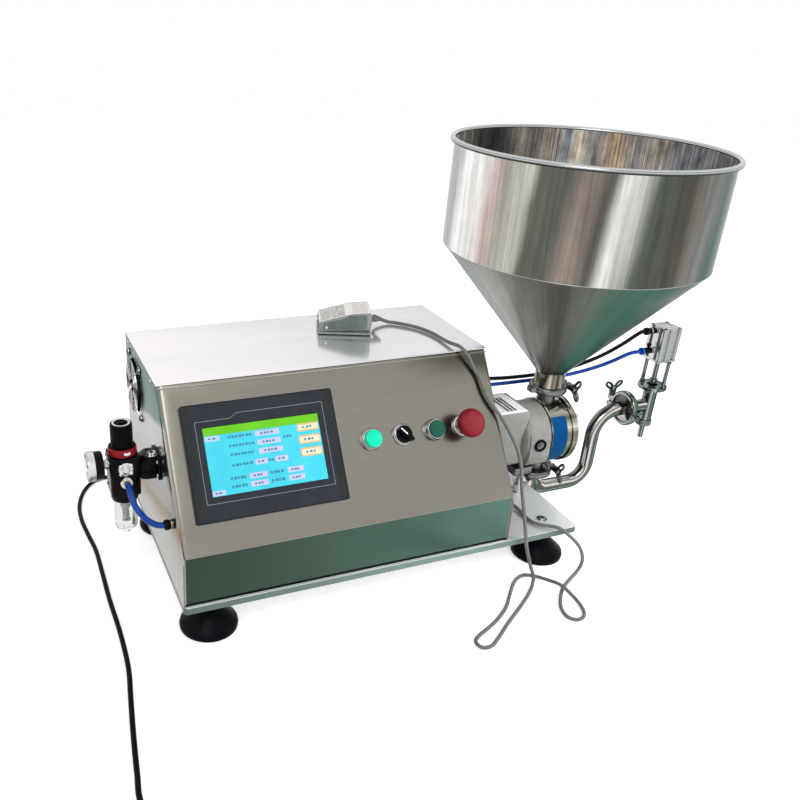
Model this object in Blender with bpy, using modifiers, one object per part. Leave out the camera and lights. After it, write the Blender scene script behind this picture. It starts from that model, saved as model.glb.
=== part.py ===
"""Tabletop rotary lobe paste filler: cabinet with touch screen, lobe pump, hopper and air-driven filling valve.

Machine frame: +X to the right along the cabinet's front, +Y to the back, +Z up, metres.
The machine frame's zero is the cabinet's front left corner on the floor. One empty moves it
so that the world origin lies on the floor at the middle of the machine's box without its cords.
"""

import math

import bmesh
import bpy
from mathutils import Matrix, Quaternion, Vector

# Shared fits
GAP = 0.0003                 # seat gap between pieces that touch
OVER = 0.004                 # overrun of every cutter
SINK = 0.0008                # how deep a joined shape reaches into its neighbour
MERGE = 0.00001
RELIEF = 0.0006              # room round a piece that turns or slides past another

# Base plate and levelling feet
PLATE_T = 0.010
PLATE_OVERHANG = 0.1225      # plate beyond the cabinet's right side
PLATE_REVEAL = 0.003         # plate in front of the cabinet and behind it
PLATE_CORNER = 0.004
FOOT_R = 0.0388
FOOT_RIM = 0.009
FOOT_NECK_R = 0.014
FOOT_NECK_Z = 0.030
FOOT_HEIGHT = 0.050
STUD_R = 0.005
FOOT_NUT_R = 0.0095
FOOT_NUT_H = 0.008
STUD_END = 0.003
FOOT_INSET_X = 0.0405
FOOT_INSET_Y = 0.034
PLATE_TOP = FOOT_HEIGHT + PLATE_T

# Cabinet
CAB_WIDTH = 0.4775
CAB_HEIGHT = 0.252
CAB_FLAT = 0.190             # depth of the flat top
SLOPE_RUN = 0.122            # how far the front leans back
SKIRT_H = 0.074
SHEET = 0.002
SHEET_BEND = 0.008
COVER_T = 0.002
LIP_H = 0.012
LIP_INSET = 0.010
SKIRT_RECESS = 0.0018
SKIRT_FLANGE = 0.015
CAB_DEPTH = SLOPE_RUN + CAB_FLAT
CAB_TOP = PLATE_TOP + CAB_HEIGHT
WRAP_TOP = CAB_TOP - COVER_T - GAP
SLOPE_ANGLE = math.atan2(CAB_HEIGHT - SKIRT_H, SLOPE_RUN)
PLATE_LENGTH = CAB_WIDTH + PLATE_OVERHANG
PLATE_DEPTH = CAB_DEPTH + 2 * PLATE_REVEAL

# Fan on the left side
FAN_SIDE = 0.080
FAN_DEPTH = 0.025
FAN_BORE_R = 0.038
FAN_HUB_R = 0.017
FAN_BLADE_R = 0.0365
FAN_BLADES = 7
FAN_BLADE_T = 0.0015
FAN_BLADE_PITCH = math.radians(38)
FAN_STATOR_R = 0.016
FAN_STATOR_DEPTH = 0.006
FAN_ARM = 0.005
FAN_ARM_T = 0.003
FAN_SCREW_SPACING = 0.0715
FAN_SCREW_R = 0.0022
FAN_FROM_BACK = 0.058
FAN_FROM_TOP = 0.057
FAN_Y = CAB_DEPTH - FAN_FROM_BACK
FAN_Z = CAB_TOP - FAN_FROM_TOP
GUARD_WIRE_R = 0.0010
GUARD_RING_SHARES = (0.5, 1.0)
GUARD_STAND = 0.0045
GUARD_EYE_R = 0.0045

# Touch screen on the sloped front; places on the slope run right and up from its lower left corner
SCREEN_WIDTH = 0.204
SCREEN_HEIGHT = 0.148
SCREEN_T = 0.006
SCREEN_CORNER = 0.004
SCREEN_LEFT = 0.0228
SCREEN_BOTTOM = 0.0365
SCREEN_BODY_MARGIN = 0.007
SCREEN_BODY_DEPTH = 0.032
GLASS_WIDTH = 0.154
GLASS_HEIGHT = 0.086
GLASS_T = 0.0012
GLASS_RECESS = 0.0018

# Operator controls
CONTROL_ROW = 0.1095         # height of the row up the slope
LAMP_SHARE = 0.1863          # places along the row, from the screen's edge to the cabinet's right side
SELECTOR_SHARE = 0.3777
START_SHARE = 0.5692
ESTOP_SHARE = 0.7487
ROW_START = SCREEN_LEFT + SCREEN_WIDTH
LAMP_U = ROW_START + LAMP_SHARE * (CAB_WIDTH - ROW_START)
SELECTOR_U = ROW_START + SELECTOR_SHARE * (CAB_WIDTH - ROW_START)
START_U = ROW_START + START_SHARE * (CAB_WIDTH - ROW_START)
ESTOP_U = ROW_START + ESTOP_SHARE * (CAB_WIDTH - ROW_START)
BARREL_R = 0.011
BARREL_DEPTH = 0.030
BEZEL_R = 0.0148
BEZEL_H = 0.0075
BEZEL_CHAMFER = 0.0012
CAP_R = 0.0118
CAP_H = 0.0125
CAP_DOME = 0.0022
CAP_STEM_R = 0.0085
CAP_STEM_DEPTH = 0.010
CAP_TRAVEL = 0.003
START_BEZEL_H = 0.0105
START_CAP_H = 0.0135
KNOB_R = 0.0125
KNOB_BASE_H = 0.005
GRIP_LENGTH = 0.026
GRIP_WIDTH = 0.0075
GRIP_H = 0.014
KNOB_REST = math.radians(-48)
ESTOP_R = 0.0200
ESTOP_STEM_R = 0.0088
ESTOP_COLLAR_H = 0.012
ESTOP_TRAVEL = 0.006
ESTOP_HEAD_T = 0.013
ESTOP_ROUND = 0.005

# Paste tube, and the pump's ports that it meets past the plate's end
PIPE_R = 0.011
PIPE_WALL = 0.0015
PIPE_CLEARANCE = 0.005
PORT_X = PLATE_LENGTH + PIPE_R + PIPE_CLEARANCE

# Lobe pump; its shafts run along +X
PUMP_Y = 0.140
PUMP_RISE = 0.092
PUMP_Z = PLATE_TOP + PUMP_RISE
BLOCK_HALF_WIDTH = 0.036
BLOCK_TOP = 0.055            # above the pump axis
BLOCK_BOTTOM = 0.0375        # below the pump axis
BLOCK_BEVEL = 0.004
PORT_INSET = 0.014           # port axis from the case's left face
FLANGE_LENGTH = 0.039
FLANGE_R = 0.050
CASE_X = PORT_X - PORT_INSET
FLANGE_X = CASE_X - FLANGE_LENGTH
CASE_R = 0.052
CASE_DEPTH = 0.036
CASE_WALL = 0.004
COVER_R = 0.0544
COVER_DEPTH = 0.012
COVER_ROUND = 0.003
COVER_NUTS = 4
COVER_NUT_R = 0.0055
COVER_NUT_H = 0.008
COVER_NUT_CIRCLE_SHARE = 0.82
ROTOR_SPACING = 0.034
ROTOR_LOBES = 3
ROTOR_STEPS = 7              # points on each arch of a lobe's outline
ROTOR_CLEAR = 0.0007
ROTOR_END_CLEAR = 0.0005
SHAFT_R = 0.006
IDLER_DEPTH = 0.030          # blind bore of the idler shaft in the gearbox
PORT_R = 0.009
STUB_R = 0.014
PORT_RISE = 0.073            # pump axis to either clamped joint
SIGHT_R = 0.0102
SIGHT_STAND = 0.0035
SIGHT_LENS_R = 0.0065
SIGHT_INSET = 0.0175
SIGHT_X = FLANGE_X + SIGHT_INSET
SUPPORT_HALF_SPAN = 0.036
SUPPORT_BEFORE = 0.010       # bar on either side of the flange's left face
SUPPORT_BEHIND = 0.022
SUPPORT_LEFT = FLANGE_X - SUPPORT_BEFORE
SUPPORT_RIGHT = FLANGE_X + SUPPORT_BEHIND
SUPPORT_BAR_H = 0.013
SUPPORT_STUD_R = 0.005
SUPPORT_NUT_R = 0.009
SUPPORT_NUT_H = 0.015
SUPPORT_STUD_INSET = 0.008
SUPPORT_STUD_REACH = 0.008
SUPPORT_STUD_X = FLANGE_X + SUPPORT_STUD_REACH

# Gearmotor and coupling inside the cabinet
COUPLING_R = 0.014
COUPLING_LENGTH = 0.028
COUPLING_INSET = 0.0365
COUPLING_X = CAB_WIDTH - COUPLING_INSET
MOTOR_SIDE = 0.060
GEARHEAD_LENGTH = 0.050
MOTOR_LENGTH = 0.086
MOTOR_BODY_R = 0.028
MOTOR_FOOT_WIDTH = 0.040
MOTOR_GAP_TO_COUPLING = 0.003
SHAFT_ENTRY = 0.012          # how far each shaft reaches into the coupling

# Clamped ferrule joints, 50.5 mm size
FERRULE_R = 0.02525
FERRULE_T = 0.0035
CLAMP_R = 0.0290
CLAMP_T = 0.011
CLAMP_LIP_R = 0.0236
CLAMP_GROOVE_R = 0.0261
CLAMP_LUG = 0.009
CLAMP_LUG_T = 0.008
CLAMP_LUG_SINK = 0.0022
CLAMP_SPLIT = 0.003
CLAMP_PIN_R = 0.0042
BOLT_R = 0.003
BOLT_LENGTH = 0.037
WING_HUB_R = 0.0060
WING_HUB_H = 0.018
WING_SPAN = 0.0165
WING_OUTLINE_SHARES = ((0.50, 0), (0.68, 0.6), (1.05, 1.0), (1.33, 0.92), (1.30, 0.66), (0.90, 0))
WING_ROOT_SHARE = 0.72
WING_T = 0.0028
WING_REST = math.radians(90)
BOLT_OFFSET = 0.0342

# Hopper
HOPPER_R = 0.1875
HOPPER_BEAD_R = 0.0040
HOPPER_WALL = 0.002
HOPPER_NECK_LENGTH = 0.028
HOPPER_CONE_LENGTH = 0.189
HOPPER_WALL_LENGTH = 0.1425
HOPPER_CONE_Z = PUMP_Z + PORT_RISE + HOPPER_NECK_LENGTH
HOPPER_BEND_Z = HOPPER_CONE_Z + HOPPER_CONE_LENGTH
HOPPER_RIM_Z = HOPPER_BEND_Z + HOPPER_WALL_LENGTH
NECK_R = 0.0229
HOPPER_SEGMENTS = 40

# Outlet pipe, bent from one tube
PIPE_DROP = 0.020            # axis of the low run under the plate's top
PIPE_RISE = 0.105
PIPE_RUN_LENGTH = 0.109
PIPE_TOP_LENGTH = 0.0565
PIPE_RUN_Z = PLATE_TOP - PIPE_DROP
PIPE_RISER_X = PORT_X + PIPE_RUN_LENGTH
PIPE_TOP_Z = PLATE_TOP + PIPE_RISE
PIPE_END_X = PIPE_RISER_X + PIPE_TOP_LENGTH
PIPE_BEND_FIRST = 0.026
PIPE_BEND_LOW = 0.034
PIPE_BEND_TOP = 0.040
PIPE_BEND_STEPS = 4

# Filling valve and its air cylinder
VALVE_INLET_LENGTH = 0.0485
VALVE_X = PIPE_END_X + VALVE_INLET_LENGTH
VALVE_R = 0.0110
VALVE_FOOT_DROP = 0.025
VALVE_BOTTOM_Z = PIPE_TOP_Z - VALVE_FOOT_DROP
VALVE_BORE_R = 0.0083
VALVE_FLANGE_R = 0.0230
VALVE_FLANGE_T = 0.0055
VALVE_FLANGE_RISE = 0.032
VALVE_FLANGE_Z = PIPE_TOP_Z + VALVE_FLANGE_RISE
COLLAR_R = 0.0125
COLLAR_H = 0.011
NOZZLE_R = 0.0045
NOZZLE_BORE_R = 0.0032
NOZZLE_LENGTH = 0.024
CYLINDER_SIDE = 0.036
CYLINDER_HEIGHT = 0.053
CYLINDER_RISE = 0.0865
CYLINDER_Z = PIPE_TOP_Z + CYLINDER_RISE
CYLINDER_GROOVE = 0.0042
CYLINDER_GROOVE_DEPTH = 0.0028
CYLINDER_GROOVE_SHARE = 0.24   # groove centres from the middle of a side
YOKE_PLATE_T = 0.004
YOKE_ROD_R = 0.003
YOKE_ROD_CIRCLE = 0.0185
YOKE_ROD_ANGLE = math.radians(-71)
PISTON_ROD_R = 0.0040
PISTON_NUT_R = 0.0065
PISTON_NUT_H = 0.005
PISTON_STROKE = 0.012
PLUNGER_R = 0.0078
FITTING_R = 0.0052
FITTING_LENGTH = 0.0245
FITTING_HIGH = 0.0475        # above the cylinder's lower end
FITTING_LOW = 0.0135
FITTING_COLLAR_R = 0.0062
FITTING_COLLAR_H = 0.006

# Air hoses held between the cabinet and the valve
HOSE_R = 0.0030
HOSE_INSIDE = 0.008          # length of hose inside the cabinet
HOSE_STRAIGHT = 0.006        # straight end at the fitting
HOSE_POINTS = 17
# Places on each hose as shares of the way from its hole in the cabinet to its fitting on the cylinder
BLACK_HOSE_SHARES = (
    (0.073, 0, -0.032), (0.208, 0, -0.121), (0.34, 0, -0.161),
    (0.492, 0, -0.169), (0.627, 0.012, -0.121), (0.737, 0.095, 0),
    (0.84, 0.333, 0.258), (0.911, 0.667, 0.605), (0.953, 0.917, 0.887),
)
BLUE_HOSE_SHARES = (
    (0.073, 0, -0.011), (0.215, 0, -0.045), (0.385, 0, -0.068),
    (0.524, 0, -0.08), (0.666, 0.024, -0.045), (0.789, 0.19, 0.148),
    (0.879, 0.524, 0.5), (0.944, 0.845, 0.886),
)
HOSE_BEHIND = 0.042          # holes behind the pump axis
BLACK_HOSE_RISE = 0.085       # holes above the pump axis
BLUE_HOSE_RISE = 0.069
HOSE_Y = PUMP_Y + HOSE_BEHIND
BLACK_HOSE_HOLE_Z = PUMP_Z + BLACK_HOSE_RISE
BLUE_HOSE_HOLE_Z = PUMP_Z + BLUE_HOSE_RISE

# Filter regulator on the left side
REG_X = -0.044
REG_Y = 0.125
REG_HALF = 0.019
REG_BEVEL = 0.005
REG_RISE = 0.108
REG_HEIGHT = 0.055
REG_BOTTOM_Z = PLATE_TOP + REG_RISE
REG_TOP_Z = REG_BOTTOM_Z + REG_HEIGHT
REG_SKIRT_R = 0.0170
REG_SKIRT_H = 0.011
REG_RING_R = 0.0180
REG_RING_H = 0.011
REG_NECK_R = 0.0125
REG_KNOB_R = 0.0138
REG_KNOB_H = 0.031
REG_PORT_RISE = 0.023
REG_PORT_Z = REG_BOTTOM_Z + REG_PORT_RISE
REG_PORT_R = 0.0085
REG_PORT_H = 0.006
BOWL_R = 0.0150
BOWL_WALL = 0.0018
BOWL_H = 0.046
DRAIN_R = 0.0045
DRAIN_H = 0.006
GAUGE_R = 0.0195
GAUGE_T = 0.014
GAUGE_ROUND = 0.0015
GAUGE_RISE = 0.041
GAUGE_Z = REG_BOTTOM_Z + GAUGE_RISE
GAUGE_STEM_R = 0.0055
GAUGE_STEM_LENGTH = 0.012
BRACKET_HALF_Y = 0.014
BRACKET_RISE_LOW = 0.018
BRACKET_RISE_HIGH = 0.049
BRACKET_Z_LOW = REG_BOTTOM_Z + BRACKET_RISE_LOW
BRACKET_Z_HIGH = REG_BOTTOM_Z + BRACKET_RISE_HIGH
BRACKET_PLATE_T = 0.003
BRACKET_PLATE_MARGIN = 0.007

# Blue hose from the regulator to the cabinet's left side
REG_HOSE_R = 0.0040
REG_HOSE_POINTS = 13
REG_FITTING_R = 0.0065
REG_FITTING_LENGTH = 0.010
REG_INLET_Y = 0.054
REG_INLET_RISE = 0.091
REG_INLET_Z = PLATE_TOP + REG_INLET_RISE
REG_HOSE_ROUTE = (
    (-0.0440, 0.0860, 0.1885), (-0.0408, 0.0722, 0.1745), (-0.0310, 0.0605, 0.1610), (-0.0200, 0.0555, 0.1535),
)

# Foot pedal that lies on the cabinet
PEDAL_X = 0.2610
PEDAL_Y = 0.2288
PEDAL_TURN = math.radians(-19.75)
PEDAL_LENGTH = 0.077
PEDAL_WIDTH = 0.0555
PEDAL_TOP = 0.036
PEDAL_EDGE = 0.0012
PEDAL_PLATE_T = 0.004
TREADLE_T = 0.0022
TREADLE_TOP_SHARES = ((1.0, 1.0), (0.64, 0.92), (0.40, 0.785), (0.0, 0.54))
TREADLE_LOW_LEFT = 0.0055
TREADLE_LOW_RIGHT = 0.0095
TREADLE_SWING = math.radians(3)
PIN_X = 0.010
PIN_Z = 0.0105
PIN_R = 0.0016
PEDAL_BLOCK_LEFT = 0.050
PEDAL_BLOCK_TOP_SHARE = 0.70
PEDAL_LUG_LEFT = 0.005
PEDAL_LUG_RIGHT = 0.016
PEDAL_LUG_TOP = 0.014
PEDAL_BOSS_R = 0.0050
PEDAL_BOSS_END_R = 0.0036
PEDAL_BOSS_LENGTH = 0.012
PEDAL_BOSS_Z = 0.017

# Pedal cord, its ends and its route over the cabinet, down the front and back along the floor
CORD_R = 0.0026
CORD_STRAIGHT = 0.006        # straight end at a gland
CORD_POINTS = 64
GLAND_R = 0.0085
GLAND_END_R = 0.0055
GLAND_LENGTH = 0.018
GLAND_THREAD_R = 0.0060
GLAND_INSIDE = 0.008
PEDAL_GLAND_Y = 0.095
PEDAL_GLAND_RISE = 0.014
PEDAL_GLAND_Z = PLATE_TOP + PEDAL_GLAND_RISE
PEDAL_CORD_ROUTE = (
    (0.3600, 0.2500, 0.3250), (0.3780, 0.2460, 0.3165), (0.3950, 0.2350, 0.3152), (0.4140, 0.2130, 0.3152),
    (0.4245, 0.1850, 0.3152), (0.4272, 0.1550, 0.3156), (0.4285, 0.1370, 0.3172), (0.4325, 0.1210, 0.3182),
    (0.4380, 0.1120, 0.3120), (0.4430, 0.1070, 0.3030), (0.4490, 0.1010, 0.2890), (0.4545, 0.0935, 0.2790), (0.4580, 0.0820, 0.2620),
    (0.4650, 0.0720, 0.2475), (0.4760, 0.0610, 0.2310), (0.4860, 0.0490, 0.2120), (0.4940, 0.0340, 0.1890),
    (0.4970, 0.0225, 0.1660), (0.4960, 0.0110, 0.1360), (0.4975, 0.0000, 0.1050), (0.5000, -0.0080, 0.0760),
    (0.5030, -0.0120, 0.0540), (0.5080, -0.0160, 0.0330), (0.5120, -0.0210, 0.0165), (0.5105, -0.0310, 0.0095),
    (0.5020, -0.0420, 0.0055), (0.4890, -0.0540, 0.0029), (0.4620, -0.0740, 0.0029), (0.4230, -0.1000, 0.0029),
    (0.3910, -0.1230, 0.0029), (0.3740, -0.1330, 0.0029), (0.3610, -0.1310, 0.0029), (0.3590, -0.1190, 0.0029),
    (0.3700, -0.1100, 0.0029), (0.3900, -0.1010, 0.0029), (0.4130, -0.0890, 0.0029), (0.4380, -0.0710, 0.0029),
    (0.4600, -0.0480, 0.0029), (0.4810, -0.0270, 0.0029), (0.5010, -0.0170, 0.0029), (0.5170, -0.0230, 0.0029),
    (0.5270, -0.0420, 0.0070), (0.5340, -0.0640, 0.0118), (0.5400, -0.0850, 0.0065), (0.5410, -0.1030, 0.0029),
    (0.5330, -0.1210, 0.0029), (0.5190, -0.1270, 0.0029), (0.5080, -0.1180, 0.0029), (0.5100, -0.1010, 0.0029),
    (0.5210, -0.0830, 0.0029), (0.5400, -0.0630, 0.0029), (0.5620, -0.0490, 0.0029), (0.5800, -0.0400, 0.0050),
    (0.5920, -0.0350, 0.0150), (0.5945, -0.0300, 0.0280), (0.5880, -0.0245, 0.0430), (0.5740, -0.0165, 0.0580),
    (0.5620, -0.0080, 0.0670), (0.5520, 0.0010, 0.0675), (0.5420, 0.0110, 0.0655), (0.5360, 0.0240, 0.0640),
    (0.5350, 0.0420, 0.0635), (0.5360, 0.0600, 0.0645), (0.5320, 0.0760, 0.0665), (0.5220, 0.0880, 0.0705),
    (0.5090, 0.0940, 0.0735),
)

# Mains lead, its coil and its plug
LEAD_R = 0.0033
LEAD_POINTS = 37
MAINS_GLAND_X = 0.060
MAINS_GLAND_RISE = 0.035
MAINS_GLAND_Z = PLATE_TOP + MAINS_GLAND_RISE
LEAD_ROUTE = (
    (0.0600, 0.3440, 0.0935), (0.0585, 0.3580, 0.0800), (0.0540, 0.3760, 0.0510), (0.0460, 0.3960, 0.0220),
    (0.0330, 0.4150, 0.0060), (0.0120, 0.4320, 0.0035), (-0.0150, 0.4430, 0.0035), (-0.0430, 0.4360, 0.0035),
    (-0.0640, 0.4080, 0.0035), (-0.0770, 0.3680, 0.0035), (-0.0800, 0.3250, 0.0035), (-0.0765, 0.2780, 0.0035),
    (-0.0725, 0.2350, 0.0035), (-0.0730, 0.1740, 0.0035), (-0.0738, 0.1160, 0.0035), (-0.0728, 0.0580, 0.0035),
    (-0.0738, 0.0060, 0.0035), (-0.0763, -0.0290, 0.0035), (-0.0825, -0.0700, 0.0035),
    (-0.0905, -0.1250, 0.0035), (-0.0975, -0.1800, 0.0035), (-0.1010, -0.2200, 0.0035),
)
COIL_X = -0.1330
COIL_Y = -0.3000
COIL_TURNS = 3
COIL_LOOP_POINTS = 24
COIL_MID_R = 0.0385
COIL_PITCH = 0.0074
COIL_LAYER = 0.0072
COIL_LEAD_OUT = 0.0066
COIL_TAIL = 0.040            # straight end that carries the plug clear of the loops
PLUG_LENGTH = 0.036
PLUG_WIDTH = 0.026
PLUG_H = 0.020
PLUG_TAPER = 0.014
PLUG_TAPER_END_R = 0.0045
PLUG_PIN_LENGTH = 0.018
PLUG_PIN_WIDTH = 0.0062
PLUG_PIN_T = 0.0018
PLUG_PIN_SPACING = 0.0127
PLUG_ROUND = 0.003

# World origin: middle of the machine's box, on the floor
GAUGE_FACE_X = REG_X - REG_HALF - GAP - GAUGE_STEM_LENGTH - GAUGE_T
ORIGIN_X = (GAUGE_FACE_X + VALVE_X + VALVE_FLANGE_R) / 2
ORIGIN_Y = PUMP_Y

UP = Vector((0, 0, 1))
RIGHT = Vector((1, 0, 0))
BACK = Vector((0, 1, 0))
STAND_UP = Quaternion(RIGHT, math.pi / 2)


# Scene, collections and materials
def clear_scene():
    for obj in list(bpy.data.objects):
        bpy.data.objects.remove(obj, do_unlink=True)


def new_collection(name):
    collection = bpy.data.collections.new(name)
    bpy.context.scene.collection.children.link(collection)
    return collection


def make_material(name, colour, roughness, metallic):
    material = bpy.data.materials.new(name)
    material.use_nodes = True
    shader = material.node_tree.nodes["Principled BSDF"]
    shader.inputs["Base Color"].default_value = (*colour, 1)
    shader.inputs["Roughness"].default_value = roughness
    shader.inputs["Metallic"].default_value = metallic
    return material


def make_empty(name, location, rotation=(0, 0, 0), parent=None):
    empty = bpy.data.objects.new(name, None)
    parts.objects.link(empty)
    empty.parent = parent
    empty.location = location
    empty.rotation_euler = rotation
    return empty


def place(name, data, parent, location=(0, 0, 0), turn=None, tool=False):
    obj = bpy.data.objects.new(name, data)
    (tools if tool else parts).objects.link(obj)
    obj.parent = parent
    obj.location = location
    obj.rotation_mode = "QUATERNION"
    obj.rotation_quaternion = turn or Quaternion()
    if tool:
        obj.hide_render = True
        obj.display_type = "WIRE"
    return obj


def finish(obj, colour, roughness, metallic):
    obj.data.materials.append(make_material(obj.name, colour, roughness, metallic))
    if obj.type == "MESH":
        obj.data.shade_smooth()
        obj.data.set_sharp_from_angle(angle=math.radians(30))
    return obj


# Shapes
def mesh_from(name, bm):
    mesh = bpy.data.meshes.new(name)
    bmesh.ops.recalc_face_normals(bm, faces=bm.faces)
    bm.to_mesh(mesh)
    bm.free()
    return mesh


def turn_to(direction):
    return Vector(direction).to_track_quat("Z", "Y")


def box(name, parent, low, high, tool=False, bevel=0, edges=None, segments=2):
    """Box between two corners; bevel rounds every edge, or those along the given local axis."""
    low = Vector(low)
    high = Vector(high)
    size = high - low
    bm = bmesh.new()
    bmesh.ops.create_cube(bm, size=1)
    bmesh.ops.scale(bm, vec=size, verts=bm.verts)
    if bevel:
        chosen = [e for e in bm.edges if edges is None or runs_along(e, edges)]
        bmesh.ops.bevel(bm, geom=chosen, offset=bevel, segments=segments, profile=0.5, affect="EDGES")
    return place(name, mesh_from(name, bm), parent, (low + high) / 2, tool=tool)


def runs_along(edge, axis):
    along = (edge.verts[1].co - edge.verts[0].co).normalized()
    return abs(along["XYZ".index(axis)]) > 0.99


def rod(name, parent, start, end, radius, segments=16, end_radius=None, tool=False):
    """Cylinder, cone or hexagon between two points."""
    start = Vector(start)
    end = Vector(end)
    bm = bmesh.new()
    bmesh.ops.create_cone(bm, cap_ends=True, segments=segments, radius1=radius,
                          radius2=radius if end_radius is None else end_radius, depth=(end - start).length)
    return place(name, mesh_from(name, bm), parent, (start + end) / 2, turn_to(end - start), tool)


def turned(name, parent, profile, foot, direction=UP, segments=24, closed=False, tool=False):
    """Profile of (radius, height) points, top to bottom down its outer side, turned about direction."""
    mesh = bpy.data.meshes.new(name)
    points = [(r, 0, z) for r, z in profile]
    edges = [(i, i + 1) for i in range(len(points) - 1)]
    if closed:
        edges.append((len(points) - 1, 0))
    mesh.from_pydata(points, edges, [])
    obj = place(name, mesh, parent, foot, turn_to(direction), tool)
    screw = obj.modifiers.new("turn", "SCREW")
    screw.steps = segments
    screw.render_steps = segments
    screw.use_merge_vertices = True
    screw.merge_threshold = MERGE
    screw.use_smooth_shade = True
    return obj


def as_mesh(obj, flat=False):
    """Replace a curve object with its evaluated mesh, so that it can be cut and joined; flat caps become one face."""
    bpy.context.view_layer.update()
    graph = bpy.context.evaluated_depsgraph_get()
    mesh = bpy.data.meshes.new_from_object(obj.evaluated_get(graph))
    bm = bmesh.new()
    bm.from_mesh(mesh)
    bmesh.ops.remove_doubles(bm, verts=bm.verts, dist=MERGE)
    bmesh.ops.recalc_face_normals(bm, faces=bm.faces)
    if flat:
        bmesh.ops.dissolve_limit(bm, angle_limit=math.radians(1), verts=[], edges=bm.edges)
    bm.to_mesh(mesh)
    bm.free()
    name = obj.name
    parent = obj.parent
    matrix = obj.matrix_world.copy()
    tool = obj.display_type == "WIRE"
    bpy.data.objects.remove(obj, do_unlink=True)
    solid = place(name, mesh, parent, tool=tool)
    solid.matrix_world = matrix
    return solid


def slab(name, parent, outline, thickness, centre, turn=None, tool=False):
    """Flat closed outline with a thickness, as a filled 2D curve made into a mesh."""
    curve = bpy.data.curves.new(name, "CURVE")
    curve.dimensions = "2D"
    curve.fill_mode = "BOTH"
    curve.extrude = thickness / 2
    spline = curve.splines.new("POLY")
    spline.points.add(len(outline) - 1)
    for point, (x, y) in zip(spline.points, outline):
        point.co = (x, y, 0, 1)
    spline.use_cyclic_u = True
    return as_mesh(place(name, curve, parent, centre, turn, tool), flat=True)


def tube(name, parent, points, radius, resolution=2, tool=False):
    """Round bar along points, a POLY curve with filled caps."""
    curve = bpy.data.curves.new(name, "CURVE")
    curve.dimensions = "3D"
    curve.bevel_depth = radius
    curve.bevel_resolution = resolution
    curve.use_fill_caps = True
    spline = curve.splines.new("POLY")
    spline.points.add(len(points) - 1)
    for point, co in zip(spline.points, points):
        point.co = (*co, 1)
    return place(name, curve, parent, tool=tool)


def smooth_route(route, count):
    """Evenly spaced points on a smooth curve through the route's points."""
    knots = [Vector(p) for p in route]
    knots = [2 * knots[0] - knots[1]] + knots + [2 * knots[-1] - knots[-2]]
    fine = []
    for before, start, end, after in zip(knots, knots[1:], knots[2:], knots[3:]):
        for step in range(12):
            t = step / 12
            fine.append(0.5 * (2 * start + (end - before) * t
                               + (2 * before - 5 * start + 4 * end - after) * t ** 2
                               + (3 * start - before - 3 * end + after) * t ** 3))
    fine.append(knots[-2])
    reach = [0]
    for a, b in zip(fine, fine[1:]):
        reach.append(reach[-1] + (b - a).length)
    spaced = []
    index = 0
    for step in range(count):
        target = reach[-1] * step / (count - 1)
        while index < len(fine) - 2 and reach[index + 1] < target:
            index += 1
        share = (target - reach[index]) / (reach[index + 1] - reach[index])
        spaced.append(fine[index].lerp(fine[index + 1], min(share, 1)))
    return spaced


def route_between(start, out, route, end, back, count):
    """Smooth route with a straight stretch at either end, so that each end face meets its fitting squarely."""
    return [start, *smooth_route([start + out, *route, end + back], count), end]


def boolean(obj, other, operation):
    modifier = obj.modifiers.new(other.name, "BOOLEAN")
    modifier.operation = operation
    modifier.solver = "EXACT"
    modifier.object = other
    return obj


def cut(obj, *cutters):
    for cutter in cutters:
        boolean(obj, cutter, "DIFFERENCE")
    return obj


def join(obj, *others):
    for other in others:
        boolean(obj, other, "UNION")
    return obj


def arc(centre, radius, start, end, steps):
    """Points of an arc in a plane, angles in degrees."""
    angles = [math.radians(start + (end - start) * i / steps) for i in range(steps + 1)]
    return [(centre[0] + radius * math.cos(a), centre[1] + radius * math.sin(a)) for a in angles]


# Base
def base_plate():
    low = (0, -PLATE_REVEAL, FOOT_HEIGHT)
    high = (PLATE_LENGTH, PLATE_DEPTH - PLATE_REVEAL, PLATE_TOP)
    plate = box("base_plate", machine, low, high, bevel=PLATE_CORNER, edges="Z", segments=1)
    for i, (x, y) in enumerate(foot_places()):
        cut(plate, rod(f"plate_hole_{i}", machine, (x, y, FOOT_HEIGHT - OVER), (x, y, PLATE_TOP + OVER),
                       STUD_R + GAP, 10, tool=True))
    return finish(plate, (0.72, 0.72, 0.75), 0.35, 0.9)


def foot_places():
    right = PLATE_LENGTH - FOOT_INSET_X
    front = FOOT_INSET_Y - PLATE_REVEAL
    back = PLATE_DEPTH - PLATE_REVEAL - FOOT_INSET_Y
    return (FOOT_INSET_X, front), (right, front), (FOOT_INSET_X, back), (right, back)


def levelling_foot(name, x, y):
    """Round pad with a stud through the plate and a lock nut that the plate rests on."""
    lock = FOOT_HEIGHT - GAP
    top = PLATE_TOP + STUD_END
    profile = [(0, top), (STUD_R, top), (STUD_R, lock), (FOOT_NUT_R, lock), (FOOT_NUT_R, lock - FOOT_NUT_H),
               (STUD_R, lock - FOOT_NUT_H), (STUD_R, FOOT_NECK_Z), (FOOT_NECK_R, FOOT_NECK_Z), (FOOT_R, FOOT_RIM),
               (FOOT_R, 0), (0, 0)]
    foot = turned(name, machine, profile, (x, y, 0), segments=16)
    return finish(foot, (0.03, 0.03, 0.035), 0.6, 0)


# Cabinet
def slope_y(z):
    """Front face of the cabinet at a height above the plate, zero on the skirt."""
    return max(0, (z - SKIRT_H) * SLOPE_RUN / (CAB_HEIGHT - SKIRT_H))


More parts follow.
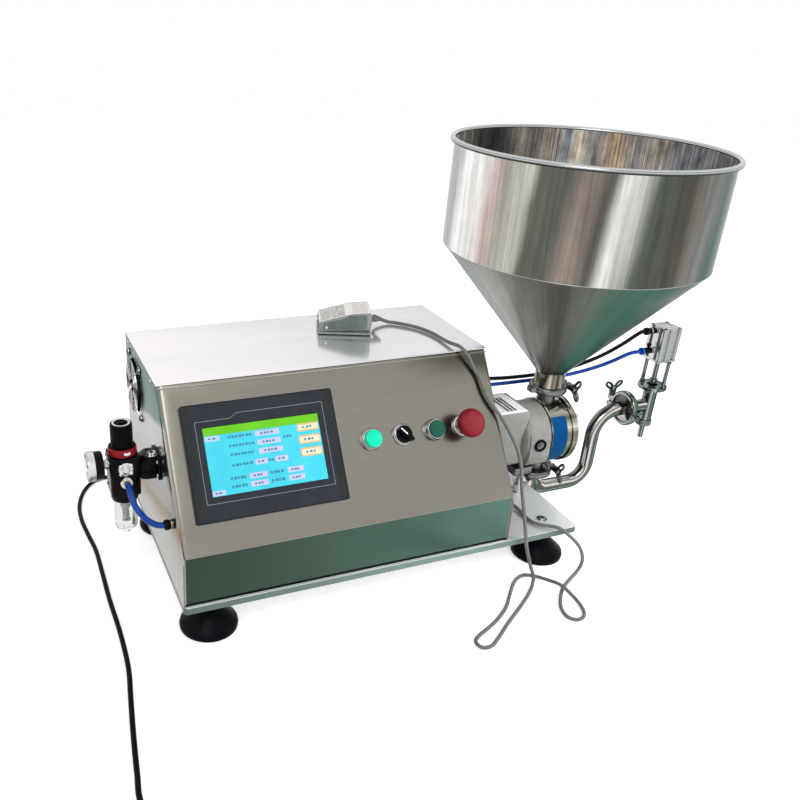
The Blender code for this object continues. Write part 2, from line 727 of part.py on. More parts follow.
def side_prism(name, outline, left, right, bend, tool=False):
    """Side outline of (y, z) points run along X, its two sloped front edges rounded."""
    turn = Matrix(((0, 0, 1), (1, 0, 0), (0, 1, 0))).to_quaternion()
    prism = slab(name, machine, outline, right - left, ((left + right) / 2, 0, PLATE_TOP), turn, tool)
    bm = bmesh.new()
    bm.from_mesh(prism.data)
    slanted = [e for e in bm.edges if is_slope_edge(e)]
    bmesh.ops.bevel(bm, geom=slanted, offset=bend, segments=3, profile=0.5, affect="EDGES")
    bm.to_mesh(prism.data)
    bm.free()
    return prism


def is_slope_edge(edge):
    """An edge of a side outline that runs up the slope; the outline's local axes are y, z and x."""
    run = edge.verts[1].co - edge.verts[0].co
    lean = Vector((math.cos(SLOPE_ANGLE), math.sin(SLOPE_ANGLE), 0))
    return run.length > SKIRT_H and abs(run.normalized().dot(lean)) > 0.999


def housing_wrap():
    top = WRAP_TOP - PLATE_TOP
    outer = [(0, GAP), (CAB_DEPTH, GAP), (CAB_DEPTH, top), (slope_y(top), top), (0, SKIRT_H)]
    wrap = side_prism("housing_wrap", outer, 0, CAB_WIDTH, SHEET_BEND)
    inset_y = SHEET * math.sin(SLOPE_ANGLE)
    low_edge = SKIRT_H - SHEET * math.cos(SLOPE_ANGLE)
    past = top + OVER
    inner = [(-OVER, -OVER), (CAB_DEPTH + OVER, -OVER), (CAB_DEPTH + OVER, past),
             (slope_y(past + SKIRT_H - low_edge) + inset_y, past), (inset_y, low_edge), (-OVER, low_edge)]
    cut(wrap, side_prism("wrap_room", inner, SHEET, CAB_WIDTH - SHEET, SHEET_BEND - SHEET, tool=True))
    cut_panel_openings(wrap)
    cut_side_openings(wrap)
    return finish(wrap, (0.52, 0.50, 0.46), 0.35, 0.9)


def cut_panel_openings(wrap):
    margin = SCREEN_BODY_MARGIN - RELIEF
    cut(wrap, box("screen_hole", panel, (SCREEN_LEFT + margin, SCREEN_BOTTOM + margin, -SHEET - OVER),
                  (SCREEN_LEFT + SCREEN_WIDTH - margin, SCREEN_BOTTOM + SCREEN_HEIGHT - margin, OVER), tool=True))
    for i, u in enumerate((LAMP_U, SELECTOR_U, START_U, ESTOP_U)):
        cut(wrap, rod(f"control_hole_{i}", panel, (u, CONTROL_ROW, -SHEET - OVER), (u, CONTROL_ROW, OVER),
                      BARREL_R + GAP, 16, tool=True))


def cut_side_openings(wrap):
    cut(wrap, rod("fan_hole", machine, (-OVER, FAN_Y, FAN_Z), (SHEET + OVER, FAN_Y, FAN_Z), FAN_BORE_R, 24,
                  tool=True))
    cut(wrap, side_hole("shaft_hole", drive_y(), PUMP_Z, SHAFT_R + SHEET))
    cut(wrap, side_hole("pedal_gland_hole", PEDAL_GLAND_Y, PEDAL_GLAND_Z, GLAND_THREAD_R + GAP))
    cut(wrap, side_hole("black_hose_hole", HOSE_Y, BLACK_HOSE_HOLE_Z, HOSE_R + GAP))
    cut(wrap, side_hole("blue_hose_hole", HOSE_Y, BLUE_HOSE_HOLE_Z, HOSE_R + GAP))


def side_hole(name, y, z, radius):
    start = (CAB_WIDTH - SHEET - OVER, y, z)
    return rod(name, machine, start, (CAB_WIDTH + OVER, y, z), radius, 14, tool=True)


def top_cover():
    cover = box("top_cover", machine, (0, slope_y(CAB_HEIGHT - COVER_T), CAB_TOP - COVER_T),
                (CAB_WIDTH, CAB_DEPTH, CAB_TOP), bevel=COVER_T / 4, segments=1)
    side = SHEET + GAP
    front = SLOPE_RUN + LIP_INSET
    lip_top = CAB_TOP - COVER_T + SINK
    lip = box("cover_lip", machine, (side, front, WRAP_TOP - LIP_H),
              (CAB_WIDTH - side, CAB_DEPTH - side, lip_top), tool=True)
    inside = side + SHEET
    room = box("cover_lip_room", machine, (inside, front + SHEET, WRAP_TOP - LIP_H - OVER),
               (CAB_WIDTH - inside, CAB_DEPTH - inside, CAB_TOP - COVER_T), tool=True)
    cut(join(cover, lip), room)
    return finish(cover, (0.80, 0.80, 0.80), 0.18, 0.95)


def front_skirt():
    side = SHEET + GAP
    top = PLATE_TOP + SKIRT_H - SHEET * math.cos(SLOPE_ANGLE) - GAP
    skirt = box("front_skirt", machine, (side, SKIRT_RECESS, PLATE_TOP + GAP),
                (CAB_WIDTH - side, SKIRT_RECESS + SHEET, top))
    flange = box("skirt_flange", machine, (side, SKIRT_RECESS + SHEET / 2, PLATE_TOP + GAP),
                 (CAB_WIDTH - side, SKIRT_RECESS + SKIRT_FLANGE, PLATE_TOP + GAP + SHEET), tool=True)
    return finish(join(skirt, flange), (0.10, 0.16, 0.14), 0.3, 0.8)


def rear_panel():
    side = SHEET + GAP
    panel_sheet = box("rear_panel", machine, (side, CAB_DEPTH - SHEET, PLATE_TOP + GAP),
                      (CAB_WIDTH - side, CAB_DEPTH, WRAP_TOP))
    hole = rod("mains_gland_hole", machine, (MAINS_GLAND_X, CAB_DEPTH - SHEET - OVER, MAINS_GLAND_Z),
               (MAINS_GLAND_X, CAB_DEPTH + OVER, MAINS_GLAND_Z), GLAND_THREAD_R + GAP, 20, tool=True)
    return finish(cut(panel_sheet, hole), (0.60, 0.60, 0.60), 0.35, 0.9)


# Fan
def fan_x(depth):
    """X of a depth behind the fan frame's outer face."""
    return SHEET + GAP + depth


def fan_frame():
    half = FAN_SIDE / 2
    frame = box("fan_frame", machine, (fan_x(0), FAN_Y - half, FAN_Z - half),
                (fan_x(FAN_DEPTH), FAN_Y + half, FAN_Z + half), bevel=FAN_ARM, edges="X", segments=2)
    cut(frame, rod("fan_bore", machine, (fan_x(-OVER), FAN_Y, FAN_Z), (fan_x(FAN_DEPTH + OVER), FAN_Y, FAN_Z),
                   FAN_BORE_R, 24, tool=True))
    stator = rod("fan_stator", machine, (fan_x(FAN_DEPTH - FAN_STATOR_DEPTH), FAN_Y, FAN_Z),
                 (fan_x(FAN_DEPTH), FAN_Y, FAN_Z), FAN_STATOR_R, 16, tool=True)
    arm_low = fan_x(FAN_DEPTH - FAN_ARM_T)
    reach = FAN_BORE_R + FAN_ARM_T
    across = box("fan_arm_across", machine, (arm_low, FAN_Y - reach, FAN_Z - FAN_ARM / 2),
                 (fan_x(FAN_DEPTH) - SINK, FAN_Y + reach, FAN_Z + FAN_ARM / 2), tool=True)
    down = box("fan_arm_down", machine, (arm_low, FAN_Y - FAN_ARM / 2, FAN_Z - reach),
               (fan_x(FAN_DEPTH) - SINK, FAN_Y + FAN_ARM / 2, FAN_Z + reach), tool=True)
    return finish(join(frame, stator, across, down), (0.03, 0.03, 0.03), 0.5, 0)


def fan_impeller():
    depth = FAN_DEPTH - FAN_STATOR_DEPTH - GAP - RELIEF
    hub = turned("fan_impeller", machine, [(0, depth), (FAN_HUB_R, depth), (FAN_HUB_R, 0), (0, 0)],
                 (fan_x(RELIEF), FAN_Y, FAN_Z), RIGHT, 14)
    middle = fan_x(RELIEF + depth / 2)
    for i in range(FAN_BLADES):
        angle = 2 * math.pi * i / FAN_BLADES
        blade = blade_mesh(depth)
        blade.transform(Matrix.Rotation(angle, 4, "X"))
        join(hub, place(f"fan_blade_{i}", blade, machine, (middle, FAN_Y, FAN_Z), tool=True))
    return finish(hub, (0.03, 0.03, 0.03), 0.45, 0)


def blade_mesh(depth):
    """Pitched flat blade that stands out along +Z from inside the hub."""
    bm = bmesh.new()
    bmesh.ops.create_cube(bm, size=1)
    inner = FAN_HUB_R - FAN_ARM_T
    chord = (depth - RELIEF) / math.cos(FAN_BLADE_PITCH) * 0.9
    bmesh.ops.scale(bm, vec=(chord, FAN_BLADE_T, FAN_BLADE_R - inner), verts=bm.verts)
    bmesh.ops.rotate(bm, verts=bm.verts, cent=(0, 0, 0), matrix=Matrix.Rotation(FAN_BLADE_PITCH, 3, "Z"))
    bmesh.ops.translate(bm, verts=bm.verts, vec=(0, 0, (FAN_BLADE_R + inner) / 2))
    return mesh_from("fan_blade", bm)


def fan_guard():
    """Round wires on four spokes that end in screw eyes against the cabinet's side."""
    x = -GUARD_STAND
    rings = []
    for i, share in enumerate(GUARD_RING_SHARES):
        rings.append(guard_ring(f"guard_ring_{i}", x, FAN_BORE_R * share))
    guard = rings[-1]
    guard.name = "fan_guard"
    parts.objects.link(guard)
    tools.objects.unlink(guard)
    guard.hide_render = False
    guard.display_type = "TEXTURED"
    join(guard, *rings[:-1])
    half = FAN_SCREW_SPACING / 2
    for i, (sy, sz) in enumerate(((1, 1), (1, -1), (-1, -1), (-1, 1))):
        eye = Vector((-GAP - GUARD_WIRE_R, FAN_Y + sy * half, FAN_Z + sz * half))
        hub = Vector((x, FAN_Y + sy * GUARD_WIRE_R, FAN_Z + sz * GUARD_WIRE_R))
        knee = Vector((x, FAN_Y + sy * half * 0.78, FAN_Z + sz * half * 0.78))
        join(guard,
             rod(f"guard_spoke_{i}", machine, hub, knee, GUARD_WIRE_R * 1.1, 4, tool=True),
             rod(f"guard_leg_{i}", machine, knee, eye, GUARD_WIRE_R * 1.1, 4, tool=True),
             rod(f"guard_eye_{i}", machine, eye - RIGHT * GUARD_WIRE_R, eye + RIGHT * GUARD_WIRE_R, GUARD_EYE_R, 8,
                 tool=True))
    join(guard, rod("guard_hub", machine, (x - GUARD_WIRE_R, FAN_Y, FAN_Z), (x + GUARD_WIRE_R, FAN_Y, FAN_Z),
                    GUARD_EYE_R, 10, tool=True))
    return finish(guard, (0.75, 0.76, 0.78), 0.12, 1)


def guard_ring(name, x, radius):
    """Wire ring about X as a turned square section."""
    low = radius - GUARD_WIRE_R
    profile = [(radius, GUARD_WIRE_R), (radius + GUARD_WIRE_R, 0), (radius, -GUARD_WIRE_R), (low, 0)]
    return turned(name, machine, profile, (x, FAN_Y, FAN_Z), RIGHT, 14, closed=True, tool=True)


# Touch screen
def screen_housing():
    left = SCREEN_LEFT
    bottom = SCREEN_BOTTOM
    bezel = box("screen_housing", panel, (left, bottom, GAP), (left + SCREEN_WIDTH, bottom + SCREEN_HEIGHT,
                                                               GAP + SCREEN_T), bevel=SCREEN_CORNER, edges="Z")
    margin = SCREEN_BODY_MARGIN
    body = box("screen_body", panel, (left + margin, bottom + margin, -SCREEN_BODY_DEPTH),
               (left + SCREEN_WIDTH - margin, bottom + SCREEN_HEIGHT - margin, GAP + SINK), tool=True)
    low, high = glass_corners(GAP)
    recess = box("screen_recess", panel, (*low, GAP + SCREEN_T - GLASS_RECESS), (*high, SCREEN_T + OVER), tool=True)
    return finish(cut(join(bezel, body), recess), (0.05, 0.06, 0.08), 0.4, 0)


def glass_corners(margin):
    left = SCREEN_LEFT + (SCREEN_WIDTH - GLASS_WIDTH) / 2
    bottom = SCREEN_BOTTOM + (SCREEN_HEIGHT - GLASS_HEIGHT) / 2
    return (left - margin, bottom - margin), (left + GLASS_WIDTH + margin, bottom + GLASS_HEIGHT + margin)


def screen_glass():
    low, high = glass_corners(0)
    floor = SCREEN_T - GLASS_RECESS + 2 * GAP
    glass = box("screen_glass", panel, (*low, floor), (*high, floor + GLASS_T))
    return finish(glass, (0.05, 0.55, 0.60), 0.15, 0)


# Operator controls
def control_bezel(name, u, height, bore_r, bore_floor, tube_r, tube_floor, colour):
    """Bezel and threaded barrel with a stepped bore for the cap that moves in it."""
    profile = [
        (bore_r, height), (BEZEL_R, height), (BEZEL_R, GAP),
        (BARREL_R, GAP), (BARREL_R, -BARREL_DEPTH), (0, -BARREL_DEPTH), (0, tube_floor), (tube_r, tube_floor),
        (tube_r, bore_floor), (bore_r, bore_floor),
    ]
    bezel = turned(name, panel, profile, (u, CONTROL_ROW, 0), segments=14, closed=True)
    return finish(bezel, colour, 0.15, 1)


def push_cap(name, u, height, colour):
    """Domed cap on a stem, out at rest."""
    low = height - CAP_H + CAP_TRAVEL + RELIEF
    profile = [(0, height + CAP_DOME), (CAP_R * 0.6, height + CAP_DOME * 0.6), (CAP_R, height), (CAP_R, low),
               (CAP_STEM_R, low), (CAP_STEM_R, -CAP_STEM_DEPTH), (0, -CAP_STEM_DEPTH)]
    cap = turned(name, panel, profile, (u, CONTROL_ROW, 0), segments=16)
    return finish(cap, colour, 0.2, 0)


def button_pair(label, u, bezel_h, cap_h, cap_colour):
    cap_low = cap_h - CAP_H + CAP_TRAVEL + RELIEF
    stem_floor = -CAP_STEM_DEPTH - CAP_TRAVEL - RELIEF
    control_bezel(f"{label}_bezel", u, bezel_h, CAP_R + GAP, cap_low - CAP_TRAVEL - RELIEF,
                  CAP_STEM_R + GAP, stem_floor, (0.8, 0.8, 0.8))
    push_cap(f"{label}_cap", u, cap_h, cap_colour)


def selector():
    control_bezel("selector_bezel", SELECTOR_U, BEZEL_H, CAP_STEM_R + GAP, BEZEL_H / 2, CAP_STEM_R + GAP,
                  -CAP_STEM_DEPTH - RELIEF, (0.8, 0.8, 0.8))
    low = BEZEL_H + GAP
    top = low + KNOB_BASE_H
    profile = [(0, top), (KNOB_R - BEZEL_CHAMFER, top), (KNOB_R, top - BEZEL_CHAMFER), (KNOB_R, low),
               (CAP_STEM_R, low), (CAP_STEM_R, -CAP_STEM_DEPTH), (0, -CAP_STEM_DEPTH)]
    knob = turned("selector_knob", panel, profile, (SELECTOR_U, CONTROL_ROW, 0), segments=18)
    knob.rotation_quaternion = Quaternion(UP, KNOB_REST)
    grip = box("selector_grip", knob, (-GRIP_LENGTH / 2, -GRIP_WIDTH / 2, top - SINK),
               (GRIP_LENGTH / 2, GRIP_WIDTH / 2, low + GRIP_H), tool=True, bevel=BEZEL_CHAMFER, segments=1)
    return finish(join(knob, grip), (0.02, 0.02, 0.02), 0.4, 0)


def emergency_stop():
    control_bezel("estop_collar", ESTOP_U, ESTOP_COLLAR_H, ESTOP_STEM_R + GAP, ESTOP_COLLAR_H / 2,
                  ESTOP_STEM_R + GAP, -CAP_STEM_DEPTH - ESTOP_TRAVEL - RELIEF, (0.8, 0.8, 0.8))
    low = ESTOP_COLLAR_H + ESTOP_TRAVEL + RELIEF
    high = low + ESTOP_HEAD_T
    rim = [(ESTOP_R - ESTOP_ROUND + r, z) for r, z in arc((0, high - ESTOP_ROUND), ESTOP_ROUND, 80, 0, 2)]
    profile = [(0, high + CAP_DOME), (ESTOP_R / 2, high + CAP_DOME / 2)] + rim + [
        (ESTOP_R, low + BEZEL_CHAMFER), (ESTOP_R - BEZEL_CHAMFER, low), (ESTOP_STEM_R, low),
        (ESTOP_STEM_R, -CAP_STEM_DEPTH), (0, -CAP_STEM_DEPTH)]
    head = turned("estop_head", panel, profile, (ESTOP_U, CONTROL_ROW, 0), segments=18)
    return finish(head, (0.55, 0.02, 0.04), 0.35, 0)


# Drive inside the cabinet
def drive_y():
    return PUMP_Y + ROTOR_SPACING / 2


def idler_y():
    return PUMP_Y - ROTOR_SPACING / 2


def gearmotor():
    y = drive_y()
    end = COUPLING_X - MOTOR_GAP_TO_COUPLING
    start = end - GEARHEAD_LENGTH
    half = MOTOR_SIDE / 2
    motor = box("gearmotor", machine, (start, y - half, PUMP_Z - half), (end, y + half, PUMP_Z + half),
                bevel=MOTOR_GAP_TO_COUPLING, edges="X", segments=1)
    foot_y = MOTOR_FOOT_WIDTH / 2
    join(motor,
         rod("motor_body", machine, (start - MOTOR_LENGTH, y, PUMP_Z), (start + SINK, y, PUMP_Z), MOTOR_BODY_R, 20,
             tool=True),
         rod("motor_shaft", machine, (end - SINK, y, PUMP_Z), (COUPLING_X + SHAFT_ENTRY, y, PUMP_Z), SHAFT_R, 16,
             tool=True),
         box("motor_foot", machine, (start + SINK, y - foot_y, PLATE_TOP + GAP),
             (end - SINK, y + foot_y, PUMP_Z - half + SINK), tool=True))
    return finish(motor, (0.05, 0.05, 0.05), 0.4, 0.3)


def shaft_coupling():
    bore = SHAFT_R + GAP
    profile = [(bore, COUPLING_LENGTH), (COUPLING_R, COUPLING_LENGTH), (COUPLING_R, 0), (bore, 0)]
    coupling = turned("shaft_coupling", machine, profile, (COUPLING_X, drive_y(), PUMP_Z), RIGHT, 20, closed=True)
    return finish(coupling, (0.7, 0.7, 0.72), 0.3, 1)


# Pump
def pump_gearbox():
    block = box("pump_gearbox", machine, (CAB_WIDTH + GAP, PUMP_Y - BLOCK_HALF_WIDTH, PUMP_Z - BLOCK_BOTTOM),
                (FLANGE_X + SINK, PUMP_Y + BLOCK_HALF_WIDTH, PUMP_Z + BLOCK_TOP), bevel=BLOCK_BEVEL, edges="X")
    flange = rod("gearbox_flange", machine, (FLANGE_X, PUMP_Y, PUMP_Z), (CASE_X - GAP, PUMP_Y, PUMP_Z), FLANGE_R, 30,
                 tool=True)
    join(block, flange)
    front = Vector((SIGHT_X, PUMP_Y - FLANGE_R, PUMP_Z))
    cut(block,
        rod("drive_bore", machine, (CAB_WIDTH - OVER, drive_y(), PUMP_Z), (CASE_X + OVER, drive_y(), PUMP_Z),
            SHAFT_R + GAP, 16, tool=True),
        rod("idler_bore", machine, (CASE_X - IDLER_DEPTH, idler_y(), PUMP_Z), (CASE_X + OVER, idler_y(), PUMP_Z),
            SHAFT_R + GAP, 16, tool=True),
        rod("sight_seat", machine, front + BACK * SIGHT_STAND, front - BACK * OVER, SIGHT_R + GAP, 16, tool=True))
    return finish(block, (0.45, 0.45, 0.42), 0.5, 0.3)


def sight_glass():
    """Round oil level glass in a black ring, let into the flange's front."""
    ring = SIGHT_R
    outer = SIGHT_STAND * 2
    profile = [(0, outer * 0.6), (SIGHT_LENS_R, outer * 0.6), (SIGHT_LENS_R, outer), (ring - SINK, outer),
               (ring, outer - SINK), (ring, GAP), (0, GAP)]
    front = (SIGHT_X, PUMP_Y - FLANGE_R + SIGHT_STAND, PUMP_Z)
    return finish(turned("sight_glass", machine, profile, front, -BACK, 16), (0.02, 0.02, 0.02), 0.3, 0)


def under_flange(y):
    """Height just under the gearbox's round flange at a distance from the pump's middle."""
    return PUMP_Z - math.sqrt(FLANGE_R ** 2 - y ** 2) - 2 * GAP


def pump_support():
    """Bar on the plate with two studs and nuts under the gearbox's flange."""
    bar_top = PLATE_TOP + GAP + SUPPORT_BAR_H
    bar = box("pump_support", machine, (SUPPORT_LEFT, PUMP_Y - SUPPORT_HALF_SPAN, PLATE_TOP + GAP),
              (SUPPORT_RIGHT, PUMP_Y + SUPPORT_HALF_SPAN, bar_top), bevel=SINK, segments=1)
    x = SUPPORT_STUD_X
    out = SUPPORT_HALF_SPAN - SUPPORT_STUD_INSET
    top = under_flange(out - SUPPORT_STUD_R)
    nut_top = under_flange(out - SUPPORT_NUT_R)
    for i, side in enumerate((-1, 1)):
        y = PUMP_Y + side * out
        join(bar,
             rod(f"support_stud_{i}", machine, (x, y, bar_top - SINK), (x, y, top), SUPPORT_STUD_R, 12, tool=True),
             rod(f"support_nut_{i}", machine, (x, y, nut_top - SUPPORT_NUT_H), (x, y, nut_top), SUPPORT_NUT_R, 6,
                 tool=True))
    return finish(bar, (0.6, 0.6, 0.6), 0.35, 0.9)


def rotor_case():
    end = CASE_X + CASE_DEPTH
    case = rod("rotor_case", machine, (CASE_X, PUMP_Y, PUMP_Z), (end, PUMP_Y, PUMP_Z), CASE_R, 32)
    for label, side in (("top", 1), ("bottom", -1)):
        joint = PUMP_Z + side * PORT_RISE
        inside = PUMP_Z + side * (CASE_R - OVER)
        face = joint - side * GAP
        join(case,
             rod(f"port_stub_{label}", machine, (PORT_X, PUMP_Y, inside), (PORT_X, PUMP_Y, face), STUB_R, 16,
                 tool=True),
             rod(f"port_ferrule_{label}", machine, (PORT_X, PUMP_Y, joint - side * FERRULE_T), (PORT_X, PUMP_Y, face),
                 FERRULE_R, 20, tool=True))
    chamber_r = rotor_tip() + ROTOR_CLEAR
    for label, y in (("drive", drive_y()), ("idler", idler_y())):
        cut(case,
            rod(f"chamber_{label}", machine, (CASE_X + CASE_WALL, y, PUMP_Z), (end + OVER, y, PUMP_Z), chamber_r, 22,
                tool=True),
            rod(f"case_bore_{label}", machine, (CASE_X - OVER, y, PUMP_Z), (CASE_X + CASE_WALL + OVER, y, PUMP_Z),
                SHAFT_R + GAP, 16, tool=True))
    low = PUMP_Z - PORT_RISE - OVER
    high = PUMP_Z + PORT_RISE + OVER
    cut(case, rod("port_bore", machine, (PORT_X, PUMP_Y, low), (PORT_X, PUMP_Y, high), PORT_R, 16, tool=True))
    return finish(case, (0.7, 0.7, 0.7), 0.2, 1)


def rotor_tip():
    """Tip radius of cycloid lobes on pitch circles that touch."""
    return ROTOR_SPACING / 2 * (1 + 1 / ROTOR_LOBES)


def lobe_outline():
    """Epicycloid tips and hypocycloid roots about one pitch circle, drawn in by half the clearance."""
    pitch = ROTOR_SPACING / 2
    roller = pitch / (2 * ROTOR_LOBES)
    half_arch = math.pi / (2 * ROTOR_LOBES)
    outline = []
    for arch in range(2 * ROTOR_LOBES):
        side = 1 if arch % 2 == 0 else -1
        base = pitch + side * roller
        start = half_arch * (2 * arch - 1)
        for step in range(ROTOR_STEPS):
            rolled = 2 * half_arch * step / ROTOR_STEPS
            spin = start + side * base / roller * rolled
            x = base * math.cos(start + rolled) - side * roller * math.cos(spin)
            y = base * math.sin(start + rolled) - side * roller * math.sin(spin)
            shrink = 1 - ROTOR_CLEAR / 2 / math.hypot(x, y)
            outline.append((x * shrink, y * shrink))
    return outline


def rotor(name, y, shaft_start):
    """Three-lobed rotor and its shaft; at rest a root of the drive rotor faces a tip of the idler."""
    low = CASE_X + CASE_WALL + ROTOR_END_CLEAR
    high = CASE_X + CASE_DEPTH - ROTOR_END_CLEAR
    lobes = slab(name, machine, lobe_outline(), high - low, ((low + high) / 2, y, PUMP_Z), turn_to(RIGHT))
    shaft = rod(f"{name}_shaft", machine, (shaft_start, y, PUMP_Z), (high - SINK, y, PUMP_Z), SHAFT_R, 16, tool=True)
    return finish(join(lobes, shaft), (0.75, 0.75, 0.76), 0.2, 1)


def rotors():
    rotor("drive_rotor", drive_y(), COUPLING_X + COUPLING_LENGTH - SHAFT_ENTRY)
    rotor("idler_rotor", idler_y(), CASE_X - IDLER_DEPTH + GAP)


def pump_cover():
    rim = [(COVER_R - COVER_ROUND + r, z) for r, z in arc((0, COVER_DEPTH - COVER_ROUND), COVER_ROUND, 90, 0, 2)]
    profile = [(0, COVER_DEPTH)] + rim + [(COVER_R, 0), (0, 0)]
    x = CASE_X + CASE_DEPTH + GAP
    cover = turned("pump_cover", machine, profile, (x, PUMP_Y, PUMP_Z), RIGHT, 32)
    circle = COVER_R * COVER_NUT_CIRCLE_SHARE
    for i in range(COVER_NUTS):
        angle = 2 * math.pi * i / COVER_NUTS
        y = PUMP_Y + circle * math.sin(angle)
        z = PUMP_Z + circle * math.cos(angle)
        join(cover, rod(f"cover_nut_{i}", machine, (x + COVER_DEPTH - SINK, y, z),
                        (x + COVER_DEPTH + COVER_NUT_H, y, z), COVER_NUT_R, 6, COVER_NUT_R / 2, tool=True))
    return finish(cover, (0.75, 0.75, 0.75), 0.15, 1)


# Hopper and clamps
def hopper():
    """Turned sheet hopper with a rolled rim, a cone, a neck and a ferrule."""
    rim_z = HOPPER_RIM_Z - PUMP_Z
    bend_z = HOPPER_BEND_Z - PUMP_Z
    cone_z = HOPPER_CONE_Z - PUMP_Z
    joint = PORT_RISE + GAP
    bead_centre = (HOPPER_R + HOPPER_BEAD_R - HOPPER_WALL / 2, rim_z)
    bead = arc(bead_centre, HOPPER_BEAD_R, 150, -120, 4)
    inner_r = HOPPER_R - HOPPER_WALL
    bore_r = NECK_R - HOPPER_WALL
    lip = PORT_RISE + FERRULE_T
    outer = [(HOPPER_R, bend_z), (NECK_R, cone_z), (NECK_R, lip), (FERRULE_R, lip), (FERRULE_R, joint)]
    inner = [(bore_r, joint), (bore_r, cone_z), (inner_r, bend_z)]
    shell = turned("hopper", machine, bead + outer + inner, (PORT_X, PUMP_Y, PUMP_Z), segments=HOPPER_SEGMENTS,
                   closed=True)
    return finish(shell, (0.62, 0.61, 0.58), 0.22, 1)


def clamp_ring(name, frame):
    """Two-part clamp about the frame's Z: lips round both ferrules, hinge at -X, bolt lugs at +X."""
    half = CLAMP_T / 2
    seat = FERRULE_T + GAP
    profile = [(CLAMP_R, half), (CLAMP_R, -half), (CLAMP_LIP_R, -half), (CLAMP_LIP_R, -seat), (CLAMP_GROOVE_R, -seat),
               (CLAMP_GROOVE_R, seat), (CLAMP_LIP_R, seat), (CLAMP_LIP_R, half)]
    ring = turned(name, frame, profile, (0, 0, 0), segments=20, closed=True)
    lug_low = CLAMP_R - CLAMP_LUG_SINK
    lug_high = BOLT_OFFSET + CLAMP_LUG / 2
    for i, side in enumerate((-1, 1)):
        near = side * CLAMP_SPLIT / 2
        far = side * (CLAMP_SPLIT / 2 + CLAMP_LUG_T)
        join(ring, box(f"{name}_lug_{i}", frame, (lug_low, min(near, far), -half + SINK),
                       (lug_high, max(near, far), half - SINK), tool=True))
    split = box(f"{name}_split", frame, (CLAMP_LIP_R - OVER, -CLAMP_SPLIT / 2, -half - OVER),
                (CLAMP_R + OVER, CLAMP_SPLIT / 2, half + OVER), tool=True)
    join(cut(ring, split),
         rod(f"{name}_hinge", frame, (-CLAMP_R - CLAMP_PIN_R / 2, 0, -half), (-CLAMP_R - CLAMP_PIN_R / 2, 0, half),
             CLAMP_PIN_R, 10, tool=True),
         rod(f"{name}_bolt", frame, (BOLT_OFFSET, CLAMP_LUG_T + CLAMP_SPLIT * 2, 0), (BOLT_OFFSET, -BOLT_LENGTH, 0), BOLT_R, 10,
             tool=True))
    return ring


def wing_nut(name, frame, bore=BOLT_R + GAP, tool=False):
    """Hub with two wings on the clamp's bolt, its origin on the bolt's axis."""
    seat = CLAMP_SPLIT / 2 + CLAMP_LUG_T + GAP
    profile = [(bore, WING_HUB_H), (WING_HUB_R * 0.8, WING_HUB_H), (WING_HUB_R, 0), (bore, 0)]
    hub = turned(name, frame, profile, (BOLT_OFFSET, -seat, 0), (0, -1, 0), 10, closed=True, tool=tool)
    root = WING_HUB_R * WING_ROOT_SHARE
    for i, side in enumerate((-1, 1)):
        outline = [(side * max(root, WING_SPAN * out), WING_HUB_H * along) for along, out in WING_OUTLINE_SHARES]
        turn = Quaternion(UP, WING_REST) @ STAND_UP
        join(hub, slab(f"{name}_wing_{i}", hub, outline, WING_T, (0, 0, 0), turn, tool=True))
    return hub


def clamps():
    top = make_empty("hopper_clamp_frame", (PORT_X, PUMP_Y, PUMP_Z + PORT_RISE), parent=machine)
    low = make_empty("outlet_clamp_frame", (PORT_X, PUMP_Y, PUMP_Z - PORT_RISE), parent=machine)
    side = make_empty("valve_clamp_frame", (PIPE_END_X, PUMP_Y, PIPE_TOP_Z), parent=machine)
    side.rotation_mode = "QUATERNION"
    side.rotation_quaternion = Matrix(((0, 0, 1), (1, 0, 0), (0, 1, 0))).to_quaternion() @ Quaternion(RIGHT, math.pi)
    steel = (0.6, 0.6, 0.6)
    finish(clamp_ring("hopper_clamp", top), steel, 0.2, 1)
    finish(wing_nut("hopper_wing_nut", top), steel, 0.2, 1)
    outlet = clamp_ring("outlet_clamp", low)
    finish(join(outlet, wing_nut("outlet_wing_nut", low, BOLT_R - SINK, tool=True)), steel, 0.2, 1)
    finish(clamp_ring("valve_clamp", side), steel, 0.2, 1)
    finish(wing_nut("valve_wing_nut", side), steel, 0.2, 1)


# Outlet pipe
def pipe_path(extra):
    """Centre line: down from the pump, right, up, and right again to the valve, with bends."""
    y = PUMP_Y
    start = PUMP_Z - PORT_RISE - GAP
    low = PIPE_RUN_Z
    points = [Vector((PORT_X, y, start - SINK + extra))]
    points += bend(PORT_X + PIPE_BEND_FIRST, low + PIPE_BEND_FIRST, PIPE_BEND_FIRST, 180, 270)
    points += bend(PIPE_RISER_X - PIPE_BEND_LOW, low + PIPE_BEND_LOW, PIPE_BEND_LOW, 270, 360)
    points += bend(PIPE_RISER_X + PIPE_BEND_TOP, PIPE_TOP_Z - PIPE_BEND_TOP, PIPE_BEND_TOP, 180, 90)
    points.append(Vector((PIPE_END_X - GAP - SINK + extra, y, PIPE_TOP_Z)))
    return points


def bend(x, z, radius, start, end):
    return [Vector((px, PUMP_Y, pz)) for px, pz in arc((x, z), radius, start, end, PIPE_BEND_STEPS)]


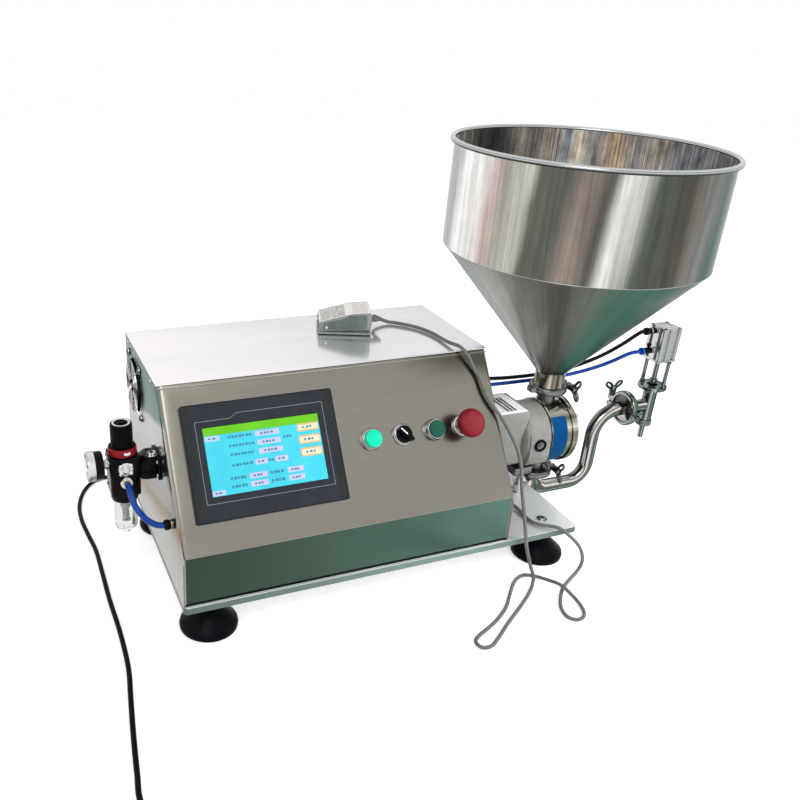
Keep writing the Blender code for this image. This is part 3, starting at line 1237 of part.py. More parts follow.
def outlet_pipe():
    pipe = as_mesh(tube("outlet_pipe", machine, pipe_path(0), PIPE_R, 4))
    start = PUMP_Z - PORT_RISE - GAP
    end = PIPE_END_X - GAP
    join(pipe,
         rod("pipe_ferrule_low", machine, (PORT_X, PUMP_Y, start), (PORT_X, PUMP_Y, start - FERRULE_T + GAP), FERRULE_R,
             20, tool=True),
         rod("pipe_ferrule_high", machine, (end - FERRULE_T + GAP, PUMP_Y, PIPE_TOP_Z), (end, PUMP_Y, PIPE_TOP_Z),
             FERRULE_R, 20, tool=True))
    cut(pipe, as_mesh(tube("pipe_bore", machine, pipe_path(OVER), PIPE_R - PIPE_WALL, 3, tool=True)))
    return finish(pipe, (0.72, 0.72, 0.72), 0.15, 1)


# Filling valve
def valve_body():
    top = VALVE_FLANGE_Z + VALVE_FLANGE_T
    y = PUMP_Y
    body = rod("valve_body", machine, (VALVE_X, y, VALVE_BOTTOM_Z), (VALVE_X, y, top - SINK), VALVE_R, 16)
    port_start = PIPE_END_X + GAP
    join(body,
         rod("valve_flange", machine, (VALVE_X, y, VALVE_FLANGE_Z), (VALVE_X, y, top), VALVE_FLANGE_R, 24, tool=True),
         rod("valve_port", machine, (port_start, y, PIPE_TOP_Z), (VALVE_X, y, PIPE_TOP_Z), PIPE_R - SINK, 16,
             tool=True),
         rod("valve_ferrule", machine, (port_start, y, PIPE_TOP_Z), (port_start + FERRULE_T - GAP, y, PIPE_TOP_Z),
             FERRULE_R, 20, tool=True))
    cut(body,
        rod("valve_bore", machine, (VALVE_X, y, VALVE_BOTTOM_Z - OVER), (VALVE_X, y, top + OVER), VALVE_BORE_R, 14,
            tool=True),
        rod("valve_port_bore", machine, (port_start - OVER, y, PIPE_TOP_Z), (VALVE_X, y, PIPE_TOP_Z),
            PIPE_R - PIPE_WALL - SINK, 14, tool=True))
    return finish(body, (0.6, 0.62, 0.6), 0.2, 1)


def valve_nozzle():
    """Collar under the body with the filling tube that the product leaves by."""
    tip = VALVE_BOTTOM_Z - GAP - COLLAR_H - NOZZLE_LENGTH
    top = VALVE_BOTTOM_Z - GAP - tip
    profile = [(NOZZLE_BORE_R, top), (COLLAR_R, top), (COLLAR_R, NOZZLE_LENGTH + BEZEL_CHAMFER),
               (COLLAR_R - BEZEL_CHAMFER, NOZZLE_LENGTH), (NOZZLE_R, NOZZLE_LENGTH), (NOZZLE_R, 0), (NOZZLE_BORE_R, 0)]
    nozzle = turned("valve_nozzle", machine, profile, (VALVE_X, PUMP_Y, tip), segments=16, closed=True)
    return finish(nozzle, (0.6, 0.6, 0.6), 0.2, 1)


def valve_yoke():
    """Two standoff rods under a plate that carries the air cylinder."""
    half = CYLINDER_SIDE / 2
    top = CYLINDER_Z - GAP
    plate_z = top - YOKE_PLATE_T
    plate = box("valve_yoke", machine, (VALVE_X - half, PUMP_Y - half, plate_z), (VALVE_X + half, PUMP_Y + half, top),
                bevel=YOKE_PLATE_T / 2, edges="Z", segments=1)
    low = VALVE_FLANGE_Z + VALVE_FLANGE_T + GAP
    for i, side in enumerate((-1, 1)):
        x = VALVE_X + side * YOKE_ROD_CIRCLE * math.cos(YOKE_ROD_ANGLE)
        y = PUMP_Y + side * YOKE_ROD_CIRCLE * math.sin(YOKE_ROD_ANGLE)
        join(plate, rod(f"yoke_rod_{i}", machine, (x, y, low), (x, y, plate_z + SINK), YOKE_ROD_R, 12, tool=True))
    cut(plate, rod("yoke_hole", machine, (VALVE_X, PUMP_Y, plate_z - OVER), (VALVE_X, PUMP_Y, top + OVER),
                   PISTON_ROD_R + GAP, 16, tool=True))
    return finish(plate, (0.7, 0.7, 0.7), 0.2, 1)


def cylinder_grooves(body):
    """Two long grooves in the front and the back of the square body."""
    half = CYLINDER_SIDE / 2
    for face in (-1, 1):
        for i, side in enumerate((-1, 1)):
            x = VALVE_X + side * CYLINDER_SIDE * CYLINDER_GROOVE_SHARE
            low = PUMP_Y + min(face * (half - CYLINDER_GROOVE_DEPTH), face * (half + OVER))
            high = PUMP_Y + max(face * (half - CYLINDER_GROOVE_DEPTH), face * (half + OVER))
            cut(body, box(f"cylinder_groove_{face}_{i}", machine, (x - CYLINDER_GROOVE / 2, low, CYLINDER_Z - OVER),
                          (x + CYLINDER_GROOVE / 2, high, CYLINDER_Z + CYLINDER_HEIGHT + OVER), tool=True))


def valve_cylinder():
    half = CYLINDER_SIDE / 2
    body = box("valve_cylinder", machine, (VALVE_X - half, PUMP_Y - half, CYLINDER_Z),
               (VALVE_X + half, PUMP_Y + half, CYLINDER_Z + CYLINDER_HEIGHT))
    cylinder_grooves(body)
    depth = PISTON_STROKE * 2
    cut(body, rod("cylinder_bore", machine, (VALVE_X, PUMP_Y, CYLINDER_Z - OVER), (VALVE_X, PUMP_Y, CYLINDER_Z + depth),
                  PISTON_ROD_R + GAP, 16, tool=True))
    face = VALVE_X - CYLINDER_SIDE / 2
    for label, height in (("high", FITTING_HIGH), ("low", FITTING_LOW)):
        z = CYLINDER_Z + height
        tip = face - FITTING_LENGTH
        join(body,
             rod(f"fitting_{label}", machine, (face + CYLINDER_GROOVE_DEPTH + SINK, PUMP_Y, z), (tip, PUMP_Y, z),
                 FITTING_R, 14, tool=True),
             rod(f"fitting_collar_{label}", machine, (tip + FITTING_COLLAR_H, PUMP_Y, z), (tip, PUMP_Y, z),
                 FITTING_COLLAR_R, 14, tool=True))
    return finish(body, (0.8, 0.8, 0.8), 0.35, 0.8)


def valve_piston():
    """Piston rod, lock nut and plunger; the plunger closes the nozzle at rest."""
    seat = VALVE_BOTTOM_Z + GAP
    nut_z = VALVE_FLANGE_Z + VALVE_FLANGE_T + PISTON_NUT_H
    top = CYLINDER_Z + PISTON_STROKE - RELIEF
    guide = PIPE_TOP_Z - PIPE_R - seat
    profile = [(0, top - seat), (PISTON_ROD_R, top - seat), (PISTON_ROD_R, nut_z + PISTON_NUT_H - seat),
               (PISTON_NUT_R, nut_z + PISTON_NUT_H - seat), (PISTON_NUT_R, nut_z - seat), (PISTON_ROD_R, nut_z - seat),
               (PISTON_ROD_R, guide), (PLUNGER_R, guide - SINK), (PLUNGER_R, 0), (0, 0)]
    piston = turned("valve_piston", machine, profile, (VALVE_X, PUMP_Y, seat), segments=16)
    return finish(piston, (0.7, 0.7, 0.7), 0.15, 1)


def air_hose(name, shares, hole_z, height, colour):
    hole = Vector((CAB_WIDTH, HOSE_Y, hole_z))
    start = hole - RIGHT * HOSE_INSIDE
    end = Vector((VALVE_X - CYLINDER_SIDE / 2 - FITTING_LENGTH - GAP, PUMP_Y, CYLINDER_Z + height))
    way = end - hole
    route = [hole + Vector(part * whole for part, whole in zip(share, way)) for share in shares]
    points = route_between(start, RIGHT * HOSE_INSIDE * 2, route, end, -RIGHT * HOSE_STRAIGHT, HOSE_POINTS)
    return finish(tube(name, machine, points, HOSE_R), colour, 0.35, 0)


# Filter regulator
def regulator():
    low = (REG_X - REG_HALF, REG_Y - REG_HALF, REG_BOTTOM_Z)
    high = (REG_X + REG_HALF, REG_Y + REG_HALF, REG_TOP_Z)
    body = box("regulator_body", machine, low, high, bevel=REG_BEVEL, edges="Z")
    front = REG_Y - REG_HALF
    neck_top = REG_TOP_Z + REG_RING_H + 2 * GAP + REG_KNOB_H / 2
    join(body,
         rod("regulator_skirt", machine, (REG_X, REG_Y, REG_BOTTOM_Z - REG_SKIRT_H), (REG_X, REG_Y, REG_BOTTOM_Z + SINK),
             REG_SKIRT_R, 18, tool=True),
         rod("regulator_neck", machine, (REG_X, REG_Y, REG_TOP_Z - SINK), (REG_X, REG_Y, neck_top), REG_NECK_R - RELIEF,
             20, tool=True),
         rod("regulator_port", machine, (REG_X, front + SINK, REG_PORT_Z), (REG_X, front - REG_PORT_H, REG_PORT_Z),
             REG_PORT_R, 16, tool=True))
    finish(body, (0.02, 0.02, 0.02), 0.4, 0)
    ring_z = REG_TOP_Z + GAP
    bore = REG_NECK_R
    ring = turned("regulator_ring", machine, [(bore, REG_RING_H), (REG_RING_R - SINK, REG_RING_H),
                                              (REG_RING_R, REG_RING_H / 2), (REG_RING_R - SINK, 0), (bore, 0)],
                  (REG_X, REG_Y, ring_z), segments=16, closed=True)
    finish(ring, (0.45, 0.01, 0.03), 0.35, 0)
    floor = REG_KNOB_H / 2 + RELIEF
    knob = turned("regulator_knob", machine, [
        (0, REG_KNOB_H), (REG_KNOB_R - 2 * SINK, REG_KNOB_H), (REG_KNOB_R, REG_KNOB_H - 2 * SINK), (REG_KNOB_R, 0),
        (bore, 0), (bore, floor), (0, floor)], (REG_X, REG_Y, ring_z + REG_RING_H + GAP), segments=16, closed=True)
    return finish(knob, (0.02, 0.02, 0.02), 0.5, 0)


def filter_bowl():
    """Clear cup under the regulator with a drain at its foot."""
    top = BOWL_H + DRAIN_H
    inner = BOWL_R - BOWL_WALL
    foot = REG_BOTTOM_Z - REG_SKIRT_H - GAP - top
    profile = [(inner, top), (BOWL_R, top), (BOWL_R, DRAIN_H + DRAIN_R), (BOWL_R - DRAIN_R, DRAIN_H),
               (DRAIN_R, DRAIN_H), (DRAIN_R, 0), (0, 0), (0, DRAIN_H + BOWL_WALL), (inner - DRAIN_R, DRAIN_H + BOWL_WALL),
               (inner, DRAIN_H + DRAIN_R + BOWL_WALL)]
    bowl = turned("filter_bowl", machine, profile, (REG_X, REG_Y, foot), segments=16, closed=True)
    return finish(bowl, (0.8, 0.85, 0.85), 0.1, 0)


def pressure_gauge():
    face = GAUGE_STEM_LENGTH + GAUGE_T
    profile = [(0, face), (GAUGE_R - GAUGE_ROUND, face), (GAUGE_R, face - GAUGE_ROUND), (GAUGE_R, GAUGE_STEM_LENGTH),
               (GAUGE_STEM_R, GAUGE_STEM_LENGTH), (GAUGE_STEM_R, 0), (0, 0)]
    root = (REG_X - REG_HALF - GAP, REG_Y, GAUGE_Z)
    gauge = turned("pressure_gauge", machine, profile, root, -RIGHT, 20)
    return finish(gauge, (0.05, 0.05, 0.05), 0.4, 0)


def regulator_bracket():
    arm = box("regulator_bracket", machine, (REG_X + REG_HALF + GAP, REG_Y - BRACKET_HALF_Y, BRACKET_Z_LOW),
              (-GAP, REG_Y + BRACKET_HALF_Y, BRACKET_Z_HIGH), bevel=SINK, segments=1)
    margin = BRACKET_PLATE_MARGIN
    foot = box("bracket_foot", machine, (-GAP - BRACKET_PLATE_T, REG_Y - BRACKET_HALF_Y - margin, BRACKET_Z_LOW + SINK),
               (-GAP, REG_Y + BRACKET_HALF_Y + margin, BRACKET_Z_HIGH - SINK), tool=True)
    return finish(join(arm, foot), (0.02, 0.02, 0.02), 0.5, 0.5)


def regulator_hose():
    front = REG_Y - REG_HALF - REG_PORT_H - GAP
    first = Vector((REG_X, front, REG_PORT_Z))
    last = Vector((-GAP, REG_INLET_Y, REG_INLET_Z))
    points = route_between(first, -BACK * REG_FITTING_LENGTH, REG_HOSE_ROUTE, last, -RIGHT * REG_FITTING_LENGTH,
                           REG_HOSE_POINTS)
    hose = as_mesh(tube("regulator_hose", machine, points, REG_HOSE_R))
    join(hose,
         rod("hose_fitting_out", machine, first, first - BACK * REG_FITTING_LENGTH * 0.6, REG_FITTING_R, 12, tool=True),
         rod("hose_fitting_in", machine, last, last - RIGHT * REG_FITTING_LENGTH, REG_FITTING_R, 12, tool=True))
    return finish(hose, (0.02, 0.08, 0.6), 0.3, 0)


# Foot pedal
def treadle_outline(inset):
    """Side outline of the treadle about its pin, drawn in by a sheet thickness on top."""
    low_share = (TREADLE_LOW_RIGHT, TREADLE_LOW_LEFT)
    points = [(-PIN_X, low_share[1] - PIN_Z), (PEDAL_LENGTH - PIN_X, low_share[0] - PIN_Z)]
    for along, up in TREADLE_TOP_SHARES:
        points.append((along * PEDAL_LENGTH - PIN_X, up * PEDAL_TOP - PIN_Z - inset))
    return points


def treadle_room_outline():
    """Room inside the treadle, open below and at both ends."""
    points = []
    for along, up in TREADLE_TOP_SHARES:
        points.append((along * PEDAL_LENGTH - PIN_X, up * PEDAL_TOP - PIN_Z - TREADLE_T))
    low = -PIN_Z - OVER
    right = PEDAL_LENGTH - PIN_X + OVER
    left = -PIN_X - OVER
    return [(left, low), (right, low), (right, points[0][1]), *points, (left, points[-1][1])]


def pedal():
    middle = PEDAL_WIDTH / 2
    treadle = slab("pedal_treadle", pedal_frame, treadle_outline(0), PEDAL_WIDTH, (PIN_X, middle, PIN_Z), STAND_UP)
    room = slab("treadle_room", pedal_frame, treadle_room_outline(), PEDAL_WIDTH - 2 * TREADLE_T,
                (PIN_X, middle, PIN_Z), STAND_UP, tool=True)
    pin_hole = rod("pedal_pin_hole", pedal_frame, (PIN_X, -OVER, PIN_Z), (PIN_X, PEDAL_WIDTH + OVER, PIN_Z),
                   PIN_R + GAP, 12, tool=True)
    finish(cut(treadle, room, pin_hole), (0.16, 0.18, 0.18), 0.45, 0.2)
    wall = TREADLE_T + RELIEF
    base = box("pedal_base", pedal_frame, (-PEDAL_EDGE, -PEDAL_EDGE, GAP),
               (PEDAL_LENGTH + PEDAL_EDGE, PEDAL_WIDTH + PEDAL_EDGE, PEDAL_PLATE_T), bevel=PEDAL_EDGE / 2, segments=1)
    block_top = PEDAL_TOP * PEDAL_BLOCK_TOP_SHARE
    end = PEDAL_LENGTH - SINK
    boss_z = PEDAL_BOSS_Z
    join(base,
         box("pedal_block", pedal_frame, (PEDAL_BLOCK_LEFT, wall, PEDAL_PLATE_T - SINK),
             (end, PEDAL_WIDTH - wall, block_top), tool=True),
         box("pedal_lug", pedal_frame, (PEDAL_LUG_LEFT, wall, PEDAL_PLATE_T - SINK),
             (PEDAL_LUG_RIGHT, PEDAL_WIDTH - wall, PEDAL_LUG_TOP), tool=True),
         rod("pedal_pin", pedal_frame, (PIN_X, -GAP, PIN_Z), (PIN_X, PEDAL_WIDTH + GAP, PIN_Z), PIN_R, 12, tool=True),
         rod("pedal_boss", pedal_frame, (end - SINK, middle, boss_z), (end + PEDAL_BOSS_LENGTH, middle, boss_z),
             PEDAL_BOSS_R, 14, PEDAL_BOSS_END_R, tool=True))
    return finish(base, (0.14, 0.16, 0.16), 0.5, 0.2)


def gland(name, place_at, direction):
    """Cable gland: nut outside, thread through the sheet, tapered grip for the cord."""
    profile = [(0, GLAND_LENGTH), (GLAND_END_R, GLAND_LENGTH), (GLAND_R, GLAND_LENGTH * 0.6), (GLAND_R, GAP),
               (GLAND_THREAD_R, GAP), (GLAND_THREAD_R, -SHEET - GLAND_INSIDE), (0, -SHEET - GLAND_INSIDE)]
    return finish(turned(name, machine, profile, place_at, direction, 14), (0.03, 0.03, 0.03), 0.5, 0)


def pedal_cord():
    turn = Matrix.Rotation(PEDAL_TURN, 3, "Z")
    boss_tip = Vector((PEDAL_LENGTH - SINK + PEDAL_BOSS_LENGTH + GAP, PEDAL_WIDTH / 2, PEDAL_BOSS_Z))
    start = turn @ boss_tip + Vector((PEDAL_X, PEDAL_Y, CAB_TOP))
    end = Vector((CAB_WIDTH + GLAND_LENGTH + GAP, PEDAL_GLAND_Y, PEDAL_GLAND_Z))
    out = turn @ RIGHT * CORD_STRAIGHT
    points = route_between(start, out, PEDAL_CORD_ROUTE, end, RIGHT * CORD_STRAIGHT, CORD_POINTS)
    return finish(tube("pedal_cord", machine, points, CORD_R), (0.20, 0.21, 0.22), 0.5, 0)


# Mains lead
def mains_cord():
    start = Vector((MAINS_GLAND_X, CAB_DEPTH + GLAND_LENGTH + GAP, MAINS_GLAND_Z))
    points = route_between(start, BACK * CORD_STRAIGHT, LEAD_ROUTE, coil_entry(), BACK * CORD_STRAIGHT, LEAD_POINTS)
    return finish(tube("mains_cord", machine, points, LEAD_R), (0.02, 0.02, 0.02), 0.5, 0)


def coil_entry():
    """Where the lead meets the coil: the coil's outer loop, on its near right side."""
    outer = coil_radius(0)
    return Vector((COIL_X + outer, COIL_Y + COIL_LEAD_OUT + GAP, LEAD_R + GAP))


def coil_radius(turn):
    """Loops spiral in to the middle turn and out again a layer higher."""
    half = COIL_TURNS / 2
    from_middle = abs(turn - half)
    return COIL_MID_R + COIL_PITCH * (from_middle - half / 2)


def coil_points():
    points = [Vector((COIL_X + coil_radius(0), COIL_Y + COIL_LEAD_OUT, LEAD_R + GAP))]
    steps = COIL_TURNS * COIL_LOOP_POINTS
    half = COIL_TURNS / 2
    for step in range(steps + 1):
        turn = step / COIL_LOOP_POINTS
        angle = -2 * math.pi * turn
        climb = min(max((turn - half + 0.25) / 0.5, 0), 1)
        height = LEAD_R + GAP + COIL_LAYER * climb
        radius = coil_radius(turn)
        points.append(Vector((COIL_X + radius * math.cos(angle), COIL_Y + radius * math.sin(angle), height)))
    last = points[-1]
    points.append(last - BACK * COIL_TAIL)
    return points


def least_gap(points, radius, neighbours):
    """Least clear space between stretches of the coil that aren't next to each other."""
    least = math.inf
    for i, a in enumerate(points):
        for b in points[i + neighbours:]:
            least = min(least, (a - b).length - 2 * radius)
    return least


def mains_coil():
    points = coil_points()
    print("coil gap to itself, mm:", round(least_gap(points, LEAD_R, COIL_LOOP_POINTS // 2) * 1000, 2))
    return finish(tube("mains_coil", machine, points, LEAD_R, 1), (0.02, 0.02, 0.02), 0.5, 0)


def mains_plug():
    """Moulded plug with a tapered strain relief and flat pins, lying beside the coil."""
    tip = coil_points()[-1] - BACK * GAP
    z = tip.z
    x = tip.x
    neck = tip.y - PLUG_TAPER
    body = box("mains_plug", machine, (x - PLUG_WIDTH / 2, neck - PLUG_LENGTH, z - PLUG_H / 2),
               (x + PLUG_WIDTH / 2, neck, z + PLUG_H / 2), bevel=PLUG_ROUND)
    join(body, rod("plug_taper", machine, (x, neck - SINK, z), (x, tip.y, z), PLUG_H / 2 - PLUG_ROUND, 14,
                   PLUG_TAPER_END_R, tool=True))
    face = neck - PLUG_LENGTH
    for i, side in enumerate((-1, 1)):
        pin_x = x + side * PLUG_PIN_SPACING / 2
        join(body, box(f"plug_pin_{i}", machine, (pin_x - PLUG_PIN_T / 2, face - PLUG_PIN_LENGTH, z - PLUG_PIN_WIDTH / 2),
                       (pin_x + PLUG_PIN_T / 2, face + SINK, z + PLUG_PIN_WIDTH / 2), tool=True))
    return finish(body, (0.02, 0.02, 0.02), 0.5, 0)


clear_scene()
parts = new_collection("paste_filler")
tools = new_collection("cutters")
machine = make_empty("machine_frame", (-ORIGIN_X, -ORIGIN_Y, 0))
panel = make_empty("panel_frame", (0, 0, PLATE_TOP + SKIRT_H), (SLOPE_ANGLE, 0, 0), machine)
pedal_frame = make_empty("pedal_frame", (PEDAL_X, PEDAL_Y, CAB_TOP), (0, 0, PEDAL_TURN), machine)
bpy.context.view_layer.update()

base_plate()
for corner, (foot_x, foot_y) in zip(("front_left", "front_right", "back_left", "back_right"), foot_places()):
    levelling_foot(f"foot_{corner}", foot_x, foot_y)
housing_wrap()
top_cover()
front_skirt()
rear_panel()
fan_frame()
fan_impeller()
fan_guard()
screen_housing()
screen_glass()
button_pair("lamp", LAMP_U, BEZEL_H, CAP_H, (0.01, 0.75, 0.18))
button_pair("start", START_U, START_BEZEL_H, START_CAP_H, (0.01, 0.20, 0.08))
selector()
emergency_stop()
gearmotor()
shaft_coupling()
pump_gearbox()
sight_glass()
pump_support()
rotor_case()
rotors()
pump_cover()
hopper()
clamps()
outlet_pipe()
valve_body()
valve_nozzle()
valve_yoke()
valve_cylinder()
valve_piston()
air_hose("air_hose_black", BLACK_HOSE_SHARES, BLACK_HOSE_HOLE_Z, FITTING_HIGH, (0.02, 0.02, 0.02))
air_hose("air_hose_blue", BLUE_HOSE_SHARES, BLUE_HOSE_HOLE_Z, FITTING_LOW, (0.02, 0.08, 0.6))
regulator()
filter_bowl()
pressure_gauge()
regulator_bracket()
regulator_hose()
pedal()
gland("pedal_gland", (CAB_WIDTH, PEDAL_GLAND_Y, PEDAL_GLAND_Z), RIGHT)
gland("mains_gland", (MAINS_GLAND_X, CAB_DEPTH, MAINS_GLAND_Z), BACK)
pedal_cord()
mains_cord()
mains_coil()
mains_plug()
bpy.context.view_layer.update()
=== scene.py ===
import math

import bmesh
import bpy
from mathutils import Matrix, Vector


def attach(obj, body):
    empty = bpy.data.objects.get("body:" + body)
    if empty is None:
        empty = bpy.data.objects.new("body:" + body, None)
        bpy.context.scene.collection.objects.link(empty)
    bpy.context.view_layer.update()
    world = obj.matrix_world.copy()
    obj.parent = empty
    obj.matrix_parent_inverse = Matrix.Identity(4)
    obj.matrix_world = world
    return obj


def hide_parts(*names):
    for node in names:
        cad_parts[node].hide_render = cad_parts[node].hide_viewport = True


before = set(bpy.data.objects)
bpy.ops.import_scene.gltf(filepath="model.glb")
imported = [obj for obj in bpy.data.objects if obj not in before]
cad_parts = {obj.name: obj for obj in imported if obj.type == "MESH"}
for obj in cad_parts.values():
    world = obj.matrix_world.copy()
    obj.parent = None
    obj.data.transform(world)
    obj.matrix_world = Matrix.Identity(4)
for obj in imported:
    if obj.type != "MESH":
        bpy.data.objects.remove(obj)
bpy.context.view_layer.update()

# The part's zero is the cabinet's front left corner on the floor; sizes below are in metres from it
ORIGIN = Vector((-0.38185, -0.14, 0))
X = Vector((1, 0, 0))
Y = Vector((0, 1, 0))
Z = Vector((0, 0, 1))

# Camera, as fitted to the photograph
CAMERA_PLACE = Vector((-0.58035, -0.9708, 0.7523))
CAMERA_AZIMUTH = math.radians(-23.66)
CAMERA_ELEVATION = math.radians(26.3)
CAMERA_ROLL = math.radians(3.17)
CAMERA_LENS = 38.33
CAMERA_SHIFT = (0.1044, 0.0201)

# Sizes that the part's source fixes
PLATE_TOP = 0.06
CAB_WIDTH = 0.4775
CAB_TOP = 0.312
SLOPE_BACK = 0.122
SKIRT_TOP = 0.134
PUMP_Y = 0.14
PUMP_Z = 0.152
PORT_X = 0.616
VALVE_X = 0.83
REG_X = -0.044
REG_Y = 0.125
SLOPE_ANGLE = math.atan2(CAB_TOP - SKIRT_TOP, SLOPE_BACK)


def at(x, y, z):
    return ORIGIN + Vector((x, y, z))


# Materials
LOOKS = {}


def grade(tone):
    """Linear colour of a grey share or of a colour written as six hex digits."""
    if not isinstance(tone, str):
        return (tone, tone, tone, 1)
    parts = [int(tone[i:i + 2], 16) / 255 for i in (0, 2, 4)]
    return (*(p / 12.92 if p <= 0.04045 else ((p + 0.055) / 1.055) ** 2.4 for p in parts), 1)


class Look:
    """One material: a Principled shader and the procedural nodes that feed it."""

    def __init__(self, name, metallic=0.0, colour=0.5, **sockets):
        material = bpy.data.materials.new(name)
        material.use_nodes = True
        LOOKS[name] = material
        self.tree = material.node_tree
        self.shader = self.tree.nodes["Principled BSDF"]
        self.feed("Base Color", grade(colour))
        self.feed("Roughness", 0.5)
        self.feed("Metallic", metallic)
        for socket, value in sockets.items():
            self.feed(socket.replace("_", " "), value)

    def fill(self, socket, value):
        """Links a socket to another one or sets its value."""
        if isinstance(value, bpy.types.NodeSocket):
            self.tree.links.new(value, socket)
        else:
            socket.default_value = value

    def feed(self, socket, value):
        self.fill(self.shader.inputs[socket], value)

    def node(self, kind, values, **settings):
        """Adds a node, fills its sockets and gives its outputs."""
        node = self.tree.nodes.new("ShaderNode" + kind)
        for key, value in settings.items():
            setattr(node, key, value)
        for key, value in values.items():
            self.fill(node.inputs[key], value)
        return node.outputs

    def place(self, scale=1, shift=(0, 0, 0)):
        """Coordinates with one scale or with a scale for each axis."""
        if not isinstance(scale, tuple):
            scale = (scale, scale, scale)
        point = self.node("TexCoord", {})["Object"]
        return self.node("Mapping", {"Vector": point, "Scale": scale, "Location": shift})["Vector"]

    def part(self, kind="Object"):
        """Separate coordinates of a kind: Object for places, Normal for directions."""
        return self.node("SeparateXYZ", {"Vector": self.node("TexCoord", {})[kind]})

    def noise(self, vector, detail=4.0, rough=0.55, shift=(0, 0, 0)):
        """Noise over coordinates, or over places at a scale."""
        if not isinstance(vector, bpy.types.NodeSocket):
            vector = self.place(vector, shift)
        values = {"Vector": vector, "Scale": 1.0, "Detail": detail, "Roughness": rough}
        return self.node("TexNoise", values)["Fac"]

    def ramp(self, value, stops):
        node = self.tree.nodes.new("ShaderNodeValToRGB")
        band = node.color_ramp
        while len(band.elements) < len(stops):
            band.elements.new(1)
        for element, (place, tone) in zip(band.elements, stops):
            element.position = place
            element.color = grade(tone)
        self.fill(node.inputs["Fac"], value)
        return node.outputs["Color"]

    def clouds(self, noise, dark, light, start=0.3):
        """Goes from a dark tone to a light one with the noise."""
        return self.ramp(noise, ((start, dark), (1 - start, light)))

    def shade(self, tone, noise, low, high=1.0, start=0.25):
        """Multiplies a tone by a grey that goes from low to high with the noise."""
        return self.mix(1.0, tone, self.clouds(noise, low, high, start), "MULTIPLY")

    def swing(self, tone, noise, share, gain=1.0):
        """Multiplies a tone by a grey that swings about a gain by a share."""
        return self.shade(tone, noise, gain * (1 - share), gain * (1 + share), 0.32)

    def spread(self, value, low, high, start=0.3, end=0.7):
        values = {"Value": value, "From Min": start, "From Max": end, "To Min": low, "To Max": high}
        return self.node("MapRange", values)["Result"]

    def math(self, operation, first, second):
        return self.node("Math", {0: first, 1: second}, operation=operation)["Value"]

    def stir(self, value, scale, detail, amount):
        """Shifts a value to and fro with noise."""
        waves = self.math("SUBTRACT", self.noise(scale, detail), 0.5)
        return self.math("ADD", value, self.math("MULTIPLY", waves, amount))

    def mix(self, share, first, second, blend="MIX"):
        return self.node("Mix", {0: share, 6: first, 7: second}, data_type="RGBA", blend_type=blend)[2]

    def rub(self, worn, rough):
        self.feed("Roughness", self.spread(worn, *rough))

    def bump(self, height, strength, distance):
        values = {"Height": height, "Strength": strength, "Distance": distance}
        self.feed("Normal", self.node("Bump", values)["Normal"])

    def brush(self, along, rough, grain):
        """Brush lines along one axis in the bump, with rubbed patches in the gloss."""
        lines = self.noise(BRUSH_SCALES[along], 3.0)
        rubbed = self.noise(22, 4.0, 0.6, (3, 1, 2))
        blend = self.math("ADD", self.math("MULTIPLY", lines, 0.4), self.math("MULTIPLY", rubbed, 0.6))
        self.rub(blend, rough)
        self.bump(lines, grain, 0.00005)
        return lines


BRUSH_SCALES = {"X": (7, 1500, 1500), "Y": (1500, 7, 1500), "Z": (1500, 1500, 7)}


def brushed(name, dark, light, along="X", rough=(0.26, 0.42), grain=0.25):
    """Sheet steel with its grain along one axis, soft clouding and rubbed patches."""
    look = Look(name, 1.0)
    lines = look.brush(along, rough, grain)
    tone = look.clouds(look.noise(5, 3.0, 0.5), dark, light)
    look.feed("Base Color", look.shade(tone, lines, 0.94))


def polished_with_painted_reflections(name, stops, way=(0, 0, 1), rough=(0.1, 0.22), ripple=0.25, scale=60, edge=0.5):
    """Polished metal with painted reflections and highlights: its tone follows the way it faces, from away
    (0) to towards (1).
    """
    look = Look(name, 1.0, Specular_Tint=grade(edge))
    normal = look.part("Normal")
    way = Vector(way).normalized()
    shares = [look.math("MULTIPLY", normal[axis], share) for axis, share in zip("XYZ", way)]
    facing = look.math("ADD", look.math("ADD", shares[0], shares[1]), shares[2])
    facing = look.stir(facing, scale, 2.0, ripple)
    look.feed("Base Color", look.ramp(look.spread(facing, 0.0, 1.0, -1.0, 1.0), stops))
    marks = look.noise(180, 5.0, 0.65)
    look.rub(marks, rough)
    look.bump(marks, 0.04, 0.0001)


def round_turn(look, centre, axis):
    """Angle about an axis through a centre as a share of a full turn, and the place along the axis."""
    point = look.node("SeparateXYZ", {"Vector": look.place(1, tuple(-c for c in centre))})
    first, second = "XYZ".replace(axis, "")
    angle = look.math("ARCTAN2", point[second], point[first])
    return look.math("ADD", look.math("DIVIDE", angle, 2 * math.pi), 0.5), point[axis]


def turn_lines(look, turn, height, count):
    """Noise in lines along the axis, with about that many lines round it."""
    places = {"X": look.math("MULTIPLY", turn, count), "Y": look.math("MULTIPLY", height, 4.0)}
    return look.noise(look.node("CombineXYZ", places)["Vector"], 3.0)


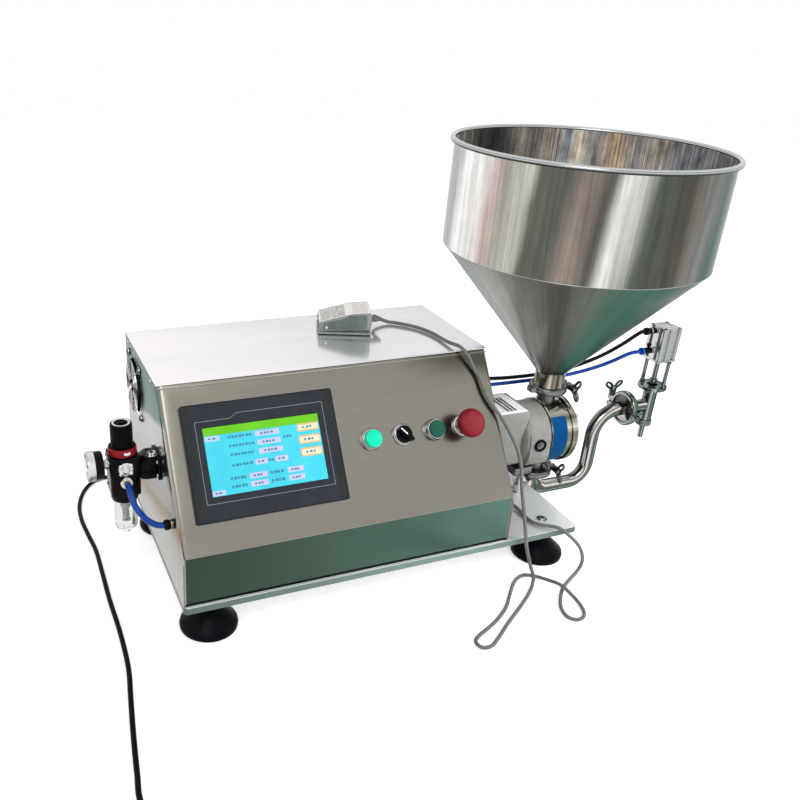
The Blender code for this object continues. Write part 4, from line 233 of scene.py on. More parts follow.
def streaked_with_painted_reflections(name, stops, centre, axis="Z", rough=(0.1, 0.2), wander=0.006, fine=0.2, coarse=0.2, mottle=0.0,
             metallic=1.0, counts=(420.0, 110.0), lean=0.0, gain=1.0, **sockets):
    """Mirror-bright sheet round an axis; painted reflection bands by the angle in degrees, fine lines along
    the axis.
    """
    look = Look(name, metallic, Specular_IOR_Level=0.3, **sockets)
    turn, height = round_turn(look, centre, axis)
    moved = look.stir(turn, (4, 4, 9), 2.0, wander * 2)
    if lean:
        depth = look.math("SUBTRACT", HOPPER_TOP, height)
        moved = look.math("ADD", moved, look.math("MULTIPLY", depth, lean))
    tone = look.ramp(moved, sorted((((angle + 180) % 360) / 360, colour) for angle, colour in stops))
    lines = turn_lines(look, turn, height, counts[0])
    tone = look.swing(tone, lines, fine, gain)
    tone = look.swing(tone, turn_lines(look, turn, height, counts[1]), coarse)
    if mottle:
        tone = look.swing(tone, look.noise((70, 70, 34), 4.0, 0.65), mottle)
    look.feed("Base Color", tone)
    look.rub(look.noise(16, 4.0, 0.6), rough)
    look.bump(lines, 0.05, 0.0001)


def cast_paint(name, dark, light, rough=(0.42, 0.58), bump=0.22):
    """Thick paint over a casting: faint mottling and orange peel."""
    look = Look(name, Specular_IOR_Level=0.2)
    mottle = look.noise(45, 5.0, 0.6)
    look.feed("Base Color", look.clouds(mottle, dark, light, 0.32))
    look.rub(mottle, rough)
    look.bump(look.noise(700, 2.0), bump, 0.0003)


def moulded(name, dark, light, rough=(0.35, 0.5), grain=0.2, specular=0.2, **sockets):
    """Moulded plastic or rubber with a fine spark-eroded grain."""
    look = Look(name, Specular_IOR_Level=specular, **sockets)
    worn = look.noise(35, 4.0, 0.6)
    look.feed("Base Color", look.clouds(worn, dark, light))
    look.rub(worn, rough)
    look.bump(look.noise(1400, 2.0), grain, 0.0002)


# Painted reflections on the cabinet's left side, by height: tan patches low down, green bands near the top;
# SIDE_RISE lifts the bands towards the front
SIDE_RISE = 0.26
SIDE_REFLECTION_TONES = ((0.0, "bdbab4"), (0.05, "b1aba1"), (0.09, "a5917a"), (0.13, "96805f"), (0.17, "aba59c"),
              (0.34, "b9b7b2"), (0.5, "c8c8c5"), (0.585, "cbccc9"), (0.62, "68857c"), (0.8, "53766d"),
              (1.0, "64857c"))
SKIRT_TONES = ((0.0, "3e5046"), (0.3, "4a5f54"), (0.62, "557064"), (1.0, "698c7f"))
# Teal tones for the base plate's edges: a painted reflection of a green floor
EDGE_REFLECTION_TONES = ((0.0, "5f6f69"), (0.35, "6f8780"), (0.7, "819c93"), (0.96, "63766f"))


def cabinet_sheet():
    """Cabinet wrap: brushed front, left side painted with reflection bands by height, plain steel elsewhere.
    """
    look = Look("cabinet_sheet", 1.0, Specular_Tint=grade(0.85))
    lines = look.brush("X", (0.16, 0.3), 0.1)
    front = look.shade(look.clouds(look.noise((3, 9, 9), 3.0, 0.5), "8c877f", "969186"), lines, 0.95)
    front = look.swing(front, look.noise((4, 170, 170), 4.0, 0.6, (5, 2, 7)), 0.025)
    height = look.spread(look.part()["Z"], 0.0, 1.0, PLATE_TOP, CAB_TOP)
    front_share = look.spread(look.part()["Y"], SIDE_RISE, 0.0, ORIGIN.y + 0.06, ORIGIN.y + 0.31)
    height = look.math("SUBTRACT", look.stir(height, 14, 3.0, 0.05), front_share)
    left = look.spread(look.part("Normal")["X"], 1.0, 0.0, -0.9, -0.5)
    look.feed("Base Color", look.mix(left, front, look.ramp(height, SIDE_REFLECTION_TONES)))


def skirt_sheet():
    """Front skirt: dark green reflection of the floor, lighter towards its right end."""
    look = Look("skirt_sheet", 1.0, Specular_Tint=grade(0.5))
    lines = look.brush("X", (0.22, 0.34), 0.1)
    share = look.spread(look.part()["X"], 0.0, 1.0, ORIGIN.x, ORIGIN.x + CAB_WIDTH)
    tone = look.ramp(look.stir(share, 9, 3.0, 0.2), SKIRT_TONES)
    look.feed("Base Color", look.shade(tone, lines, 0.92))


def top_sheet():
    """Top cover: satin sheet with faint warm and cool clouds, whiter towards its left end."""
    look = Look("top_steel", 0.72)
    lines = look.brush("X", (0.12, 0.2), 0.03)
    clouds = look.noise((5, 11, 11), 3.0, 0.5)
    share = look.spread(look.part()["X"], 0.0, 1.0, ORIGIN.x, ORIGIN.x + 0.3)
    warm = look.clouds(clouds, "f4f2f6", "fff8f7", 0.35)
    cool = look.clouds(clouds, "d9dcdf", "e8e8ea", 0.35)
    look.feed("Base Color", look.shade(look.mix(share, warm, cool), lines, 0.975))


def plate_sheet():
    """Base plate: bright ground top, painted shade beside the cabinet's right end, and teal edges that are a
    painted reflection.
    """
    look = Look("plate_sheet", 0.3, Specular_IOR_Level=0.4)
    lines = look.brush("X", (0.24, 0.4), 0.15)
    top = look.clouds(look.noise(6), "d6dada", "ecedee")
    along = look.part()["X"]
    edge = look.ramp(look.spread(along, 0, 1, ORIGIN.x, ORIGIN.x + 0.6), EDGE_REFLECTION_TONES)
    # Painted shade on the plate's top: darkest at the cabinet's right end, fading out to the right; none
    # under the cabinet
    beside = look.spread(along, 0.76, 0.97, ORIGIN.x + 0.475, ORIGIN.x + 0.6)
    beyond = look.spread(along, 1.0, 0.0, ORIGIN.x + 0.47, ORIGIN.x + 0.474)
    top = look.mix(1.0, top, look.math("MAXIMUM", beside, beyond), "MULTIPLY")
    flat = look.spread(look.math("ABSOLUTE", look.part("Normal")["Z"], 0), 0.0, 1.0, 0.5, 0.7)
    look.feed("Base Color", look.shade(look.mix(flat, edge, top), lines, 0.95))


def clear_bowl():
    """Clear plastic of the filter bowl, faintly scratched."""
    look = Look("clear_bowl", Transmission_Weight=1.0, IOR=1.42)
    look.feed("Base Color", (0.9, 0.92, 0.91, 1))
    scuffs = look.noise((300, 300, 60), 4.0, 0.6)
    look.rub(scuffs, (0.02, 0.1))
    look.bump(scuffs, 0.05, 0.0002)


def rough_pad():
    """Coarse anti-slip surface of the treadle."""
    look = Look("pedal_pad")
    grains = look.noise(300, 5.0, 0.7)
    look.feed("Base Color", look.clouds(grains, "8d8b88", "f0eeea", 0.35))
    look.rub(grains, (0.6, 0.8))
    look.bump(grains, 0.6, 0.0006)


HOPPER_TOP = 0.58
# Painted reflections round an axis, by angle in degrees: the hopper's wall, cone, inside and neck, and the
# pump case
WALL_REFLECTION_TONES = (
    (168, "b4b2b0"), (175, "f8f7f5"), (190, "ebe7e3"), (194, "c9b4af"), (201, "a9a79c"), (210, "bfbeb4"),
    (214, "62665c"), (224, "5f605a"), (230, "978a81"), (236, "7c726b"), (240, "52514e"), (245, "e6e6e3"),
    (252, "bdbeb9"), (257, "5a605a"), (272, "524f49"), (279, "7c766f"), (288, "7f8380"), (296, "425c56"),
    (310, "37655b"), (330, "767d79"), (75, "b4b4ae"))
CONE_REFLECTION_TONES = (
    (150, "6f9a8a"), (165, "b4bdb9"), (182, "c8c8c4"), (200, "cbc7bf"), (214, "a5a198"), (224, "86837a"),
    (240, "7a7f77"), (250, "537666"), (262, "3c7060"), (284, "366b59"), (304, "4f7d70"), (330, "8a8d88"),
    (0, "b5b5b0"), (60, "8f8f89"), (110, "a0a09a"))
INSIDE_REFLECTION_TONES = (
    (150, "b5b5b0"), (112, "3c383a"), (101, "323036"), (93, "48463f"), (87, "7f7b74"), (79, "68635f"),
    (70, "a09487"), (62, "858b94"), (57, "e6d7c1"), (50, "83858a"), (40, "b09a82"), (28, "8c8b8c"),
    (19, "9d9083"), (6, "999ea5"), (345, "868a90"), (300, "8a8a86"), (225, "a0a09a"))
NECK_REFLECTION_TONES = (
    (172, "8f8a80"), (184, "d6d3cc"), (200, "857e6e"), (218, "4c473c"), (236, "c2bdb1"), (247, "5a5548"),
    (256, "948c7b"), (266, "3d3a31"), (288, "b9b9b0"), (310, "6a766e"), (60, "a5a59f"))
CASE_REFLECTION_TONES = (
    (90, "dedbd4"), (108, "8b877c"), (118, "d9d4c9"), (138, "5f5c52"), (154, "e0dbcf"), (164, "8a8678"),
    (184, "9f9b8c"), (194, "67695c"), (206, "43684f"), (232, "3c5a44"), (275, "6c7a72"), (320, "8d928e"),
    (30, "8f8f89"))
HOPPER_AXIS = (ORIGIN.x + PORT_X, ORIGIN.y + PUMP_Y, 0)
PUMP_AXIS = (0, ORIGIN.y + PUMP_Y, PUMP_Z)
# Painted reflections and highlights of polished parts, from a face turned away (0) to one turned towards a
# chosen way (1)
PIPE_REFLECTION_STOPS = ((0.1, "16201b"), (0.17, "22332b"), (0.24, "4c6358"), (0.3, "8aa196"), (0.35, "4a5a52"),
              (0.42, "5f5d58"), (0.48, "8d8883"), (0.53, "dfdbd7"), (0.58, "e6e3e0"), (0.63, "7a736e"),
              (0.68, "968f8a"), (0.74, "cbc7c3"), (0.79, "dcd9d6"), (0.83, "6d6a67"), (0.87, "2e302e"),
              (1.0, "8a8785"))
VALVE_REFLECTION_STOPS = ((0.0, "7f8f88"), (0.1, "2f3c37"), (0.24, "4b5c55"), (0.36, "6f827a"), (0.46, "33403b"),
               (0.54, "b9c0bb"), (0.62, "9aa39e"), (0.7, "3c4743"), (0.82, "566560"), (0.92, "c9ccc8"),
               (1.0, "8d9490"))
ACROSS = (-0.85, 0.37, 0.0)
ACROSS_UP = (-0.66, 0.29, 0.66)
BRIGHT_REFLECTION_STOPS = ((0.0, "4f5653"), (0.3, "7b807e"), (0.45, "c4c6c4"), (0.58, "6a6e6c"), (0.74, "dcdcda"),
                (0.9, "e6e6e4"), (1.0, "b9b9b7"))
BEAD_REFLECTION_STOPS = ((0.0, "2f3633"), (0.36, "414744"), (0.46, "565b59"), (0.54, "b9bcbb"), (0.62, "cdd0cf"),
              (0.7, "868a88"), (0.78, "9b9e9d"), (0.86, "e6e8e7"), (0.93, "b0b3b2"), (1.0, "c4c6c5"))
DARK_REFLECTION_STOPS = ((0.0, "232625"), (0.35, "313534"), (0.5, "717472"), (0.6, "3c403f"), (0.75, "8b8d8b"),
              (1.0, "626563"))
CHROME_REFLECTION_STOPS = ((0.0, "202624"), (0.3, "6a706e"), (0.42, "d8dad8"), (0.55, "4b504e"), (0.7, "f0f0ee"),
                (0.85, "9a9d9b"), (1.0, "e6e6e4"))
GUARD_REFLECTION_STOPS = ((0.0, "1c2220"), (0.3, "2a312e"), (0.42, "dfe3e1"), (0.52, "f2f3f2"), (0.6, "262d2a"),
               (0.78, "3c4441"), (0.88, "e9ebea"), (1.0, "b9bdbb"))
ALU_REFLECTION_STOPS = ((0.0, "5a615e"), (0.3, "858b89"), (0.48, "b6bab8"), (0.58, "b4b8b6"), (0.74, "c6c8c7"),
             (0.85, "e2e3e2"), (1.0, "e9eae9"))
BRASS_REFLECTION_STOPS = ((0.0, "7c6a48"), (0.5, "b39b6d"), (0.75, "e2d3ae"), (1.0, "cdb98c"))
SCREEN_TONES = {"face": ("40c4da", "4acfe2"), "title": ("62bc1c", "6cc626"), "field": ("b9bce6", "c3c6ea"),
                "cream": ("e6d9b6", "ecdfc0"), "orange": ("d9a878", "e2b488"), "mark": ("3d8299", "478da3")}


def make_metals():
    brushed("side_steel", "858b88", "a3aaa6", "Z")
    # Bright brushed look for painted highlights on sheet edges round the skirt and under the cover's front
    # edge
    brushed("skirt_edge_highlight", "a2a49c", "c2c3bb", "X", (0.25, 0.4), 0.1)
    brushed("pump_steel", "8f8c84", "c9c7c0", "Y", (0.16, 0.28))
    streaked_with_painted_reflections("hopper_wall", WALL_REFLECTION_TONES, HOPPER_AXIS, fine=0.17, mottle=0.07, lean=0.075, counts=(460.0, 84.0),
             Specular_Tint=(0.85, 0.86, 0.86, 1))
    streaked_with_painted_reflections("hopper_cone", CONE_REFLECTION_TONES, HOPPER_AXIS, rough=(0.26, 0.38), fine=0.13, coarse=0.1,
             Specular_Tint=(0.62, 0.64, 0.64, 1))
    streaked_with_painted_reflections("hopper_inside", INSIDE_REFLECTION_TONES, HOPPER_AXIS, rough=(0.14, 0.26), wander=0.012, fine=0.5,
             coarse=0.42, mottle=0.4, metallic=0.6, counts=(760.0, 230.0), gain=1.55)
    streaked_with_painted_reflections("case_steel", CASE_REFLECTION_TONES, PUMP_AXIS, "X", (0.12, 0.24), 0.01, 0.16)
    streaked_with_painted_reflections("neck_streaks_and_reflections", NECK_REFLECTION_TONES, HOPPER_AXIS, wander=0.03, fine=0.3, coarse=0.4, counts=(90.0, 34.0))
    # A darker copy of the dark steel: painted shade on the pump's port stubs; the sight glass's centre hex
    # wears it too
    polished_with_painted_reflections("neck_dark", DARK_REFLECTION_STOPS, (-0.8, -0.5, 0.2), (0.2, 0.32))
    polished_with_painted_reflections("bright_steel", BRIGHT_REFLECTION_STOPS, (-0.4, -0.5, 0.8), (0.12, 0.24), 0.08)
    polished_with_painted_reflections("bead_steel", BEAD_REFLECTION_STOPS, ripple=0.04, edge=0.9)
    polished_with_painted_reflections("pipe_steel", PIPE_REFLECTION_STOPS, ACROSS_UP, (0.08, 0.18), 0.07, 30)
    polished_with_painted_reflections("valve_steel", VALVE_REFLECTION_STOPS, ACROSS, (0.1, 0.2), 0.05, 30)
    polished_with_painted_reflections("dark_steel", DARK_REFLECTION_STOPS, (-0.3, -0.5, 0.8), (0.14, 0.28))
    polished_with_painted_reflections("chrome", CHROME_REFLECTION_STOPS, (-0.5, -0.5, 0.7), (0.05, 0.12), 0.12)
    polished_with_painted_reflections("guard_steel", GUARD_REFLECTION_STOPS, (0.2, -0.6, 0.7), (0.08, 0.16), 0.3, 90, edge=0.6)
    polished_with_painted_reflections("aluminium", ALU_REFLECTION_STOPS, (-0.7, -0.1, 0.7), (0.22, 0.34), 0.04)
    polished_with_painted_reflections("brass", BRASS_REFLECTION_STOPS, (-0.4, -0.5, 0.8))


def make_plastics():
    moulded("black_plastic", "030405", "08090b", (0.3, 0.42), specular=0.06)
    moulded("black_gloss", "020304", "060709", (0.14, 0.24), 0.05, 0.1)
    moulded("black_rubber", "020406", "070b10", (0.3, 0.45), specular=0.06)
    moulded("slot_black", "0a0a0b", "131314", (0.6, 0.8), specular=0.06)
    moulded("screen_plastic", "23262d", "2b2e36", (0.34, 0.46))
    moulded("screen_side", "1f2627", "262d2e", (0.34, 0.46))
    moulded("screen_edge", "0f1214", "171a1c", (0.34, 0.46))
    moulded("screen_line", "7a7e84", "878b91", (0.3, 0.4), 0.05)
    for name, tones in SCREEN_TONES.items():
        moulded("screen_" + name, *tones, (0.1, 0.16), 0.0)
    moulded("lamp_green", "02cca0", "04e8b8", (0.12, 0.2), 0.02)
    moulded("start_green", "134a3b", "195848", (0.2, 0.3), 0.04)
    moulded("stop_red", "690b16", "781620", (0.3, 0.4), 0.08, 0.15)
    moulded("stop_top", "771a26", "872430", (0.34, 0.44), 0.08, 0.15)
    moulded("ring_red", "7e0b1b", "951526", (0.25, 0.35), 0.08)
    moulded("band_blue", "01396a", "024578", (0.36, 0.5), 0.1, 0.04)
    moulded("hose_blue", "01388c", "05459c", (0.1, 0.18), 0.03, Coat_Weight=0.06)
    moulded("hose_black", "060708", "0c0d0f", (0.2, 0.32), 0.04, 0.15)
    moulded("cord_grey", "646661", "737570", (0.42, 0.55), 0.15)
    moulded("cord_black", "030304", "070708", (0.3, 0.42), 0.12, 0.08)
    moulded("filter_grey", "c0c6bb", "dde1d6", (0.4, 0.6))


def make_paints():
    cast_paint("cast_grey", "7f807c", "8e8f8b")
    cast_paint("cast_shade", "585b56", "666963")
    cast_paint("cast_top", "f0f0f2", "fafafb")
    cast_paint("white_paint", "f4f4f6", "fbfbfc", (0.3, 0.42), 0.05)
    cast_paint("pedal_grey", "5f6866", "727b7a", (0.38, 0.5), 0.3)
    cast_paint("pedal_pale", "7f8685", "949b9a", (0.38, 0.5), 0.2)
    cast_paint("pedal_white", "e9e7e4", "f3f1ef", (0.35, 0.48), 0.08)
    cast_paint("pedal_plate", "d9d2ce", "e6dfda", (0.3, 0.4), 0.05)
    # Grey for the strips in the cylinder's grooves: painted shade
    cast_paint("groove_painted_shade", "6e7471", "7d8380")


NODE_LOOKS = {
    "plate_sheet": ("base_plate",),
    "cabinet_sheet": ("housing_wrap",),
    "top_steel": ("top_cover",),
    "skirt_sheet": ("front_skirt",),
    "side_steel": ("rear_panel",),
    "black_plastic": ("gearmotor",),
    "slot_black": ("fan_frame", "fan_impeller"),
    "pump_steel": ("shaft_coupling", "drive_rotor", "idler_rotor", "rotor_case"),
    "valve_steel": ("valve_piston",),
    "screen_plastic": ("screen_housing",),
    "hose_black": ("air_hose_black",),
    "hose_blue": ("air_hose_blue", "regulator_hose"),
    "cord_black": ("mains_plug",),
}
SMOOTH_ANGLE = math.radians(32)
BEVELLED = {"base_plate": 0.0008, "housing_wrap": 0.0005, "top_cover": 0.0008, "front_skirt": 0.0003,
            "screen_housing": 0.0008, "rear_panel": 0.0004}


def clean_shading():
    """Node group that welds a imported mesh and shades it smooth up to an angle."""
    group = bpy.data.node_groups.new("clean_shading", "GeometryNodeTree")
    for way in ("INPUT", "OUTPUT"):
        group.interface.new_socket("Geometry", in_out=way, socket_type="NodeSocketGeometry")
    add = group.nodes.new
    link = group.links.new
    start = add("NodeGroupInput")
    weld = add("GeometryNodeMergeByDistance")
    weld.inputs["Distance"].default_value = 0.00001
    normals = add("GeometryNodeSetMeshNormal")
    normals.mode = "SHARPNESS"
    normals.inputs["Remove Custom"].default_value = True
    angle = add("GeometryNodeInputMeshEdgeAngle")
    sharp = add("FunctionNodeCompare")
    sharp.inputs["B"].default_value = SMOOTH_ANGLE
    end = add("NodeGroupOutput")
    link(start.outputs[0], weld.inputs["Geometry"])
    link(weld.outputs["Geometry"], normals.inputs["Mesh"])
    link(angle.outputs["Unsigned Angle"], sharp.inputs["A"])
    link(sharp.outputs["Result"], normals.inputs["Edge Sharpness"])
    link(normals.outputs["Mesh"], end.inputs[0])
    return group


def dress_nodes():
    group = clean_shading()
    for look, names in NODE_LOOKS.items():
        for name in names:
            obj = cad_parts[name]
            for slot in obj.material_slots:
                slot.link = "OBJECT"
                slot.material = LOOKS[look]
            modifier = obj.modifiers.new("clean_shading", "NODES")
            modifier.node_group = group
            if name in BEVELLED:
                bevel = obj.modifiers.new("edges", "BEVEL")
                bevel.width = BEVELLED[name]
                bevel.segments = 2


# Camera, light and surroundings
def add_object(name, data):
    obj = bpy.data.objects.new(name, data)
    bpy.context.scene.collection.objects.link(obj)
    return obj


def add_camera():
    back = Vector((math.sin(CAMERA_AZIMUTH) * math.cos(CAMERA_ELEVATION),
                   -math.cos(CAMERA_AZIMUTH) * math.cos(CAMERA_ELEVATION), math.sin(CAMERA_ELEVATION)))
    right = (-back).cross(Z).normalized()
    up = right.cross(-back)
    side = math.cos(CAMERA_ROLL) * right + math.sin(CAMERA_ROLL) * up
    top = -math.sin(CAMERA_ROLL) * right + math.cos(CAMERA_ROLL) * up
    data = bpy.data.cameras.new("camera")
    data.lens = CAMERA_LENS
    data.shift_x, data.shift_y = CAMERA_SHIFT
    camera = add_object("camera", data)
    camera.matrix_world = Matrix.Translation(CAMERA_PLACE) @ Matrix((side, top, back)).transposed().to_4x4()
    bpy.context.scene.camera = camera


WORLD_STRENGTH = 0.7


def add_world():
    """White to the camera, to reflections and through glass; dimmer as a light."""
    world = bpy.data.worlds.new("studio")
    world.use_nodes = True
    bpy.context.scene.world = world
    tree = world.node_tree
    ground = tree.nodes["Background"]
    ground.inputs["Color"].default_value = (1, 1, 1, 1)
    path = tree.nodes.new("ShaderNodeLightPath").outputs
    seen = path["Is Camera Ray"]
    for ray in ("Is Glossy Ray", "Is Transmission Ray"):
        either = tree.nodes.new("ShaderNodeMath")
        either.operation = "MAXIMUM"
        tree.links.new(seen, either.inputs[0])
        tree.links.new(path[ray], either.inputs[1])
        seen = either.outputs[0]
    strength = tree.nodes.new("ShaderNodeMapRange")
    strength.inputs["To Min"].default_value = WORLD_STRENGTH
    strength.inputs["To Max"].default_value = 1.0
    tree.links.new(seen, strength.inputs["Value"])
    tree.links.new(strength.outputs["Result"], ground.inputs["Strength"])


FLOOR_SIZE = 9.0
FLOOR_GLOW = 0.5


def add_floor():
    mesh = bpy.data.meshes.new("floor")
    mesh.from_pydata([(x, y, 0) for x, y in rectangle(FLOOR_SIZE, FLOOR_SIZE)], [], [(0, 1, 2, 3)])
    floor = add_object("floor", mesh)
    look = Look("floor", 0.0, 0.82, Roughness=0.9, Emission_Color=grade(1.0))
    path = look.node("LightPath", {})
    look.feed("Emission Strength", look.math("MULTIPLY", path["Is Camera Ray"], FLOOR_GLOW))
    seen = look.math("MAXIMUM", path["Is Glossy Ray"], path["Is Transmission Ray"])
    white = look.node("Emission", {})["Emission"]
    blend = look.node("MixShader", {0: seen, 1: look.shader.outputs["BSDF"], 2: white})["Shader"]
    look.fill(look.tree.nodes["Material Output"].inputs["Surface"], blend)
    mesh.materials.append(LOOKS["floor"])


def add_lamp(name, place, target, size, power, gloss=False):
    data = bpy.data.lights.new(name, "AREA")
    data.shape = "DISK"
    data.size = size
    data.energy = power
    lamp = add_object(name, data)
    lamp.location = place
    lamp.visible_glossy = gloss
    lamp.rotation_euler = (Vector(target) - Vector(place)).to_track_quat("-Z", "Y").to_euler()
    return lamp


def add_lamps():
    add_lamp("key", (-1.3, -1.7, 2.4), (0, 0, 0.2), 1.6, 20, True)
    add_lamp("fill", (2.2, -1.2, 1.8), (0, 0, 0.2), 1.8, 10)
    add_lamp("low", (0.9, -2.2, 0.8), (0.15, 0, 0.15), 1.2, 12)
    add_lamp("back", (0.4, 2.2, 2.4), (0, 0, 0.2), 1.6, 10)
    add_lamp("near", (0.56, -0.5, 0.56), (0.16, 0, 0.18), 0.3, 3.0).visible_camera = False


# Mesh helpers; shapes are built in the part's own metres and moved to the world when they are finished
def turn_to(axis, place=(0, 0, 0), roll=0.0):
    """Matrix that puts local Z along an axis at a place, with a roll about it."""
    turn = Vector(axis).to_track_quat("Z", "Y").to_matrix().to_4x4()
    return Matrix.Translation(Vector(place)) @ turn @ Matrix.Rotation(roll, 4, "Z")


def lift(matrix, height):
    return matrix @ Matrix.Translation((0, 0, height))


def skin(bm, rings, index=0, caps=True):
    """Faces between rings of as many points, and over both ends."""
    for low, high in zip(rings, rings[1:]):
        for k in range(len(low)):
            m = (k + 1) % len(low)
            bm.faces.new((low[k], low[m], high[m], high[k])).material_index = index
    for ring in (rings[0], rings[-1]) if caps else ():
        bm.faces.new(ring).material_index = index


def add_ring(bm, matrix, radius, height, steps):
    if radius < 1e-7:
        return [bm.verts.new(matrix @ Vector((0, 0, height)))]
    angles = (2 * math.pi * i / steps for i in range(steps))
    spots = (Vector((radius * math.cos(a), radius * math.sin(a), height)) for a in angles)
    return [bm.verts.new(matrix @ spot) for spot in spots]


def add_lathe(bm, matrix, profile, steps=40, index=0):
    """Turns a profile of (radius, height) points about the matrix's Z."""
    rings = [add_ring(bm, matrix, radius, height, steps) for radius, height in profile]
    for low, high in zip(rings, rings[1:]):
        if len(low) == len(high) == 1:
            continue
        for i in range(steps):
            j = (i + 1) % steps
            corners = (low[i % len(low)], low[j % len(low)], high[j % len(high)], high[i % len(high)])
            bm.faces.new(list(dict.fromkeys(corners))).material_index = index


def round_corner(before, corner, after, radius, share, steps):
    """Points of the curve that cuts a corner, using up to a share of its two sides."""
    back = before - corner
    ahead = after - corner
    reach = min(radius, back.length * share, ahead.length * share)
    start = corner + back.normalized() * reach
    end = corner + ahead.normalized() * reach
    shares = [step / steps for step in range(steps + 1)]
    return [tuple(start * (1 - t) ** 2 + corner * 2 * t * (1 - t) + end * t ** 2) for t in shares]


def soften(profile, radius, steps=3):
    """Rounds the corners of a profile, except its two ends."""
    points = [Vector(p) for p in profile]
    out = [tuple(points[0])]
    for trio in zip(points, points[1:], points[2:]):
        out += round_corner(*trio, radius, 0.45, steps)
    return [*out, tuple(points[-1])]


def closed(profile, radius, steps=3):
    """Softened profile that ends where it starts."""
    return [*soften(profile, radius, steps), profile[0]]


def rounded_outline(points, radius, steps=4):
    """Outline with its corners rounded."""
    corners = [Vector(p) for p in points]
    out = []
    for i, corner in enumerate(corners):
        out += round_corner(corners[i - 1], corner, corners[(i + 1) % len(corners)], radius, 0.49, steps)
    return out


def add_disc(bm, matrix, radius, height, edge=0.0005, steps=40, index=0, bore=0.0):
    """Round plate standing on the matrix's XY plane, with rounded edges."""
    profile = [(bore, 0), (radius, 0), (radius, height), (bore, height)]
    add_lathe(bm, matrix, closed(profile, edge) if bore else soften(profile, edge), steps, index)


def add_discs(bm, matrix, *rows):
    """Discs along the matrix's Z, each by height, radius, thickness, edge, steps and material."""
    for height, *size in rows:
        add_disc(bm, lift(matrix, height), *size)


def add_prism(bm, matrix, outline, depth, bevel=0.0, steps=2, index=0):
    """Extrudes an outline from the matrix's XY plane along its Z, with rounded edges."""
    low = [bm.verts.new(matrix @ Vector((x, y, 0))) for x, y in outline]
    high = [bm.verts.new(matrix @ Vector((x, y, depth))) for x, y in outline]
    faces = [bm.faces.new(low), bm.faces.new(high)]
    for i in range(len(low)):
        j = (i + 1) % len(low)
        faces.append(bm.faces.new((low[i], low[j], high[j], high[i])))
    for face in faces:
        face.material_index = index
    if bevel:
        bmesh.ops.recalc_face_normals(bm, faces=faces)
        edges = {e for f in faces for e in f.edges if e.calc_face_angle(0) > math.radians(30)}
        bmesh.ops.bevel(bm, geom=list(edges), offset=bevel, segments=steps, affect="EDGES", profile=0.5,
                        material=-1, clamp_overlap=True)


def add_block(bm, low, high, bevel=0.0, steps=2, index=0, matrix=Matrix()):
    """Box between two corners, with rounded edges."""
    outline = [(low[0], low[1]), (high[0], low[1]), (high[0], high[1]), (low[0], high[1])]
    add_prism(bm, lift(matrix, low[2]), outline, high[2] - low[2], bevel, steps, index)


def hexagon(across_flats):
    radius = across_flats / math.sqrt(3)
    turns = [math.radians(60 * i) for i in range(6)]
    return [(radius * math.cos(a), radius * math.sin(a)) for a in turns]


def add_hex(bm, matrix, across, height, index=0, bore=0.0):
    """Hexagon nut or screw head with a turned chamfer on top."""
    add_prism(bm, matrix, hexagon(across), height * 0.86, 0.0003, 1, index)
    add_lathe(bm, matrix, [(0, 0), (across * 0.47, 0), (across * 0.47, height), (bore, height)], 24, index)


def rectangle(width, height, radius=0.0, centre=(0, 0)):
    corners = [(centre[0] + sx * width / 2, centre[1] + sy * height / 2)
               for sx, sy in ((-1, -1), (1, -1), (1, 1), (-1, 1))]
    return rounded_outline(corners, radius) if radius else corners


def add_tube(bm, points, radius, steps=16, index=0):
    """Round tube along points; the radius is one value, or one for each point."""
    points = [Vector(p) for p in points]
    radii = radius if isinstance(radius, (list, tuple)) else [radius] * len(points)
    side = (points[1] - points[0]).orthogonal().normalized()
    angles = [2 * math.pi * k / steps for k in range(steps)]
    rings = []
    for i, point in enumerate(points):
        along = (points[min(i + 1, len(points) - 1)] - points[max(i - 1, 0)]).normalized()
        side = (side - along * side.dot(along)).normalized()
        other = along.cross(side)
        spokes = (side * math.cos(a) + other * math.sin(a) for a in angles)
        rings.append([bm.verts.new(point + spoke * radii[i]) for spoke in spokes])
    skin(bm, rings, index)


def arc(centre, radius, start, end, steps, u=X, v=Z):
    """Points on an arc in the plane of two axes, angles in degrees."""
    angles = (math.radians(start + (end - start) * i / steps) for i in range(steps + 1))
    return [Vector(centre) + (Vector(u) * math.cos(a) + Vector(v) * math.sin(a)) * radius for a in angles]


def finish_piece(name, bm, looks, body="machine", stands_for=(), angle=SMOOTH_ANGLE):
    """Makes the piece in the world's frame, on its body."""
    bmesh.ops.remove_doubles(bm, verts=bm.verts, dist=1e-6)
    bmesh.ops.recalc_face_normals(bm, faces=bm.faces)
    bmesh.ops.translate(bm, verts=bm.verts, vec=ORIGIN)
    mesh = bpy.data.meshes.new(name)
    bm.to_mesh(mesh)
    bm.free()
    for look in (looks,) if isinstance(looks, str) else looks:
        mesh.materials.append(LOOKS[look])
    for polygon in mesh.polygons:
        polygon.use_smooth = True
    mesh.set_sharp_from_angle(angle=angle)
    obj = add_object(name, mesh)
    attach(obj, body)
    if stands_for:
        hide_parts(*((stands_for,) if isinstance(stands_for, str) else stands_for))
    return obj


def on_slope(u, v, height=0.0):
    """Matrix of a place on the sloped front: X runs right, Y up the slope and Z out of it."""
    foot = Matrix.Translation((0, 0, SKIRT_TOP)) @ Matrix.Rotation(SLOPE_ANGLE, 4, "X")
    return foot @ Matrix.Translation((u, v, height))


# Hopper
HOPPER_R = 0.1875
HOPPER_WALL = 0.002
HOPPER_RIM = 0.5845
HOPPER_BEND = 0.442
HOPPER_CONE = 0.253
HOPPER_FOOT = 0.2253
NECK_R = 0.0229
FERRULE_R = 0.02525
BEAD_R = 0.004
SEAM = 0.0007
HOPPER_STEPS = 160


